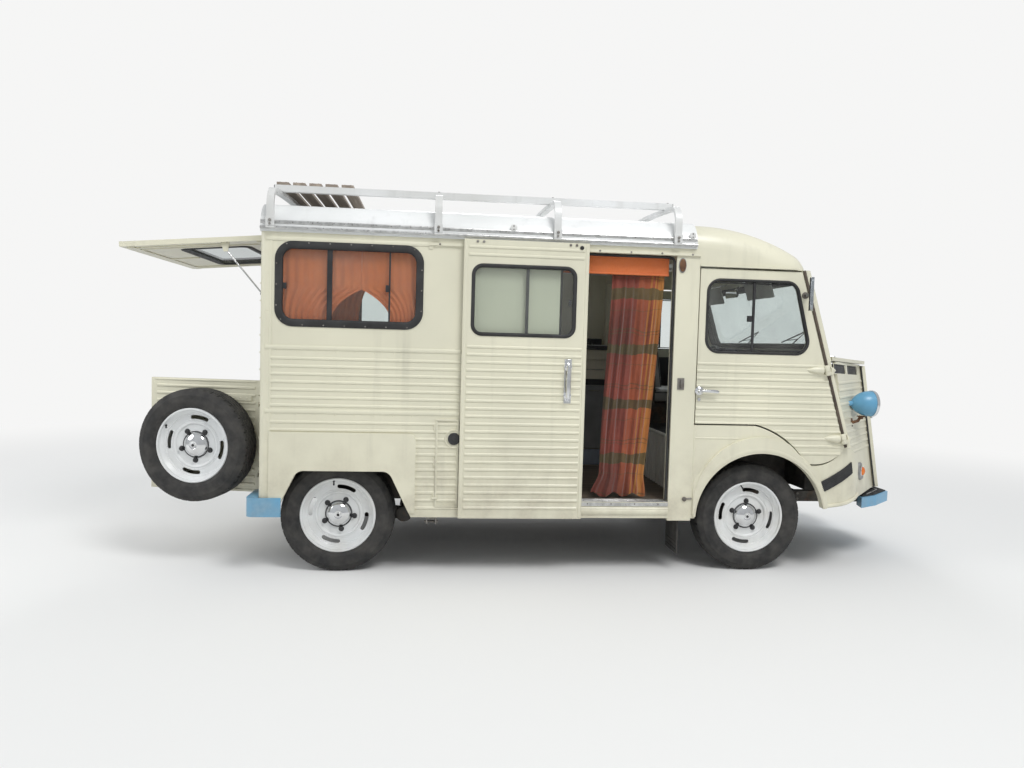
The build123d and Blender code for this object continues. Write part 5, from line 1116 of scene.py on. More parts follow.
# Hatch struts
# Gas struts: black lacquered tubes on pins behind the posts, and ground steel rods with an eye.
strut_black = plain_finish("strut_black", (0.022, 0.022, 0.023), (0.012, 0.012, 0.012), (0.25, 0.4), 20.0,
    0.0002, 300.0)
ground_steel = plain_finish("ground_steel", (0.66, 0.66, 0.66), (0.50, 0.50, 0.50), (0.10, 0.20), 30.0, 0.0,
    1.0, 1.0)
dress(strut_black, "strut_tubes")
dress(ground_steel, "strut_rods")
strut_foot = Vector((body_rear_x + 0.230, 0, 1.300))
rod_eye = Vector((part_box("strut_rods")[0].x + 0.009, 0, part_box("strut_rods")[1].z - 0.009))
strut_way = (rod_eye - strut_foot).normalized()
collars, strut_nuts = [], []
for side in (-1, 1):
    foot = strut_foot + Vector((0, side * 0.670, 0))
    collars.append(turned([(0.030, 0.0112), (0.030, 0.0135), (0.040, 0.0135), (0.042, 0.0112)], foot,
        strut_way, 20))
    strut_nuts.append(turned([(0, 0.013), (0.005, 0.013), (0.007, 0.010), (0.008, 0.0)],
        foot + Vector((0, -side * 0.0062, 0)), (0, -side, 0), 16))
fitted("strut_collars", collars, strut_black, "strut_tubes")
fitted("strut_nuts", strut_nuts, jack_steel)

# Rear doors
# Two low ribbed doors: the right one stands open and carries the spare wheel, the left one is
# shut and has the bolt handle, and the blank plate with its lamp hangs beside it.
door_hinge = Vector((body_rear_x - 0.040, -opening_half - 0.014, 0))
door_turn = Matrix.Rotation(math.radians(78), 3, "Z")
door_out_x = body_rear_x - 0.037
door_in_x = body_rear_x - 0.005
door_inner_y, door_outer_y = 0.010, 0.690
plate_y, plate_z = 0.350, 0.760
plate_loop = upright((plate_y - 0.260, plate_z - 0.056), (plate_y + 0.260, plate_z + 0.056), 0.010, 4)


def on_rear_door(y, z, proud):
    """Place off the outer face of the shut left rear door."""
    return Vector((door_out_x - proud, y, z))


plate_white = plain_finish("plate_white", (0.72, 0.72, 0.70), (0.60, 0.60, 0.57), (0.25, 0.4), 9.0, 0.0002,
    260.0)
fitted("rear_plate", [pillow(plate_loop, on_rear_door, [(0.0, 0.009), (0.0, 0.011), (0.001, 0.0115)])],
    plate_white, "rear_door_left")
plate_section = [(-0.004, 0.010), (-0.004, 0.0135), (0.004, 0.0135), (0.006, 0.011), (0.006, 0.004)]
fitted("rear_plate_frame", [ring(plate_loop, plate_section, on_rear_door)], black_plastic, "rear_door_left",
    soft_deg=40)
plate_back = []
for y in (plate_y - 0.17, plate_y + 0.17):
    plate_back.append(block((door_out_x - 0.010, y - 0.02, plate_z - 0.04),
        (door_out_x, y + 0.02, plate_z + 0.04)))
    plate_back.append(rivet(on_rear_door(y, plate_z, 0.0112), rear_out, 0.0055, 0.003))
fitted("rear_plate_brackets", plate_back, jack_steel, "rear_door_left", bevel=0.001)
lamp_house = [block((door_out_x - 0.034, plate_y - 0.045, plate_z + 0.072),
    (door_out_x, plate_y + 0.045, plate_z + 0.098)), block((door_out_x - 0.028, plate_y - 0.036,
    plate_z + 0.066), (door_out_x - 0.006, plate_y + 0.036, plate_z + 0.073))]
fitted("plate_lamp", lamp_house, black_plastic, "rear_door_left", bevel=0.004)
bolt_handle = [turned([(0, 0.026), (0.004, 0.025), (0.008, 0.014), (0.028, 0.011)],
    (door_out_x - 0.003, 0.075, 0.985), rear_out, 22), block((door_out_x - 0.043, 0.030, 0.976),
    (door_out_x - 0.028, 0.120, 0.994))]
fitted("rear_door_handle", bolt_handle, chrome, "rear_door_left", bevel=0.004, slot="rod_chrome")
for side, name in ((1, "left"), (-1, "right")):
    low_y, high_y = sorted((side * door_inner_y, side * door_outer_y))
    inside = [block((door_in_x - 0.001, bar_low_y, bar_low_z), (door_in_x + 0.004, bar_high_y, bar_high_z))
        for bar_low_y, bar_high_y, bar_low_z, bar_high_z in ((low_y, high_y, 0.462, 0.502),
        (low_y, high_y, 1.060, 1.098), (low_y, low_y + 0.040, 0.502, 1.060),
        (high_y - 0.040, high_y, 0.502, 1.060))]
    beads = [half_round((door_out_x, low_y + 0.020, z), (door_out_x, high_y - 0.02, z), rear_out, 0.012,
        0.004) for z in (0.444, 1.104)]
    straps = []
    for z in (0.530, 0.960):
        straps.append(block((door_out_x - 0.007, side * (door_outer_y - 0.185), z + 0.028),
            (door_out_x + 0.001, side * (door_outer_y - 0.045), z + 0.058)))
        straps += [rivet((door_out_x - 0.007, side * (door_outer_y - spot), z + 0.043), rear_out, 0.006)
            for spot in (0.075, 0.115, 0.155)]
    for kind, shapes in (("seams", beads), ("straps", straps), ("inner_frame", inside)):
        if side < 0:
            shapes = swing_shapes(shapes, door_hinge, door_turn)
        fitted(f"rear_door_{kind}_{name}", shapes, cream_enamel, f"rear_door_{name}", bevel=0.001,
            slot="body_paint")

# Wheels
# Pressed steel wheels in white with four slots, five dark nuts and a chrome cap, on tubeless road
# tyres. Drums turn with the wheels, and the spare sits on a carrier on the open rear door.
wheel_white = enamel("wheel_white", (0.80, 0.81, 0.80), (0.66, 0.68, 0.69), 0.28)
dress(wheel_white, "rim_front_right", "rim_front_left", "rim_rear_right", "rim_rear_left", "spare_rim")
tyre_rubber = plain_finish("tyre_rubber", (0.052, 0.049, 0.045), (0.020, 0.020, 0.020), (0.72, 0.92), 14.0,
    0.0006, 240.0)
drum_iron = plain_finish("drum_iron", (0.085, 0.070, 0.060), (0.035, 0.030, 0.028), (0.6, 0.85), 26.0,
    0.0008, 150.0, 0.3)
side_profile = [(0.0725, 0.3285), (0.0785, 0.3215), (0.0840, 0.3120), (0.0885, 0.3000), (0.0900, 0.2985),
    (0.0905, 0.2950), (0.0900, 0.2920), (0.0920, 0.2800), (0.0925, 0.2680), (0.0915, 0.2560),
    (0.0880, 0.2460), (0.0885, 0.2440), (0.0860, 0.2400), (0.0790, 0.2290), (0.0715, 0.2215),
    (0.0650, 0.2205)]
tread_groove = [(-0.0045, 0.3345), (-0.0030, 0.3275), (0.0030, 0.3275), (0.0045, 0.3345)]
shoulder_half, shoulder_radius = 0.068, 0.3322
block_half, block_radius = 0.050, 0.3336
zigzag = 0.003
notch_depth = 0.0055


def tyre(centre, first, second, out):
    """Road tyre with zigzag grooves and open shoulder blocks; first and second span its plane."""
    rows = [(-axial, radius, 0.0, False) for axial, radius in reversed(side_profile)]
    rows += [(-shoulder_half, shoulder_radius, 0.0, True), (-block_half, block_radius, 0.0, True)]
    for place in (-0.042, -0.015, None, 0.015, 0.042):
        if place is None:
            rows.append((0.0, 0.335, 0.0, False))
        else:
            rows += [(place + along, radius, zigzag, False) for along, radius in tread_groove]
    rows += [(block_half, block_radius, 0.0, True), (shoulder_half, shoulder_radius, 0.0, True)]
    rows += [(axial, radius, 0.0, False) for axial, radius in side_profile]
    points, faces = [], []
    pitches = 46
    shares = (0.0, 0.10, 0.14, 0.55, 0.96)
    for pitch in range(pitches):
        for share in shares:
            turn = 2 * math.pi * (pitch + share) / pitches
            ray = first * math.cos(turn) + second * math.sin(turn)
            wave = 1 - 2 * abs(2 * share - 1)
            for axial, radius, swing, open_block in rows:
                notch = notch_depth if open_block and share < 0.11 else 0.0
                points.append(centre + out * (axial + swing * wave) + ray * (radius - notch))
    columns, height = pitches * len(shares), len(rows)
    for column in range(columns):
        here, after = column * height, (column + 1) % columns * height
        for row in range(height):
            next_row = (row + 1) % height
            faces.append((here + row, here + next_row, after + next_row, after + row))
    return points, faces


def hoop(centre, first, second, out, radius, section):
    """Closed ring about the wheel's middle; section holds (outwards, proud)."""
    rays = [Vector((math.cos(turn), math.sin(turn))) for turn in [2 * math.pi * index / 72
        for index in range(72)]]
    return ring([(ray * radius, ray) for ray in rays], section, lambda u, v,
        proud: centre + first * u + second * v + out * proud)


def middle_of(name, axis):
    """Middle of a CAD node along one axis."""
    return (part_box(name)[0][axis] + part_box(name)[1][axis]) / 2


half_track = middle_of("tyre_front_left", 1)
rear_axle_x = middle_of("rim_rear_right", 0)
hub_z = middle_of("rim_rear_right", 2)
spare_middle = door_hinge + door_turn @ (Vector((body_rear_x - 0.142, -0.361, 0.728)) - door_hinge)
spare_out = door_turn @ Vector((-1, 0, 0))
spare_ahead = door_turn @ Vector((0, 1, 0))
up = Vector((0, 0, 1))
wheel_table = []
for end, axle_x, nut_turn, slot_turn in (("front", front_axle_x, 88, 80), ("rear", rear_axle_x, 64, 74)):
    for side, name in ((-1, "right"), (1, "left")):
        wheel_table.append((f"{end}_{name}", f"wheel_{end}_{name}", Vector((axle_x, side * half_track,
            hub_z)), Vector((1, 0, 0)), Vector((0, side, 0)), nut_turn, slot_turn))
wheel_table.append(("spare", "rear_door_right", spare_middle, spare_ahead, spare_out, 55, 9))
wheel_bead_table = [
    # radius, section
    (0.128, [(-0.007, 0.024), (-0.003, 0.032), (0.004, 0.0355), (0.010, 0.034), (0.012, 0.030)]),
    (0.146, [(-0.003, 0.031), (0.0, 0.0345), (0.003, 0.031)]),
    (0.186, [(-0.005, 0.030), (-0.004, 0.038), (0.0, 0.041), (0.004, 0.040), (0.006, 0.033)]),
    (0.214, [(-0.004, 0.075), (0.0, 0.079), (0.005, 0.078), (0.008, 0.073), (0.006, 0.070)]),
]
nut_table = [
    # profile, sides
    ([(0.0, 0.0165), (0.003, 0.0160), (0.004, 0.013)], 20),
    ([(0.003, 0.0125), (0.014, 0.0125), (0.017, 0.009), (0.017, 0.006)], 6),
    ([(0.012, 0.0055), (0.021, 0.0055), (0.022, 0.0035)], 12),
]
cap_profile = [(0.0235, 0.0765), (0.0275, 0.0765), (0.0290, 0.0735), (0.0330, 0.0725), (0.0370, 0.0705),
    (0.0455, 0.0640), (0.0545, 0.0475), (0.0608, 0.0310), (0.0622, 0.0240), (0.0608, 0.0215),
    (0.0608, 0.0150), (0.0630, 0.0135), (0.0630, 0.0)]
cap_ring_section = [(-0.001, 0.024), (-0.001, 0.0300), (0.003, 0.0290), (0.004, 0.024)]
valve_profile = [(-0.006, 0.0075), (0.006, 0.007), (0.010, 0.004), (0.026, 0.004), (0.026, 0.005),
    (0.036, 0.005), (0.037, 0.0)]
drum_section = [
    # distance from the wheel's middle, inwards of the drum's edge
    (-0.010, 0.026), (-0.013, 0.012), (-0.018, 0.004), (-0.024, 0.003), (-0.026, 0.0), (-0.034, 0.0),
    (-0.036, 0.003), (-0.043, 0.002), (-0.044, 0.010),
]
disc_face = 0.024
nut_ring = 0.093
for name, body, middle, ahead, out, nut_turn, slot_turn in wheel_table:
    road_tyre = fitted(f"road_tyre_{name}", [tyre(middle, ahead, up, out)], tyre_rubber, body, soft_deg=28,
        slot="tyre_rubber")
    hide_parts("spare_tyre" if name == "spare" else f"tyre_{name}")
    beads = [hoop(middle, ahead, up, out, radius, section) for radius, section in wheel_bead_table]
    fitted(f"wheel_rings_{name}", beads, wheel_white, body, soft_deg=60, slot="rim_paint")
    nuts = []
    for index in range(5):
        turn = math.radians(nut_turn + 72 * index)
        ray = ahead * math.cos(turn) + up * math.sin(turn)
        nuts += [turned(profile, middle + ray * nut_ring + out * disc_face, out, sides) for profile,
            sides in nut_table]
    fitted(f"wheel_nuts_{name}", nuts, black_plastic, body, bevel=0.0006)
    fitted(f"wheel_cap_{name}", [turned(cap_profile, middle, out, 48)], chrome, body, soft_deg=40,
        slot="rod_chrome")
    cap_ring = [hoop(middle, ahead, up, out, 0.0765, cap_ring_section),
        turned([(0.0628, 0.009), (0.0640, 0.008), (0.0640, 0.0)], middle, out, 16)]
    fitted(f"wheel_cap_ring_{name}", cap_ring, black_plastic, body, soft_deg=50)
    valve_turn = math.radians(slot_turn + 24)
    ray = ahead * math.cos(valve_turn) + up * math.sin(valve_turn)
    valve = turned(valve_profile, middle + ray * 0.206 + out * 0.052, out * 0.8 - ray * 0.6, 12)
    fitted(f"wheel_valve_{name}", [valve], rubber, body)
    if name == "spare":
        continue
    drum_edge = 0.111 if "front" in name else 0.130
    drum = turned([(-0.010, 0.058)] + [(deep, drum_edge - inwards) for deep, inwards in drum_section],
        middle, out, 44)
    fitted(f"brake_drum_{name}", [drum], drum_iron, body, soft_deg=30)
    plate = turned([(-0.0455, 0.060), (-0.0455, drum_edge), (-0.0462, drum_edge + 0.001),
        (-0.0485, drum_edge + 0.001), (-0.0490, drum_edge - 0.002), (-0.0490, 0.040)], middle, out, 44)
    cylinder_middle = middle + out * -0.060 + up * (drum_edge - 0.020)
    cylinder = rod(cylinder_middle - ahead * 0.022, cylinder_middle + ahead * 0.022, 0.012, 14)
    adjusters = [turned([(0, 0.008), (0.008, 0.008), (0.009, 0.006), (0.009, 0)],
        middle + out * -0.049 + ahead * spot - up * 0.090, -out, 6) for spot in (-0.045, 0.045)]
    carrier = body.replace("wheel_front", "knuckle") if "front" in name else "body"
    fitted(f"brake_plate_{name}", [plate, cylinder] + adjusters, drum_iron, carrier, soft_deg=30)
spare_studs = [turned([(-0.102, 0.046), (-0.094, 0.046), (-0.092, 0.030), (-0.006, 0.028)], spare_middle,
    spare_out, 24)]
for turn in (math.radians(45), math.radians(135), math.radians(225), math.radians(315)):
    ray = spare_ahead * math.cos(turn) + up * math.sin(turn)
    spare_studs.append(turned([(-0.1045, 0.008), (-0.087, 0.008), (-0.086, 0.006), (-0.086, 0)],
        spare_middle + ray * 0.040, spare_out, 6))
fitted("spare_carrier", spare_studs, jack_steel, "rear_door_right")

# Underbody
# Two welded box rails with cross members, the wishbones and the rear axle that they carry, all
# in black chassis paint that has rusted in patches and holds dry road dust.
iron_rust = (0.150, 0.070, 0.038)


def chassis_paint(name, colour, dark, rust, dusty):
    """Paint on heavy steel: chipped to rust by a share, and dulled by dust by another."""
    tree, shader, finish = start_finish(name)
    tone = shade(tree, mottle(tree, 6.0, 5.0), 0.32, 0.68, dark, colour)
    chipped = spread(tree, mottle(tree, 11.0, 8.0), 0.52, 0.66, 0.0, rust)
    brown = shade(tree, mottle(tree, 70.0, 4.0), 0.3, 0.7, times(0.4, iron_rust), iron_rust)
    tone = laid_over(tree, chipped, tone, brown)
    dull = spread(tree, mottle(tree, 3.0, 6.0), 0.40, 0.72, 0.0, dusty)
    pale = shade(tree, mottle(tree, 90.0, 3.0), 0.3, 0.7, times(0.6, road_dust), road_dust)
    tree.links.new(laid_over(tree, dull, tone, pale), shader.inputs["Base Color"])
    tree.links.new(spread(tree, mottle(tree, 20.0, 4.0), 0.3, 0.7, 0.50, 0.90), shader.inputs["Roughness"])
    grain(tree, shader, mottle(tree, 130.0, 4.0), 0.0009)
    return finish


chassis_black = chassis_paint("chassis_black", (0.050, 0.047, 0.044), (0.020, 0.019, 0.018), 0.75, 0.40)
underseal = chassis_paint("underseal", (0.042, 0.040, 0.037), (0.018, 0.017, 0.016), 0.10, 0.35)
dress(chassis_black, "chassis", "front_suspension", "knuckle_right", "knuckle_left", "rear_axle")
rail_outer_y, rail_inner_y = 0.360, 0.300
rail_high_z = 0.404
chassis_bolts = [turned([(0, 0.009), (0.006, 0.009), (0.007, 0.006), (0.0072, 0)],
    (x, side * rail_outer_y, rail_high_z - drop), (0, side, 0), 6) for side in (-1, 1)
    for x in (-1.60, -0.82, 0.05, 1.22, 1.39, 1.887, 2.34) for drop in (0.018, 0.054)]
fitted("chassis_bolts", chassis_bolts, jack_steel, slot="under_steel")
brake_y = -rail_inner_y + 0.004
brake_path = [(-0.86, brake_y, 0.352), (-0.40, brake_y, 0.350), (0.40, brake_y, 0.352),
    (1.10, brake_y, 0.350), (1.16, brake_y + 0.01, 0.362), (1.20, brake_y + 0.035, 0.392)]
brake_clips = [block((x - 0.008, brake_y - 0.004, 0.342), (x + 0.008, brake_y + 0.006, 0.360))
    for x in (-0.75, -0.35, 0.15, 0.55, 0.95)]
fitted("brake_pipe", [tube(brake_path, 0.0035, 8)] + brake_clips, jack_steel, slot="under_steel")

# Wishbone fittings and drive shafts
# Rubber bushes where the wishbones turn on the rails, ball joints over the knuckles, telescopic
# dampers, and ribbed rubber boots over the joints of the drive shafts.
arm_low_z, arm_high_z = 0.1986, 0.4714
king_pin_y = 0.738
boot_profile = [(0.0, 0.043), (0.012, 0.044)]
for fold in range(5):
    boot_profile += [(0.018 + 0.018 * fold, 0.041 - 0.0035 * fold), (0.026 + 0.018 * fold,
        0.034 - 0.0035 * fold)]
boot_profile += [(0.112, 0.023), (0.124, 0.023)]


def damper(foot, head, profile):
    """Telescopic damper from its foot to its head; the profile lacks only the rod's end."""
    return turned(profile + [((head - foot).length, 0.010)], foot, head - foot, 20)


bushes, joints, dampers, boots, flanges = [], [], [], [], []
for side in (-1, 1):
    bushes += [turned([(0, 0.021), (0.004, 0.024), (0.039, 0.024), (0.043, 0.021)],
        (front_axle_x + x, side * (rail_inner_y + 0.026), z), (1, 0, 0), 20) for x in (-0.105, 0.062)
        for z in (arm_low_z + 0.012, arm_high_z - 0.012)]
    joints.append(turned([(-0.004, 0.026), (0.006, 0.026), (0.014, 0.018), (0.014, 0.011), (0.024, 0.011),
        (0.026, 0.0)], (front_axle_x, side * king_pin_y, arm_high_z), (0, 0, 1), 12))
    joints.append(turned([(-0.004, 0.026), (0.006, 0.026), (0.014, 0.018), (0.016, 0.0)],
        (front_axle_x, side * king_pin_y, arm_low_z), (0, 0, -1), 12))
    dampers.append(damper(Vector((front_axle_x + 0.052, side * 0.560, arm_low_z + 0.022)),
        Vector((front_axle_x + 0.052, side * 0.372, arm_high_z - 0.030)),
        [(0.0, 0.012), (0.010, 0.016), (0.012, 0.023), (0.130, 0.023), (0.134, 0.020), (0.136, 0.010)]))
    boots += [turned(boot_profile, (front_axle_x, side * y, hub_z), (0, side * reach, 0), 28) for y,
        reach in ((0.240, 1), (0.694, -1))]
    flanges.append(turned([(0.0, 0.052), (0.008, 0.052), (0.010, 0.046)],
        (front_axle_x, side * 0.229, hub_z), (0, side, 0), 24))
fitted("wishbone_bushes", bushes, rubber, slot="rubber_black")
fitted("ball_joints", joints, chassis_black, slot="under_steel")
fitted("front_dampers", dampers, chassis_black, slot="under_steel")
fitted("shaft_boots", boots, rubber, slot="rubber_black")
fitted("shaft_flanges", flanges, jack_steel, slot="under_steel")

# Rear axle fittings
# Clamps that hold the cross tube under the rails, and a damper from each trailing arm to the rail.
axle_x, axle_z = -0.840, 0.300
axle_fittings, rear_dampers = [], []
for side in (-1, 1):
    axle_fittings += [turned([(0, 0.031), (0.001, 0.036), (0.021, 0.036), (0.022, 0.031)],
        (axle_x, side * y - 0.011, axle_z), (0, 1, 0), 24) for y in (0.290, 0.370)]
    axle_fittings.append(turned([(0, 0.046), (0.004, 0.049), (0.010, 0.049), (0.014, 0.044), (0.014, 0.0)],
        (axle_x, side * 0.676, axle_z), (0, side, 0), 28))
    foot = Vector((-1.185, side * 0.622, 0.318))
    rear_dampers.append(damper(foot, Vector((-0.985, side * 0.362, 0.368)),
        [(0.0, 0.014), (0.012, 0.014), (0.014, 0.024), (0.190, 0.024), (0.194, 0.020), (0.196, 0.010)]))
    rear_dampers.append(turned([(-0.012, 0.018), (0.012, 0.018)], foot, (0, 1, 0), 16))
fitted("axle_clamps", axle_fittings, chassis_black, slot="under_steel")
fitted("rear_dampers", rear_dampers, chassis_black, slot="under_steel")

# Engine and radiator
# A cast iron engine between the rails, oily and dusty, with a ribbed sump, a belt over its
# pulleys and a fan. The radiator stands in front of it on two plates from the rails.
engine_iron = chassis_paint("engine_iron", (0.085, 0.080, 0.074), (0.030, 0.028, 0.026), 0.35, 0.30)
dress(engine_iron, "engine")
engine_low, engine_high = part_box("engine")
engine_ribs = [block((x, -0.205, engine_low.z - 0.006), (x + 0.008, 0.205, engine_low.z + 0.002))
    for x in [engine_low.x + 0.05 + 0.065 * index for index in range(9)]]
for side in (-1, 1):
    face = side * engine_high.y
    engine_ribs += [block((engine_low.x + 0.01, face - side * 0.001, z),
        (engine_high.x - 0.01, face + side * 0.008, z + 0.012)) for z in (0.345, 0.640)]
    for x in [engine_low.x + 0.035 + 0.055 * index for index in range(11)]:
        inner_y = face - side * 0.001
        outer_y = face + 0.006 if side > 0 else face - 0.008
        engine_ribs.append(block((x, inner_y, 0.44), (x + 0.010, outer_y, 0.63)))
        engine_ribs.append(turned([(0, 0.007), (0.006, 0.007), (0.007, 0)],
            (x + 0.005, face + side * 0.007, 0.351), (0, side, 0), 6))
fitted("engine_ribs", engine_ribs, engine_iron, bevel=0.001, slot="engine_iron")
filter_can = turned([(0.0, 0.036), (0.012, 0.040), (0.078, 0.040), (0.090, 0.034), (0.092, 0.0)],
    (1.60, -engine_high.y, 0.410), kerb_out, 28)
fitted("oil_filter", [filter_can], mirror_shell, slot="engine_iron")
pulley_x = engine_high.x
pulley_table = [
    # y, z, radius
    (0.040, 0.474, 0.060),
    (0.000, 0.628, 0.052),
    (-0.160, 0.600, 0.035),
]
pulleys = [turned([(0, radius), (0.006, radius), (0.012, radius - 0.008), (0.018, radius), (0.024, radius),
    (0.024, 0.016), (0.032, 0.014), (0.033, 0.0)], (pulley_x, y, z), (1, 0, 0), 32) for y, z,
    radius in pulley_table]
fitted("pulleys", pulleys, jack_steel, slot="engine_iron")
belt_line = []
for index in range(73):
    turn = 2 * math.pi * index / 72
    reach = Vector((0, math.cos(turn), math.sin(turn)))
    y, z, radius = max(pulley_table, key=lambda pulley: pulley[0] * reach.y + pulley[1] * reach.z
        + pulley[2])
    belt_line.append(Vector((pulley_x + 0.012, y, z)) + reach * (radius - 0.002))
fitted("fan_belt", [tube(belt_line, 0.006, 8)], rubber, slot="rubber_black")
fan_blades = []
for index in range(6):
    turn = math.radians(60 * index + 10)
    outwards = Vector((0, math.cos(turn), math.sin(turn)))
    around = Vector((0, -math.sin(turn), math.cos(turn)))
    stations = []
    for reach, width, twist in ((0.022, 0.018, 0.75), (0.080, 0.030, 0.55), (0.165, 0.036, 0.35)):
        middle = Vector((pulley_x + 0.056, 0.0, 0.628)) + outwards * reach
        chord = around * math.cos(twist) + Vector((1, 0, 0)) * math.sin(twist)
        through = chord.cross(outwards) * 0.001
        stations.append([middle - chord * width + through, middle + chord * width + through,
            middle + chord * width - through, middle - chord * width - through])
    fan_blades.append(drawn(stations))
fan_blades.append(turned([(0.030, 0.026), (0.064, 0.026), (0.070, 0.020), (0.071, 0.0)],
    (pulley_x, 0.0, 0.628), (1, 0, 0), 20))
fitted("cooling_fan", fan_blades, black_plastic, slot="engine_iron")
core_low = Vector((2.090, -0.290, 0.520))
core_high = Vector((2.126, 0.290, 0.940))
fin_heights = [core_low.z + 0.0075 * index for index in range(56)]
radiator_core = [block(core_low, core_high)]
radiator_core += [block((core_low.x - 0.002, core_low.y, z), (core_high.x + 0.002, core_high.y, z + 0.002))
    for z in fin_heights]
fitted("radiator_core", radiator_core, engine_iron, slot="engine_iron")
tank_section = [(-0.030, -0.004), (-0.026, 0.030), (-0.012, 0.044), (0.012, 0.044), (0.026, 0.030),
    (0.030, -0.004)]
radiator_shell = [drawn([[(2.108 + u, y, face_z + way * v) for u, v in tank_section]
    for y in (core_low.y - 0.006, core_high.y + 0.006)]) for face_z, way in ((core_high.z, 1),
    (core_low.z, -1))]
for side in (-1, 1):
    radiator_shell.append(block((2.094, side * 0.288, rail_high_z - 0.002), (2.122, side * 0.326, 0.62)))
    radiator_shell.append(block((2.086, side * 0.288, 0.50), (2.130, side * 0.298, 0.96)))
radiator_shell.append(turned([(0.0, 0.020), (0.016, 0.020), (0.018, 0.026), (0.026, 0.026), (0.028, 0.0)],
    (2.108, -0.15, core_high.z + 0.040), (0, 0, 1), 20))
fitted("radiator_frame", radiator_shell, chassis_black, bevel=0.001, slot="under_steel")
hose_paths = [[(2.094, 0.20, 0.962), (2.04, 0.20, 0.962), (1.98, 0.19, 0.93), (1.93, 0.16, 0.84),
    (1.90, 0.13, 0.76), (1.86, 0.12, 0.72)], [(2.094, -0.20, 0.500), (2.04, -0.20, 0.500),
    (1.98, -0.20, 0.505), (1.92, -0.19, 0.52), (1.86, -0.19, 0.53)],]
hose_clips = [turned([(-0.005, 0.019), (-0.005, 0.0205), (0.005, 0.0205), (0.005, 0.019)], path[1],
    (1, 0, 0), 20) for path in hose_paths]
fitted("radiator_hoses", [tube(path, 0.019, 14) for path in hose_paths], rubber, slot="rubber_black")
fitted("hose_clips", hose_clips, jack_steel, slot="under_steel")

# Battery
# A black starter battery with a grey lid, strapped to a steel tray on the left rail, where it
# shows once the bonnet is up.
battery_low = Vector((2.150, 0.310, 0.414))
battery_high = Vector((2.320, 0.480, 0.600))
lid_z = battery_high.z - 0.024
tray = [block((2.140, 0.300, rail_high_z - 0.002), (2.330, 0.490, 0.414)),
    block((2.140, 0.486, 0.410), (2.330, 0.490, 0.440))]
tray += [rod((x, 0.395, 0.412), (x, 0.395, 0.606), 0.004) for x in (2.144, 2.326)]
tray.append(block((2.138, 0.386, 0.600), (2.332, 0.404, 0.606)))
fitted("battery_tray", tray, chassis_black, bevel=0.001, slot="under_steel")
case_ribs = [block((x, battery_low.y - 0.002, 0.43), (x + 0.008, battery_low.y + 0.002, 0.56))
    for x in [battery_low.x + 0.02 + 0.028 * index for index in range(6)]]
fitted("battery_case", [block(battery_low, (battery_high.x, battery_high.y, lid_z))] + case_ribs,
    black_plastic, bevel=0.003, slot="rubber_black")
lid = [block((battery_low.x - 0.002, battery_low.y - 0.002, lid_z),
    (battery_high.x + 0.002, battery_high.y + 0.002, battery_high.z - 0.002))]
lid += [turned([(0, 0.009), (0.016, 0.008), (0.017, 0)], (2.180, y, battery_high.z - 0.003), (0, 0, 1), 16)
    for y in (battery_low.y + 0.030, battery_high.y - 0.030)]
fitted("battery_lid", lid, lamp_base, bevel=0.002, slot="rubber_black")

# Exhaust
# A steel pipe with one flat silencer, rusted all over, hung from the rail on two straps.
exhaust_rust = plain_finish("exhaust_rust", (0.205, 0.115, 0.068), (0.075, 0.045, 0.032), (0.75, 0.95),
    16.0, 0.0014, 110.0)
dress(exhaust_rust, "exhaust")
pipe_y, pipe_z = 0.180, 0.300
silencer_loop = upright((pipe_y - 0.075, 0.250), (pipe_y + 0.075, 0.334), 0.036)
exhaust_seams = []
for seam_x in (0.040, 0.470):
    stations = [[(seam_x + u, point[0] + out[0] * (v - 0.001), point[1] + out[1] * (v - 0.001)) for u,
        v in ((-0.004, 0.0), (-0.004, 0.004), (0.004, 0.004), (0.004, 0.0))] for point,
        out in silencer_loop]
    exhaust_seams.append(drawn(stations + stations[:1]))
for clamp_x in (-0.642, 0.018, 0.492, 1.215):
    exhaust_seams.append(turned([(-0.008, 0.0215), (-0.008, 0.026), (0.008, 0.026), (0.008, 0.0215)],
        (clamp_x, pipe_y, pipe_z), (1, 0, 0), 24))
    exhaust_seams.append(turned([(0, 0.006), (0.010, 0.006), (0.010, 0.0035), (0.018, 0.0035), (0.018, 0)],
        (clamp_x, pipe_y, pipe_z + 0.024), (0, 0, 1), 6))
exhaust_seams.append(turned([(0.0, 0.0255), (-0.03, 0.0255), (-0.032, 0.0245), (-0.030, 0.0215),
    (-0.002, 0.0205)], (-0.658, pipe_y, pipe_z), (1, 0, 0), 28))
fitted("exhaust_seams", exhaust_seams, exhaust_rust, slot="exhaust_steel")
exhaust_mouth = turned([(0, 0.0200), (0.001, 0.0195), (0.0012, 0)], (-0.6612, pipe_y, pipe_z), (-1, 0, 0),
    24)
fitted("exhaust_mouth", [exhaust_mouth], drum_iron, slot="exhaust_steel")

# Mud flaps
# Sheets of moulded rubber behind the front wheels, held up by a steel strip and three bolts.
flap_rubber = plain_finish("flap_rubber", (0.060, 0.056, 0.050), (0.022, 0.021, 0.020), (0.65, 0.9), 10.0,
    0.0006, 160.0)
dress(flap_rubber, "mud_flaps")
flap_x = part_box("mud_flaps")[0].x
flap_strips, flap_bolts, flap_ribs = [], [], []
for side in (-1, 1):
    low_y, high_y = sorted((side * 0.698, side * 0.922))
    flap_strips.append(block((flap_x - 0.003, low_y, 0.366), (flap_x + 0.001, high_y, 0.396)))
    flap_bolts += [turned([(0, 0.008), (0.005, 0.008), (0.0055, 0)], (flap_x - 0.003, side * y, 0.381),
        (-1, 0, 0), 6) for y in (0.73, 0.81, 0.89)]
    flap_ribs += [half_round((flap_x, low_y + 0.02, z), (flap_x, high_y - 0.02, z), (-1, 0, 0), 0.008,
        0.003) for z in (0.135, 0.157, 0.179)]
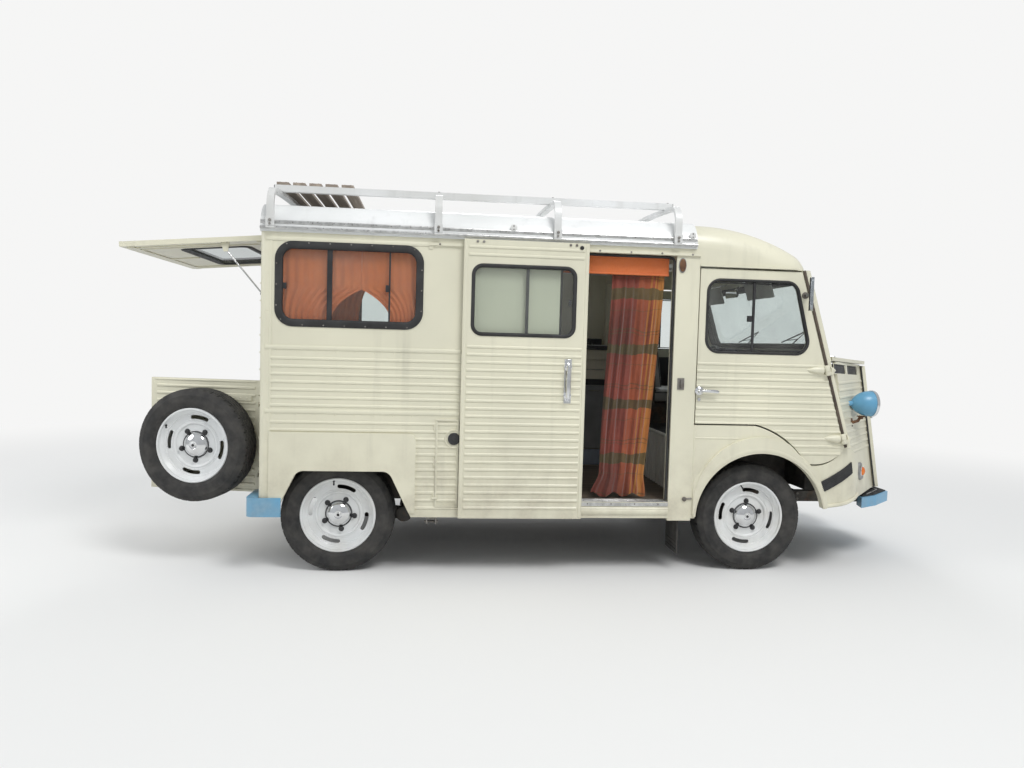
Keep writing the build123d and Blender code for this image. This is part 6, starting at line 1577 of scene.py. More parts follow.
fitted("flap_strips", flap_strips, jack_steel, bevel=0.0008, slot="under_steel")
fitted("flap_bolts", flap_bolts, jack_steel, slot="under_steel")
fitted("flap_ribs", flap_ribs, flap_rubber, slot="rubber_black")

# Cab floor
# A steel platform over the wheels with a foot well on each side, covered by a ribbed rubber mat.
# The wall behind it is lined on the living side with white grooved boards under a capping rail.
dress(underseal, "cab_floor")
platform_z = 0.790
floor_z = 0.444
wall_face_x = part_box("cab_floor")[0].x
mat_front_x = 1.690
floor_mat = [block((0.915, -0.845, platform_z - 0.001), (mat_front_x, 0.845, platform_z + 0.005))]
floor_mat += [block((0.925, y, platform_z + 0.004), (mat_front_x - 0.01, y + 0.020, platform_z + 0.007))
    for y in [-0.828 + 0.0465 * index for index in range(36)]]
fitted("cab_mat", floor_mat, rubber, bevel=0.001, slot="rubber_black")
wall_white = plain_finish("wall_white", (0.70, 0.70, 0.66), (0.56, 0.55, 0.50), (0.35, 0.55), 5.0, 0.0003,
    220.0, 0.0, (1, 1, 0.2))
boards = [block((wall_face_x - 0.005, -0.930, floor_z + 0.004), (wall_face_x + 0.001, 0.930,
    platform_z - 0.004))]
boards += [half_round((wall_face_x - 0.005, y, floor_z + 0.004), (wall_face_x - 0.005, y,
    platform_z - 0.010), (-1, 0, 0), 0.046, 0.011) for y in [-0.899 + 0.062 * index for index in range(30)]]
fitted("wall_boards", boards, wall_white, slot="furniture_wood")
capping = [half_round((wall_face_x - 0.002, -0.930, platform_z + 0.004),
    (wall_face_x - 0.002, 0.930, platform_z + 0.004), (-1, 0, 0), 0.026, 0.016),
    block((wall_face_x - 0.004, -0.930, platform_z - 0.012), (wall_face_x + 0.020, 0.930,
    platform_z + 0.003))]
fitted("wall_capping", capping, wall_white, bevel=0.002, slot="furniture_wood")

# Seats
# Two pressed steel boxes carry foam cushions under a grey leathercloth cover, sewn in three
# channels with a piped edge. The foam swells the cover, so its sides pull in between corners.
seat_vinyl = plain_finish("seat_leathercloth", (0.46, 0.455, 0.44), (0.31, 0.305, 0.29), (0.38, 0.58), 7.0,
    0.0006, 420.0)
piping_vinyl = plain_finish("piping_black", (0.050, 0.050, 0.052), (0.024, 0.024, 0.025), (0.35, 0.5), 20.0,
    0.0003, 300.0)
seat_rear_x = 0.977
seat_centre_y = 0.530


def stuffed(name, size, place, finish, cuts=13):
    """Cushion of a length, width and thickness: crowned, with its sides pulled in midway."""
    cover = bmesh.new()
    bmesh.ops.create_cube(cover, size=2.0)
    bmesh.ops.subdivide_edges(cover, edges=cover.edges[:], cuts=cuts, use_grid_fill=True)
    for point in cover.verts:
        u, v, w = point.co
        crown = 0.66 + 0.34 * (1 - u ** 4) * (1 - v ** 4)
        under = 0.90 + 0.10 * (1 - u ** 4) * (1 - v ** 4)
        swell = 0.985 + 0.015 * (1 - w * w)
        point.co = place @ Vector((size[0] / 2 * u * (1 - 0.030 * (1 - v * v)) * swell,
            size[1] / 2 * v * (1 - 0.030 * (1 - u * u)) * swell, size[2] / 2 * w * (crown if w > 0
            else under)))
    mesh = bpy.data.meshes.new(name)
    cover.to_mesh(mesh)
    cover.free()
    pad = bpy.data.objects.new(name, mesh)
    scene.collection.objects.link(pad)
    mesh.materials.append(finish)
    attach(pad, "body")
    return pad


def as_made(pad):
    """A pad's mesh with its modifiers worked in."""
    return bpy.data.meshes.new_from_object(pad.evaluated_get(bpy.context.evaluated_depsgraph_get()))


def smoothed(pad):
    """Rounds a pad's facets once."""
    soften = pad.modifiers.new("smooth", "SUBSURF")
    soften.levels = soften.render_levels = 1
    pad.data = as_made(pad)
    pad.modifiers.clear()
    pad.data.polygons.foreach_set("use_smooth", [True] * len(pad.data.polygons))


def filled(pads, voxel, most):
    """Foam presses the covers out for 20 steps, and no point moves further than most."""
    for pad in pads:
        even = pad.modifiers.new("even", "REMESH")
        even.mode = "VOXEL"
        even.voxel_size = voxel
        pad_mesh = as_made(pad)
        pad.modifiers.clear()
        pad.data = pad_mesh
        cloth = pad.modifiers.new("foam", "CLOTH")
        cloth.settings.use_pressure = True
        cloth.settings.uniform_pressure_force = 4.0
        cloth.settings.effector_weights.gravity = 0.0
    for step in range(1, 21):
        scene.frame_set(step)
        bpy.context.view_layer.update()
    for pad in pads:
        pressed = as_made(pad)
        for point, moved in zip(pad.data.vertices, pressed.vertices):
            away = moved.co - point.co
            if away.length > most:
                away *= most / away.length
            point.co = point.co + away
        pad.modifiers.clear()
    scene.frame_set(1)


def sewn(pad, place, seams, depth, reach):
    """Draws the cover in along seams across its top face, each a line at one width."""
    back = place.inverted()
    for point in pad.data.vertices:
        local = back @ point.co
        if local.z > 0:
            pull = sum(math.exp(-((local.y - seam) / reach) ** 2) for seam in seams)
            point.co = place @ (local - Vector((0, 0, depth * min(pull, 1.0))))


def piped(name, pad, place, height, radius, finish):
    """Piping round a pad, where a level cut through its sides meets the cover."""
    cut = bmesh.new()
    cut.from_mesh(as_made(pad))
    up = place.to_3x3() @ Vector((0, 0, 1))
    seam = bmesh.ops.bisect_plane(cut, geom=cut.verts[:] + cut.edges[:] + cut.faces[:],
        plane_co=place @ Vector((0, 0, height)), plane_no=up)
    edges = [part for part in seam["geom_cut"] if isinstance(part, bmesh.types.BMEdge)]
    beside = {}
    for edge in edges:
        for end in edge.verts:
            beside.setdefault(end, []).append(edge.other_vert(end))
    start = edges[0].verts[0]
    line, before, here = [start.co.copy()], start, beside[start][0]
    while here is not start:
        line.append(here.co.copy())
        ahead = [other for other in beside[here] if other is not before]
        if not ahead:
            break
        before, here = here, ahead[0]
    cut.free()
    for _ in range(3):
        line = [(line[index - 1] + point + line[(index + 1) % len(line)]) / 3 for index,
            point in enumerate(line)]
    fitted(name, [tube(line[::2] + line[:1], radius, 8)], finish, slot="seat_vinyl")


seat_frames = []
for side in (-1, 1):
    low_y, high_y = sorted((side * 0.322, side * 0.738))
    seat_frames.append(block((seat_rear_x + 0.004, low_y, platform_z + 0.004), (1.393, high_y, 0.955)))
    for y in (low_y - 0.004, high_y - 0.022):
        seat_frames.append(block((seat_rear_x, y, platform_z + 0.004), (1.400, y + 0.026,
            platform_z + 0.018)))
    for index in range(5):
        x = seat_rear_x + 0.05 + 0.078 * index
        for face in (low_y - 0.002, high_y - 0.002):
            seat_frames.append(block((x, face, 0.83), (x + 0.030, face + 0.004, 0.92)))
fitted("seat_boxes", seat_frames, chassis_black, bevel=0.002, slot="seat_vinyl")
seat_pads, seat_places = [], []
back_lean = math.atan2(0.062, 0.485)
for side, name in ((-1, "passenger"), (1, "driver")):
    cushion_place = Matrix.Translation((1.217, side * seat_centre_y, 1.012))
    back_place = (Matrix.Translation((1.022, side * seat_centre_y, 1.312)) @ Matrix.Rotation(math.pi / 2
        - back_lean, 4, "Y"))
    seat_pads.append(stuffed("seat_cushion_" + name, (0.462, 0.500, 0.106), cushion_place, seat_vinyl))
    seat_pads.append(stuffed("seat_back_" + name, (0.490, 0.490, 0.086), back_place, seat_vinyl))
    seat_places += [cushion_place, back_place]
filled(seat_pads, 0.009, 0.006)
for pad, place in zip(seat_pads, seat_places):
    smoothed(pad)
    sewn(pad, place, (-0.082, 0.082), 0.008, 0.009)
    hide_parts("seats")
    piped(pad.name + "_piping", pad, place, 0.022, 0.0042, piping_vinyl)
seat_hinges = []
for side in (-1, 1):
    for reach in (0.262, 0.792):
        y = side * reach
        seat_hinges.append(drawn([[(1.00 + u, y + v, z) for u, v in ((-0.02, -0.003), (0.02, -0.003),
            (0.02, 0.003), (-0.02, 0.003))] for z in (0.94, 1.16)]))
        seat_hinges.append(turned([(-0.006, 0.020), (0.006, 0.020)], (1.005, y, 1.045), (0, 1, 0), 20))
fitted("seat_hinges", seat_hinges, chassis_black, bevel=0.001, slot="seat_vinyl")

# Dashboard
# A padded moulding across the cab with a hooded dial pod, air slots, a lidded glove box and a row
# of switches, all in dark plastic. The steering wheel and its column are of the same plastic.
dash_plastic = plain_finish("dash_plastic", (0.060, 0.063, 0.070), (0.032, 0.034, 0.038), (0.42, 0.62), 8.0,
    0.0005, 380.0)
dress(dash_plastic, "dashboard")
dash_top_z = 1.318
dash_low_z = 1.215


def on_dash(y, z, proud):
    """Point on the dashboard's rear face, which leans forward towards its foot."""
    share = (dash_top_z - z) / (dash_top_z - dash_low_z)
    return Vector((1.5816 + 0.0609 * share - 0.861 * proud, y, z - 0.509 * proud))


def dash_plate(low_y, high_y, low_z, high_z, proud, sunk=0.002):
    """Flat piece on the dashboard's rear face."""
    corners = [(low_y, low_z), (high_y, low_z), (high_y, high_z), (low_y, high_z)]
    return drawn([[on_dash(y, z, height) for y, z in corners] for height in (-sunk, proud)])


dash_details = [dash_plate(-0.780, -0.300, 1.226, 1.308, 0.004), dash_plate(-0.570, -0.510, 1.290, 1.300,
    0.010)]
dash_details += [dash_plate(low_y, high_y, 1.300 - 0.010 * row, 1.304 - 0.010 * row, 0.007) for low_y,
    high_y in ((-0.150, 0.130), (0.640, 0.780)) for row in range(4)]
dash_details += [dash_plate(-0.165, 0.145, 1.222, 1.256, 0.004)]
dash_details += [dash_plate(0.180 + 0.045 * key, 0.212 + 0.045 * key, 1.226, 1.254, 0.010)
    for key in range(3)]
fitted("dash_details", dash_details, dash_plastic, bevel=0.0012, slot="dash_plastic")
pod_loop = corner_loop([(0.262, dash_top_z - 0.004), (0.578, dash_top_z - 0.004), (0.560, 1.392),
    (0.280, 1.392)], 0.030)
pod_ring = [point for point, out in pod_loop]
pod_shrunk = [(0.42 + (y - 0.42) * 0.90, 1.352 + (z - 1.352) * 0.84) for y, z in pod_ring]
dial_pod = drawn([[(1.672, y, z - 0.012) for y, z in pod_ring], [(1.600, y, z) for y, z in pod_ring],
    [(1.582, y, z) for y, z in pod_ring], [(1.582, y, z) for y, z in pod_shrunk],
    [(1.612, y, z) for y, z in pod_shrunk]])
fitted("dial_pod", [dial_pod], dash_plastic, bevel=0.001, slot="dash_plastic")
dial_faces, dial_marks = [], []
for y, radius in ((0.345, 0.030), (0.495, 0.030), (0.420, 0.017)):
    centre = Vector((1.612, y, 1.353))
    dial_faces.append(turned([(0, radius), (0.006, radius), (0.007, radius - 0.002),
        (0.004, radius - 0.003), (0.0035, 0)], centre, (-1, 0, 0), 32))
    for mark in range(13):
        turn = math.radians(-30 + 20 * mark)
        reach = Vector((0, math.cos(turn), math.sin(turn)))
        dial_marks.append(rod(centre + Vector((-0.005, 0, 0)) + reach * (radius - 0.008),
            centre + Vector((-0.005, 0, 0)) + reach * (radius - 0.004), 0.0006, 4))
    needle = Vector((0, 0.8, 0.6)) * (radius - 0.007)
    dial_marks.append(rod(centre + Vector((-0.0055, 0, 0)), centre + Vector((-0.0055, 0, 0)) + needle,
        0.0008, 4))
fitted("dials", dial_faces, black_plastic, slot="dash_plastic")
fitted("dial_marks", dial_marks, plate_white, slot="dash_plastic")

# Cab controls
# A gear lever in a rubber boot between the seats, a hand brake beside it, three hung pedals in the
# driver's well, two padded sun visors and an inner mirror over the windscreen.
knob = [(0.0, 0.010), (0.006, 0.018), (0.020, 0.023), (0.034, 0.020), (0.042, 0.010), (0.044, 0.0)]
gear_foot = Vector((1.430, 0.090, platform_z + 0.004))
gear_top = Vector((1.375, 0.070, 1.110))
boot_profile = [(0.0, 0.062)] + [(0.010 + 0.014 * fold, 0.056 - 0.010 * (fold // 2) - 0.008 * (fold % 2))
    for fold in range(7)]
brake_foot = Vector((1.170, -0.060, platform_z + 0.030))
brake_top = Vector((1.400, -0.060, 1.000))
fitted("gear_lever", [rod(gear_foot, gear_top, 0.0065), rod(brake_foot, brake_top, 0.010),
    block(brake_foot - Vector((0.05, 0.024, 0.028)), brake_foot + Vector((0.07, 0.024, 0.026)))],
    jack_steel, bevel=0.001)
fitted("lever_grips", [turned(knob, gear_top - Vector((0, 0, 0.012)), gear_top - gear_foot, 24),
    turned([(0.0, 0.012), (0.01, 0.016), (0.10, 0.015), (0.112, 0.010), (0.114, 0)],
    brake_foot.lerp(brake_top, 0.72), brake_top - brake_foot, 20), turned(boot_profile, gear_foot,
    gear_top - gear_foot, 28)], rubber, slot="rubber_black")
pedals, pedal_pads = [], []
for y in (0.330, 0.510, 0.620):
    pad_place = Vector((1.790, y, 0.620))
    pedals.append(tube([(1.872, y, 0.765), (1.845, y, 0.730), (1.812, y, 0.660), pad_place], 0.007, 10))
    pedals.append(block((1.866, y - 0.020, 0.745), (1.884, y + 0.020, 0.785)))
    face = [(-0.030, -0.024), (0.030, -0.024), (0.030, 0.024), (-0.030, 0.024)]
    for lift, share in ((0.004, 1.0), (0.010, 0.82)):
        pedal_pads.append(drawn([[pad_place + Vector((-height - 0.45 * v * share, u * share,
            0.9 * v * share)) for u, v in face] for height in (lift - 0.006, lift)]))
fitted("pedals", pedals, jack_steel, slot="under_steel")
fitted("pedal_pads", pedal_pads, rubber, bevel=0.001, slot="rubber_black")
visor_vinyl = plain_finish("visor_vinyl", (0.50, 0.49, 0.46), (0.38, 0.37, 0.34), (0.5, 0.7), 9.0, 0.0005,
    360.0)
for side, name in ((-1, "passenger"), (1, "driver")):
    place = (Matrix.Translation((door_line(1.79) - 0.062, side * 0.430,
        1.790)) @ Matrix.Rotation(math.pi / 2 - hinge_lean, 4, "Y"))
    smoothed(stuffed("sun_visor_" + name, (0.130, 0.420, 0.018), place, visor_vinyl, 9))
visor_rod_z, bracket_z = 1.856, 1.870
rod_x = door_line(visor_rod_z) - 0.062
visor_rods = []
for side in (-1, 1):
    inner, outer = [(rod_x, side * y, visor_rod_z) for y in (0.210, 0.655)]
    visor_rods.append(rod(inner, outer, 0.004))
    visor_rods += [rod(end, (door_line(bracket_z) - 0.012, side * y, bracket_z), 0.004) for end,
        y in ((outer, 0.665), (inner, 0.200))]
mirror_x = door_line(1.80) - 0.075
visor_rods.append(rod((mirror_x, 0, 1.790), (door_line(1.845) - 0.010, 0, 1.845), 0.005))
fitted("visor_rods", visor_rods, chrome, slot="mirror_black")
inner_mirror = upright((-0.105, 1.758), (0.105, 1.812), 0.016)
fitted("inner_mirror", [drawn([[(mirror_x + depth, point[0] - out[0] * inset, point[1] - out[1] * inset)
    for point, out in inner_mirror] for depth, inset in ((0.014, 0.008), (0.008, 0.001), (-0.004, 0.0),
    (-0.005, 0.002))])], black_plastic, slot="mirror_black")
fitted("inner_mirror_glass", [drawn([[(mirror_x + depth, point[0] - 0.003 * out[0],
    point[1] - 0.003 * out[1]) for point, out in inner_mirror] for depth in (-0.0045, -0.0062)])], silvered,
    slot="mirror_black")

# Living floor
# A steel floor and wheel boxes in black underseal. Brown boards lie on it.
dress(underseal, "load_floor")
board_brown = plain_finish("board_brown", (0.175, 0.135, 0.100), (0.085, 0.064, 0.048), (0.38, 0.62), 4.0,
    0.0003, 140.0, 0.0, (0.3, 6, 1))
floor_boards = []
for row in range(14):
    board_y = -0.925 + 0.0945 * row
    for start_x, end_x in ((-0.515, 0.190 - 0.22 * (row % 3)), (0.192 - 0.22 * (row % 3),
            wall_face_x - 0.012)):
        floor_boards.append(block((start_x, board_y, floor_z - 0.001), (end_x, board_y + 0.0937,
            floor_z + 0.0035)))
fitted("floor_boards", floor_boards, board_brown, bevel=0.0009, slot="furniture_wood")

# Kitchen and bed base
# Cream laminate boxes: a kitchen with a dark worktop, drawers, doors over a blue kick board, a hob
# and a sink on the driver's side, and a bench across the back that carries the bed.
laminate = plain_finish("cream_laminate", (0.60, 0.57, 0.47), (0.50, 0.47, 0.38), (0.30, 0.48), 5.0, 0.0003,
    200.0)
dress(laminate, "furniture")
front_y = 0.420
kitchen_rear_x = -0.220
kitchen_front_x = 0.740
worktop_z = 1.380
slate = plain_finish("slate_worktop", (0.050, 0.050, 0.054), (0.020, 0.020, 0.022), (0.25, 0.45), 30.0,
    0.0002, 240.0)
fitted("worktop", [block((kitchen_rear_x - 0.013, front_y - 0.023, worktop_z - 0.030),
    (kitchen_front_x + 0.013, 0.933, worktop_z + 0.002)), block((kitchen_rear_x, 0.918, worktop_z),
    (kitchen_front_x, 0.933, worktop_z + 0.060))], slate, bevel=0.0015, slot="furniture_wood")
# Painted shade: the cupboard doors are darkened to grey for the shade they stand in.
shaded_door_grey = plain_finish("shaded_door_grey", (0.230, 0.235, 0.245), (0.165, 0.170, 0.180), (0.35, 0.5),
    6.0, 0.0003, 220.0)
kick_blue = plain_finish("kick_blue", (0.33, 0.38, 0.46), (0.24, 0.28, 0.35), (0.4, 0.6), 8.0, 0.0003,
    200.0)
column_width = (kitchen_front_x - kitchen_rear_x) / 3
fronts, doors, pulls = [], [], []
for column in range(3):
    low_x = kitchen_rear_x + column_width * column + 0.004
    high_x = low_x + column_width - 0.008
    for low_z, high_z in ((1.272, 1.346), (1.122, 1.266)):
        fronts.append(block((low_x, front_y - 0.018, low_z), (high_x, front_y + 0.001, high_z)))
    doors.append(block((low_x, front_y - 0.018, 0.578), (high_x, front_y + 0.001, 1.072)))
    for z, reach in ((1.196, 0.065), (1.030, 0.045)):
        middle = (low_x + high_x) / 2
        pulls.append(tube([(middle + way * reach, front_y - depth, z) for way,
            depth in ((-1, 0.017), (-1, 0.036), (1, 0.036), (1, 0.017))], 0.004, 8))
# Painted shade: a black strip stands in the dark gap between the drawers and the doors.
gap = block((kitchen_rear_x + 0.002, front_y - 0.006, 1.074), (kitchen_front_x - 0.002, front_y + 0.001,
    1.120))
kick = block((kitchen_rear_x + 0.002, front_y - 0.010, floor_z + 0.006),
    (kitchen_front_x - 0.002, front_y + 0.001, 0.572))
fitted("drawer_fronts", fronts, laminate, bevel=0.002, slot="furniture_wood")
fitted("cupboard_doors", doors, shaded_door_grey, bevel=0.002, slot="furniture_wood")
fitted("shaded_drawer_gap", [gap], black_plastic, bevel=0.001, slot="furniture_wood")
fitted("kick_board", [kick], kick_blue, bevel=0.001, slot="furniture_wood")
fitted("kitchen_pulls", pulls, ground_steel, slot="furniture_wood")
hob_z = worktop_z + 0.002
hob_parts = [drawn([[(point[0] + out[0] * inset, point[1] + out[1] * inset, hob_z + lift) for point,
    out in upright((0.230, 0.500), (0.690, 0.860), 0.020)] for inset,
    lift in ((0.0, 0.0), (0.0, 0.004), (-0.004, 0.006))])]
burner_parts = []
for x, y, radius in ((0.345, 0.690, 0.050), (0.575, 0.690, 0.038)):
    burner_parts.append(turned([(0, radius), (0.010, radius), (0.014, radius - 0.006), (0.014, 0.012),
        (0.012, 0)], (x, y, hob_z + 0.006), (0, 0, 1), 28))
    for arm in range(4):
        turn = math.radians(90 * arm + 45)
        reach = Vector((math.cos(turn), math.sin(turn), 0))
        centre = Vector((x, y, hob_z + 0.030))
        burner_parts.append(tube([centre + reach * 0.018, centre + reach * (radius + 0.040),
            centre + reach * (radius + 0.042) - Vector((0, 0, 0.024))], 0.003, 6))
for x in (0.36, 0.46, 0.56):
    burner_parts.append(turned([(0, 0.016), (0.016, 0.014), (0.018, 0.010), (0.018, 0)],
        (x, 0.535, hob_z + 0.005), (0, 0, 1), 20))
fitted("hob_plate", hob_parts, ground_steel, slot="furniture_wood")
fitted("hob_burners", burner_parts, black_plastic, slot="furniture_wood")
sink_x = -0.010
sink_rim = []
for u, v in ((0.0, 0.0), (0.0, 0.005), (-0.012, 0.006), (-0.016, 0.003), (-0.020, 0.0015)):
    sink_rim.append([(sink_x + (0.150 + u) * math.cos(math.radians(10 * index)),
        0.680 + (0.150 + u) * math.sin(math.radians(10 * index)), hob_z + v) for index in range(36)])
fitted("sink_bowl", [drawn(sink_rim)], ground_steel, slot="furniture_wood")
tap_path = [(sink_x, y, hob_z + lift) for y, lift in ((0.872, 0), (0.872, 0.150), (0.850, 0.186),
    (0.800, 0.200), (0.752, 0.186), (0.740, 0.166))]
tap = [tube(tap_path, 0.009, 12), turned([(0, 0.024), (0.006, 0.024), (0.010, 0.016), (0.020, 0.014)],
    tap_path[0], (0, 0, 1), 20), turned([(0.02, 0.011), (0.05, 0.013), (0.056, 0.008), (0.058, 0)],
    (sink_x, 0.872, hob_z + 0.03), (1, 0, 0), 16)]
fitted("tap", tap, chrome, slot="furniture_wood")
bench_face_x = -0.520
bench_doors, bench_knobs = [], []
for index in range(4):
    low_y = -0.924 + 0.464 * index
    bench_doors.append(block((bench_face_x - 0.001, low_y, floor_z + 0.046),
        (bench_face_x + 0.016, low_y + 0.456, 0.832)))
    bench_knobs.append(turned([(0, 0.006), (0.012, 0.006), (0.014, 0.015), (0.022, 0.014), (0.024, 0.0)],
        (bench_face_x + 0.016, low_y + 0.228, 0.780), (1, 0, 0), 20))
bench_doors.append(half_round((bench_face_x, -0.928, 0.850), (bench_face_x, 0.928, 0.850), (1, 0, 0), 0.022,
    0.008))
fitted("bench_doors", bench_doors, laminate, bevel=0.002, slot="furniture_wood")
fitted("bench_knobs", bench_knobs, ground_steel, slot="furniture_wood")

# Mattress
# Three foam cushions in a woven rust-coloured cover with piped edges, laid side by side on the
# bench from wall to wall.
def woven(name, colour, dark, rough=(0.75, 0.95)):
    """Woven cloth: slow fading, threads one way and the other, and a soft sheen."""
    tree, shader, finish = start_finish(name)
    tone = shade(tree, mottle(tree, 3.0, 4.0), 0.3, 0.7, dark, colour)
    threads = mottle(tree, 240.0, 2.0, (1, 1, 0.25))
    tone = laid_over(tree, spread(tree, threads, 0.45, 0.75, 0.0, 0.45), tone,
        shade(tree, threads, 0.3, 0.7, times(0.7, dark), dark))
    tree.links.new(tone, shader.inputs["Base Color"])
    tree.links.new(spread(tree, mottle(tree, 30.0, 2.0), 0.3, 0.7, *rough), shader.inputs["Roughness"])
    shader.inputs["Sheen Weight"].default_value = 0.25
    shader.inputs["Sheen Roughness"].default_value = 0.5
    grain(tree, shader, mottle(tree, 420.0, 2.0), 0.0005)
    return finish


mattress_cloth = woven("mattress_cloth", (0.36, 0.135, 0.055), (0.24, 0.080, 0.035))
mattress_low, mattress_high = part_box("mattress")
cushion_length = (mattress_high.x - mattress_low.x) / 3
mattress_pads, mattress_places = [], []
for index in range(3):
    place = Matrix.Translation((mattress_low.x + cushion_length * (index + 0.5), 0,
        (mattress_low.z + mattress_high.z) / 2 + 0.001))
    mattress_pads.append(stuffed("mattress_cushion_" + "abc"[index], (cushion_length - 0.014, 1.780, 0.084),
        place, mattress_cloth, 15))
    mattress_places.append(place)
filled(mattress_pads, 0.014, 0.008)
for pad, place in zip(mattress_pads, mattress_places):
    smoothed(pad)
    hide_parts("mattress")
    piped(pad.name + "_piping", pad, place, 0.020, 0.0040, mattress_cloth)

# Curtains
# An orange blind and a checked cotton curtain hang inside the doorway, the curtain swept forward
# with its foot on the floor. Short orange curtains hang inside the rear side windows.
curtain_low_z = 0.470
curtain_top_z = 1.846
curtain_y = -0.884
curtain_lean = 0.0723


def checked(name):
    """Rust cotton with olive bands across, thin dark lines, and yellow stripes down one edge; its rear half
    is darkened as painted shade.
    """
    tree, shader, finish = start_finish(name)
    place = add(tree, "TexCoord", {}, "Object")
    along, height = [add(tree, "SeparateXYZ", {"Vector": place}, axis) for axis in "XZ"]

    def worked(kind, *values):
        return add(tree, "Math", dict(enumerate(values)), operation=kind)

    def banded(value, stops):
        scale = tree.nodes.new("ShaderNodeValToRGB")
        scale.color_ramp.interpolation = "CONSTANT"
        for index, (position, share) in enumerate(stops):
            if index > 1:
                scale.color_ramp.elements.new(position)
            scale.color_ramp.elements[index].position = position
            scale.color_ramp.elements[index].color = (share, share, share, 1)
        tree.links.new(value, scale.inputs["Fac"])
        return scale.outputs["Color"]

    ripple = spread(tree, mottle(tree, 9.0, 2.0), 0.3, 0.7, -0.012, 0.012)
    rippled = worked("ADD", height, ripple)
    down = worked("FRACT", worked("DIVIDE", worked("SUBTRACT", rippled, 0.33), 0.335), 0.0)
    over = worked("MULTIPLY_ADD", height, -curtain_lean, along)
    reach = spread(tree, over, 0.285, 0.590, 0.0, 1.0)
    rust = shade(tree, mottle(tree, 2.4, 3.0), 0.3, 0.7, (0.150, 0.040, 0.022), (0.310, 0.075, 0.030))
    # Darker copy of the rust, used as painted shade.
    shaded_rust = shade(tree, mottle(tree, 2.4, 3.0), 0.3, 0.7, (0.095, 0.030, 0.022), (0.190, 0.038, 0.030))
    olive = shade(tree, mottle(tree, 4.0, 3.0), 0.3, 0.7, (0.045, 0.046, 0.020), (0.088, 0.080, 0.030))
    yellow = shade(tree, mottle(tree, 4.0, 3.0), 0.3, 0.7, (0.38, 0.140, 0.030), (0.47, 0.220, 0.045))
    # Painted shade: the curtain's rear half takes the darker copy of the rust.
    tone = laid_over(tree, banded(reach, ((0.0, 0.75), (0.46, 0.0))), rust, shaded_rust)
    stripes = banded(reach, ((0.0, 0.0), (0.70, 0.55), (0.735, 0.0), (0.79, 0.80), (0.82, 0.15),
        (0.85, 0.75), (0.96, 0.35)))
    tone = laid_over(tree, stripes, tone, yellow)
    bands = banded(down, ((0.0, 0.85), (0.18, 0.0), (0.36, 0.55), (0.378, 0.0), (0.42, 0.55), (0.438, 0.0),
        (0.80, 0.40), (0.815, 0.0)))
    tone = laid_over(tree, bands, tone, olive)
    tree.links.new(tone, shader.inputs["Base Color"])
    tree.links.new(spread(tree, mottle(tree, 40.0, 2.0), 0.3, 0.7, 0.75, 0.95), shader.inputs["Roughness"])
    shader.inputs["Sheen Weight"].default_value = 0.2
    grain(tree, shader, mottle(tree, 400.0, 2.0), 0.0004)
    return finish


def hung_cloth(name, columns, rows, at):
    """Single sheet of cloth from a grid of points: at(across, down), both from 0 to 1."""
    mesh = bpy.data.meshes.new(name)
    points = [tuple(at(column / columns, row / rows)) for row in range(rows + 1)
        for column in range(columns + 1)]
    wide = columns + 1
    faces = [(row * wide + column, row * wide + column + 1, (row + 1) * wide + column + 1,
        (row + 1) * wide + column) for row in range(rows) for column in range(columns)]
    mesh.from_pydata(points, [], faces)
    mesh.polygons.foreach_set("use_smooth", [True] * len(faces))
    cloth = bpy.data.objects.new(name, mesh)
    scene.collection.objects.link(cloth)
    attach(cloth, "body")
    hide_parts("curtains")
    return cloth


def eased(value):
    """Runs from 0 to 1 with a soft start and end."""
    value = min(max(value, 0.0), 1.0)
    return value * value * (3 - 2 * value)


def door_curtain_at(across, down):
    """The swept curtain: folds that wander as they fall, and a foot bunched on the floor."""
    z = curtain_top_z + (curtain_low_z - curtain_top_z) * down
    rear_x = 0.385 - 0.042 * eased(down * 1.2)
    front_x = 0.708 - 0.094 * down ** 1.4
    foot = eased((down - 0.90) / 0.10)
    x = rear_x + (front_x - rear_x) * across
    x += foot * (0.030 - 0.075 * (1 - across)) + 0.006 * math.sin(9 * across + 3.0 * down)
    depth = 0.006 + 0.010 * eased(down * 3) - 0.003 * eased((down - 0.6) * 3)
    wave = math.sin(2 * math.pi * (6.0 * across + 0.35 * math.sin(2.2 * down + 4.0 * across)))
    wave += 0.35 * math.sin(2 * math.pi * (11.0 * across + 0.8 * down))
    y = curtain_y + depth * 0.75 * wave + foot * 0.012 * math.sin(14 * across)
    z += 0.004 * math.sin(20 * across) * eased(down * 4) + foot * 0.012 * math.sin(17 * across + 1.0)
    return x, y, z


checked_cotton = checked("checked_cotton")
door_curtain = hung_cloth("door_curtain", 150, 90, door_curtain_at)
door_curtain.data.materials.append(checked_cotton)
rod_z = 1.858
rod_end = (-0.040, curtain_y, rod_z)
bracket_x, wall_y = -0.030, -0.934
ring_turns = [step * math.pi / 6 for step in range(13)]
rings = []
for index in range(9):
    centre = Vector((0.395 + 0.0375 * index, curtain_y, rod_z))
    rings.append(tube([centre + Vector((0.003 * math.sin(turn), 0.011 * math.cos(turn),
        0.011 * math.sin(turn))) for turn in ring_turns], 0.0016, 6))
curtain_rings = fitted("curtain_rings", rings, aluminium, slot="curtain_cloth")
rod_pieces = [rod(rod_end, (0.757, curtain_y, rod_z), 0.0065, 14), turned([(0, 0.006), (0.004, 0.011),
    (0.014, 0.011), (0.018, 0.0)], rod_end, (-1, 0, 0), 16), rod((bracket_x, curtain_y, rod_z),
    (bracket_x, wall_y, rod_z), 0.005), turned([(0, 0.014), (0.004, 0.014), (0.005, 0.0)],
    (bracket_x, wall_y, rod_z), (0, 1, 0), 16)]
curtain_rod = fitted("curtain_rod", rod_pieces, aluminium, slot="curtain_cloth")

orange_cloth = woven("orange_cloth", (0.72, 0.200, 0.058), (0.58, 0.140, 0.042))
blind_low_z = 1.809


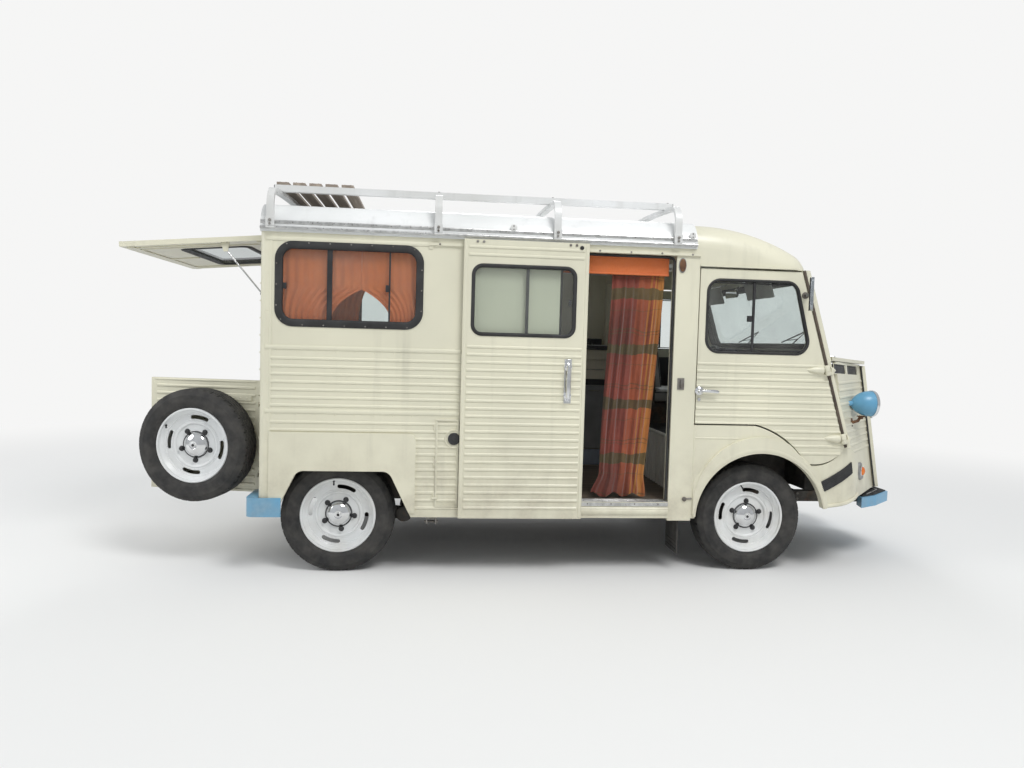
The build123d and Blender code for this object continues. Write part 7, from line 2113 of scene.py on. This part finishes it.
def door_blind_at(across, down):
    """The blind: nearly flat, with a slack lower edge."""
    return (-0.030 + 0.757 * across, -0.912 + 0.002 * math.sin(6.5 * across + 1.0) * down,
        1.936 + (blind_low_z + 0.008 - 1.936) * down)


door_blind = hung_cloth("door_blind", 60, 12, door_blind_at)
door_blind.data.materials.append(orange_cloth)
blind_hem = fitted("blind_hem", [tube([door_blind_at(share / 12, 1.0) for share in range(13)], 0.0065, 10)],
    orange_cloth, slot="curtain_cloth")
blind_batten = fitted("blind_batten", [block((-0.034, -0.934, 1.930), (0.731, -0.906, 1.946))], wall_white,
    bevel=0.002, slot="furniture_wood")

window_curtain_table = [
    # name, side, fixed edge x, parting x, how far and from what share down the foot is drawn back,
    # folds, flat width
    ("window_curtain_right_rear", -1, -1.568, -1.1015, 0.165, 0.54, 9, 0.50),
    ("window_curtain_right_front", -1, -0.766, -1.1005, 0.165, 0.54, 7, 0.36),
    ("window_curtain_left_rear", 1, -1.568, -1.230, 0.060, 0.30, 7, 0.38),
    ("window_curtain_left_front", 1, -0.766, -1.080, 0.060, 0.30, 6, 0.36),
]
wires = []
for name, side, fixed_x, parting_x, drawn_back, arch_top, folds, flat_width in window_curtain_table:
    def window_curtain_at(across, down):
        """A short curtain on its wire, its foot drawn back from the parting."""
        arch = math.sin(0.5 * math.pi * min(max((down - arch_top) / (0.88 - arch_top), 0.0), 1.0)) ** 0.8
        inner_x = parting_x + math.copysign(drawn_back * arch, fixed_x - parting_x)
        depth = 0.0030 + 0.0012 * eased(down * 2)
        return (fixed_x + (inner_x - fixed_x) * across, side * (0.9298
            + depth * math.sin(2 * math.pi * folds * across + 0.6 * math.sin(2 * down))),
            1.934 + (1.440 - 1.934) * down + 0.003 * math.sin(11 * across))

    window_curtain = hung_cloth(name, 20 * folds, 30, window_curtain_at)
    window_curtain.data.materials.append(orange_cloth)
for side in (-1, 1):
    wires.append(rod((-1.585, side * 0.924, 1.930), (-0.750, side * 0.924, 1.930), 0.0025, 8))
    for x in (-1.583, -0.752):
        wires.append(rod((x, side * 0.924, 1.930), (x, side * 0.936, 1.930), 0.004, 8))
fitted("curtain_wires", wires, aluminium, slot="curtain_cloth")

# Roof rack
# Four steel hoops clamped in the gutters carry two long rails, all in white paint that is worn
# and streaked. Five weathered boards lie across the rails at the back.
rack_white = enamel("rack_white", (0.72, 0.73, 0.73), (0.56, 0.56, 0.54), 0.0)
dress(rack_white, "roof_rack")
hoop_stations = (-1.626, -0.686, 0.007, 0.730)
hoop_width = 0.040
hoop_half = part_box("roof_rack")[1].y
rack_top_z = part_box("roof_rack")[1].z
rail_y = 0.750
clamp_y = hoop_half + 0.005
clamps, rack_bolts = [], []
for x in hoop_stations:
    for side in (-1, 1):
        clamps += [block((x - 0.004, side * inner_y, low_z), (x + hoop_width + 0.004, side * clamp_y,
            high_z)) for inner_y, low_z, high_z in ((hoop_half - 0.001, 2.000, 2.052),
            (hoop_half - 0.026, 1.991, 1.999))]
        middle_x = x + hoop_width / 2
        rack_bolts.append(turned([(0, 0.009), (0.007, 0.009), (0.008, 0.006), (0.008, 0)],
            (middle_x, side * clamp_y, 2.032), (0, side, 0), 6))
        rack_bolts.append(turned([(0, 0.007), (0.006, 0.007), (0.007, 0)],
            (middle_x, side * clamp_y, 2.012), (0, side, 0), 6))
        rack_bolts += [turned([(0, 0.006), (0.004, 0.006), (0.005, 0)],
            (middle_x, side * bolt_y, rack_top_z), (0, 0, 1), 6) for bolt_y in (rail_y - 0.009,
            rail_y + 0.009)]
fitted("rack_clamps", clamps, rack_white, bevel=0.0015, slot="rack_metal")
fitted("rack_bolts", rack_bolts, jack_steel, slot="rack_metal")
rail_caps = []
for side in (-1, 1):
    for x, out in ((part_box("roof_rack")[0].x, -1), (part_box("roof_rack")[1].x, 1)):
        rail_caps.append(block((x - out * 0.002, side * (rail_y - 0.017), rack_top_z - 0.038),
            (x + out * 0.004, side * (rail_y + 0.017), rack_top_z - 0.001)))
fitted("rail_caps", rail_caps, black_plastic, bevel=0.0015, slot="rubber_black")


def weathered(name, colour, dark):
    """Bare board left out in the sun: grey-brown, with dark grain that runs across the van."""
    tree, shader, finish = start_finish(name)
    tone = shade(tree, mottle(tree, 4.0, 4.0, (3, 0.5, 3)), 0.3, 0.7, dark, colour)
    lines = mottle(tree, 60.0, 5.0, (1, 0.03, 1))
    tone = laid_over(tree, spread(tree, lines, 0.42, 0.66, 0.0, 0.8), tone,
        shade(tree, lines, 0.3, 0.7, times(0.5, dark), dark))
    tree.links.new(tone, shader.inputs["Base Color"])
    shader.inputs["Roughness"].default_value = 0.9
    grain(tree, shader, lines, 0.0025)
    return finish


weathered_wood = weathered("weathered_wood", (0.420, 0.360, 0.300), (0.230, 0.190, 0.155))
dress(weathered_wood, "rack_slats")
slat_screws = []
slat_top_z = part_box("rack_slats")[1].z
for index in range(5):
    slat_x = -1.620 + 0.094 * index
    for side in (-1, 1):
        for x in (slat_x + 0.018, slat_x + 0.052):
            slat_screws.append(rivet((x, side * rail_y, slat_top_z), (0, 0, 1), 0.005, 0.003))
fitted("slat_screws", slat_screws, rusty, slot="under_steel")

# Small body fittings
# An oval repeater lamp on the pillar behind the cab, and two cover plates on the edge of the roof,
# each held by two screws.
repeater_place = Vector((0.792, -body_half, 1.875))
repeater_oval = [Vector((0.021 * math.cos(math.radians(15 * index)), 0,
    0.040 * math.sin(math.radians(15 * index)))) for index in range(24)]


def oval_piece(stations):
    """Piece of oval sections from the repeater's base: (how far out, share of the oval)."""
    return drawn([[repeater_place + point * share + Vector((0, -out, 0)) for point in repeater_oval]
        for out, share in stations])


fitted("repeater_base", [oval_piece([(-0.001, 1.12), (0.004, 1.12), (0.006, 1.04), (0.006, 0.90)])],
    lamp_base, slot="rubber_black")
fitted("repeater_lens", [oval_piece([(0.004, 0.98), (0.010, 0.90), (0.014, 0.66), (0.015, 0.02)])], rusty,
    slot="lamp_glass")
edge_plates, edge_screws = [], []
for x in (-0.230, 0.845):
    for side in (-1, 1):
        place = Vector((x, side * 0.981, 2.052))
        edge_plates.append(turned([(-0.004, 0.020), (0.002, 0.020), (0.003, 0.016), (0.003, 0)], place,
            (0, side, 0.10), 24))
        for lift in (-0.010, 0.010):
            edge_screws.append(rivet(place + Vector((0, side * 0.003, lift)), (0, side, 0), 0.004, 0.003))
fitted("edge_plates", edge_plates, rack_white, slot="roof_metal")
fitted("edge_screws", edge_screws, drum_iron, slot="rack_metal")
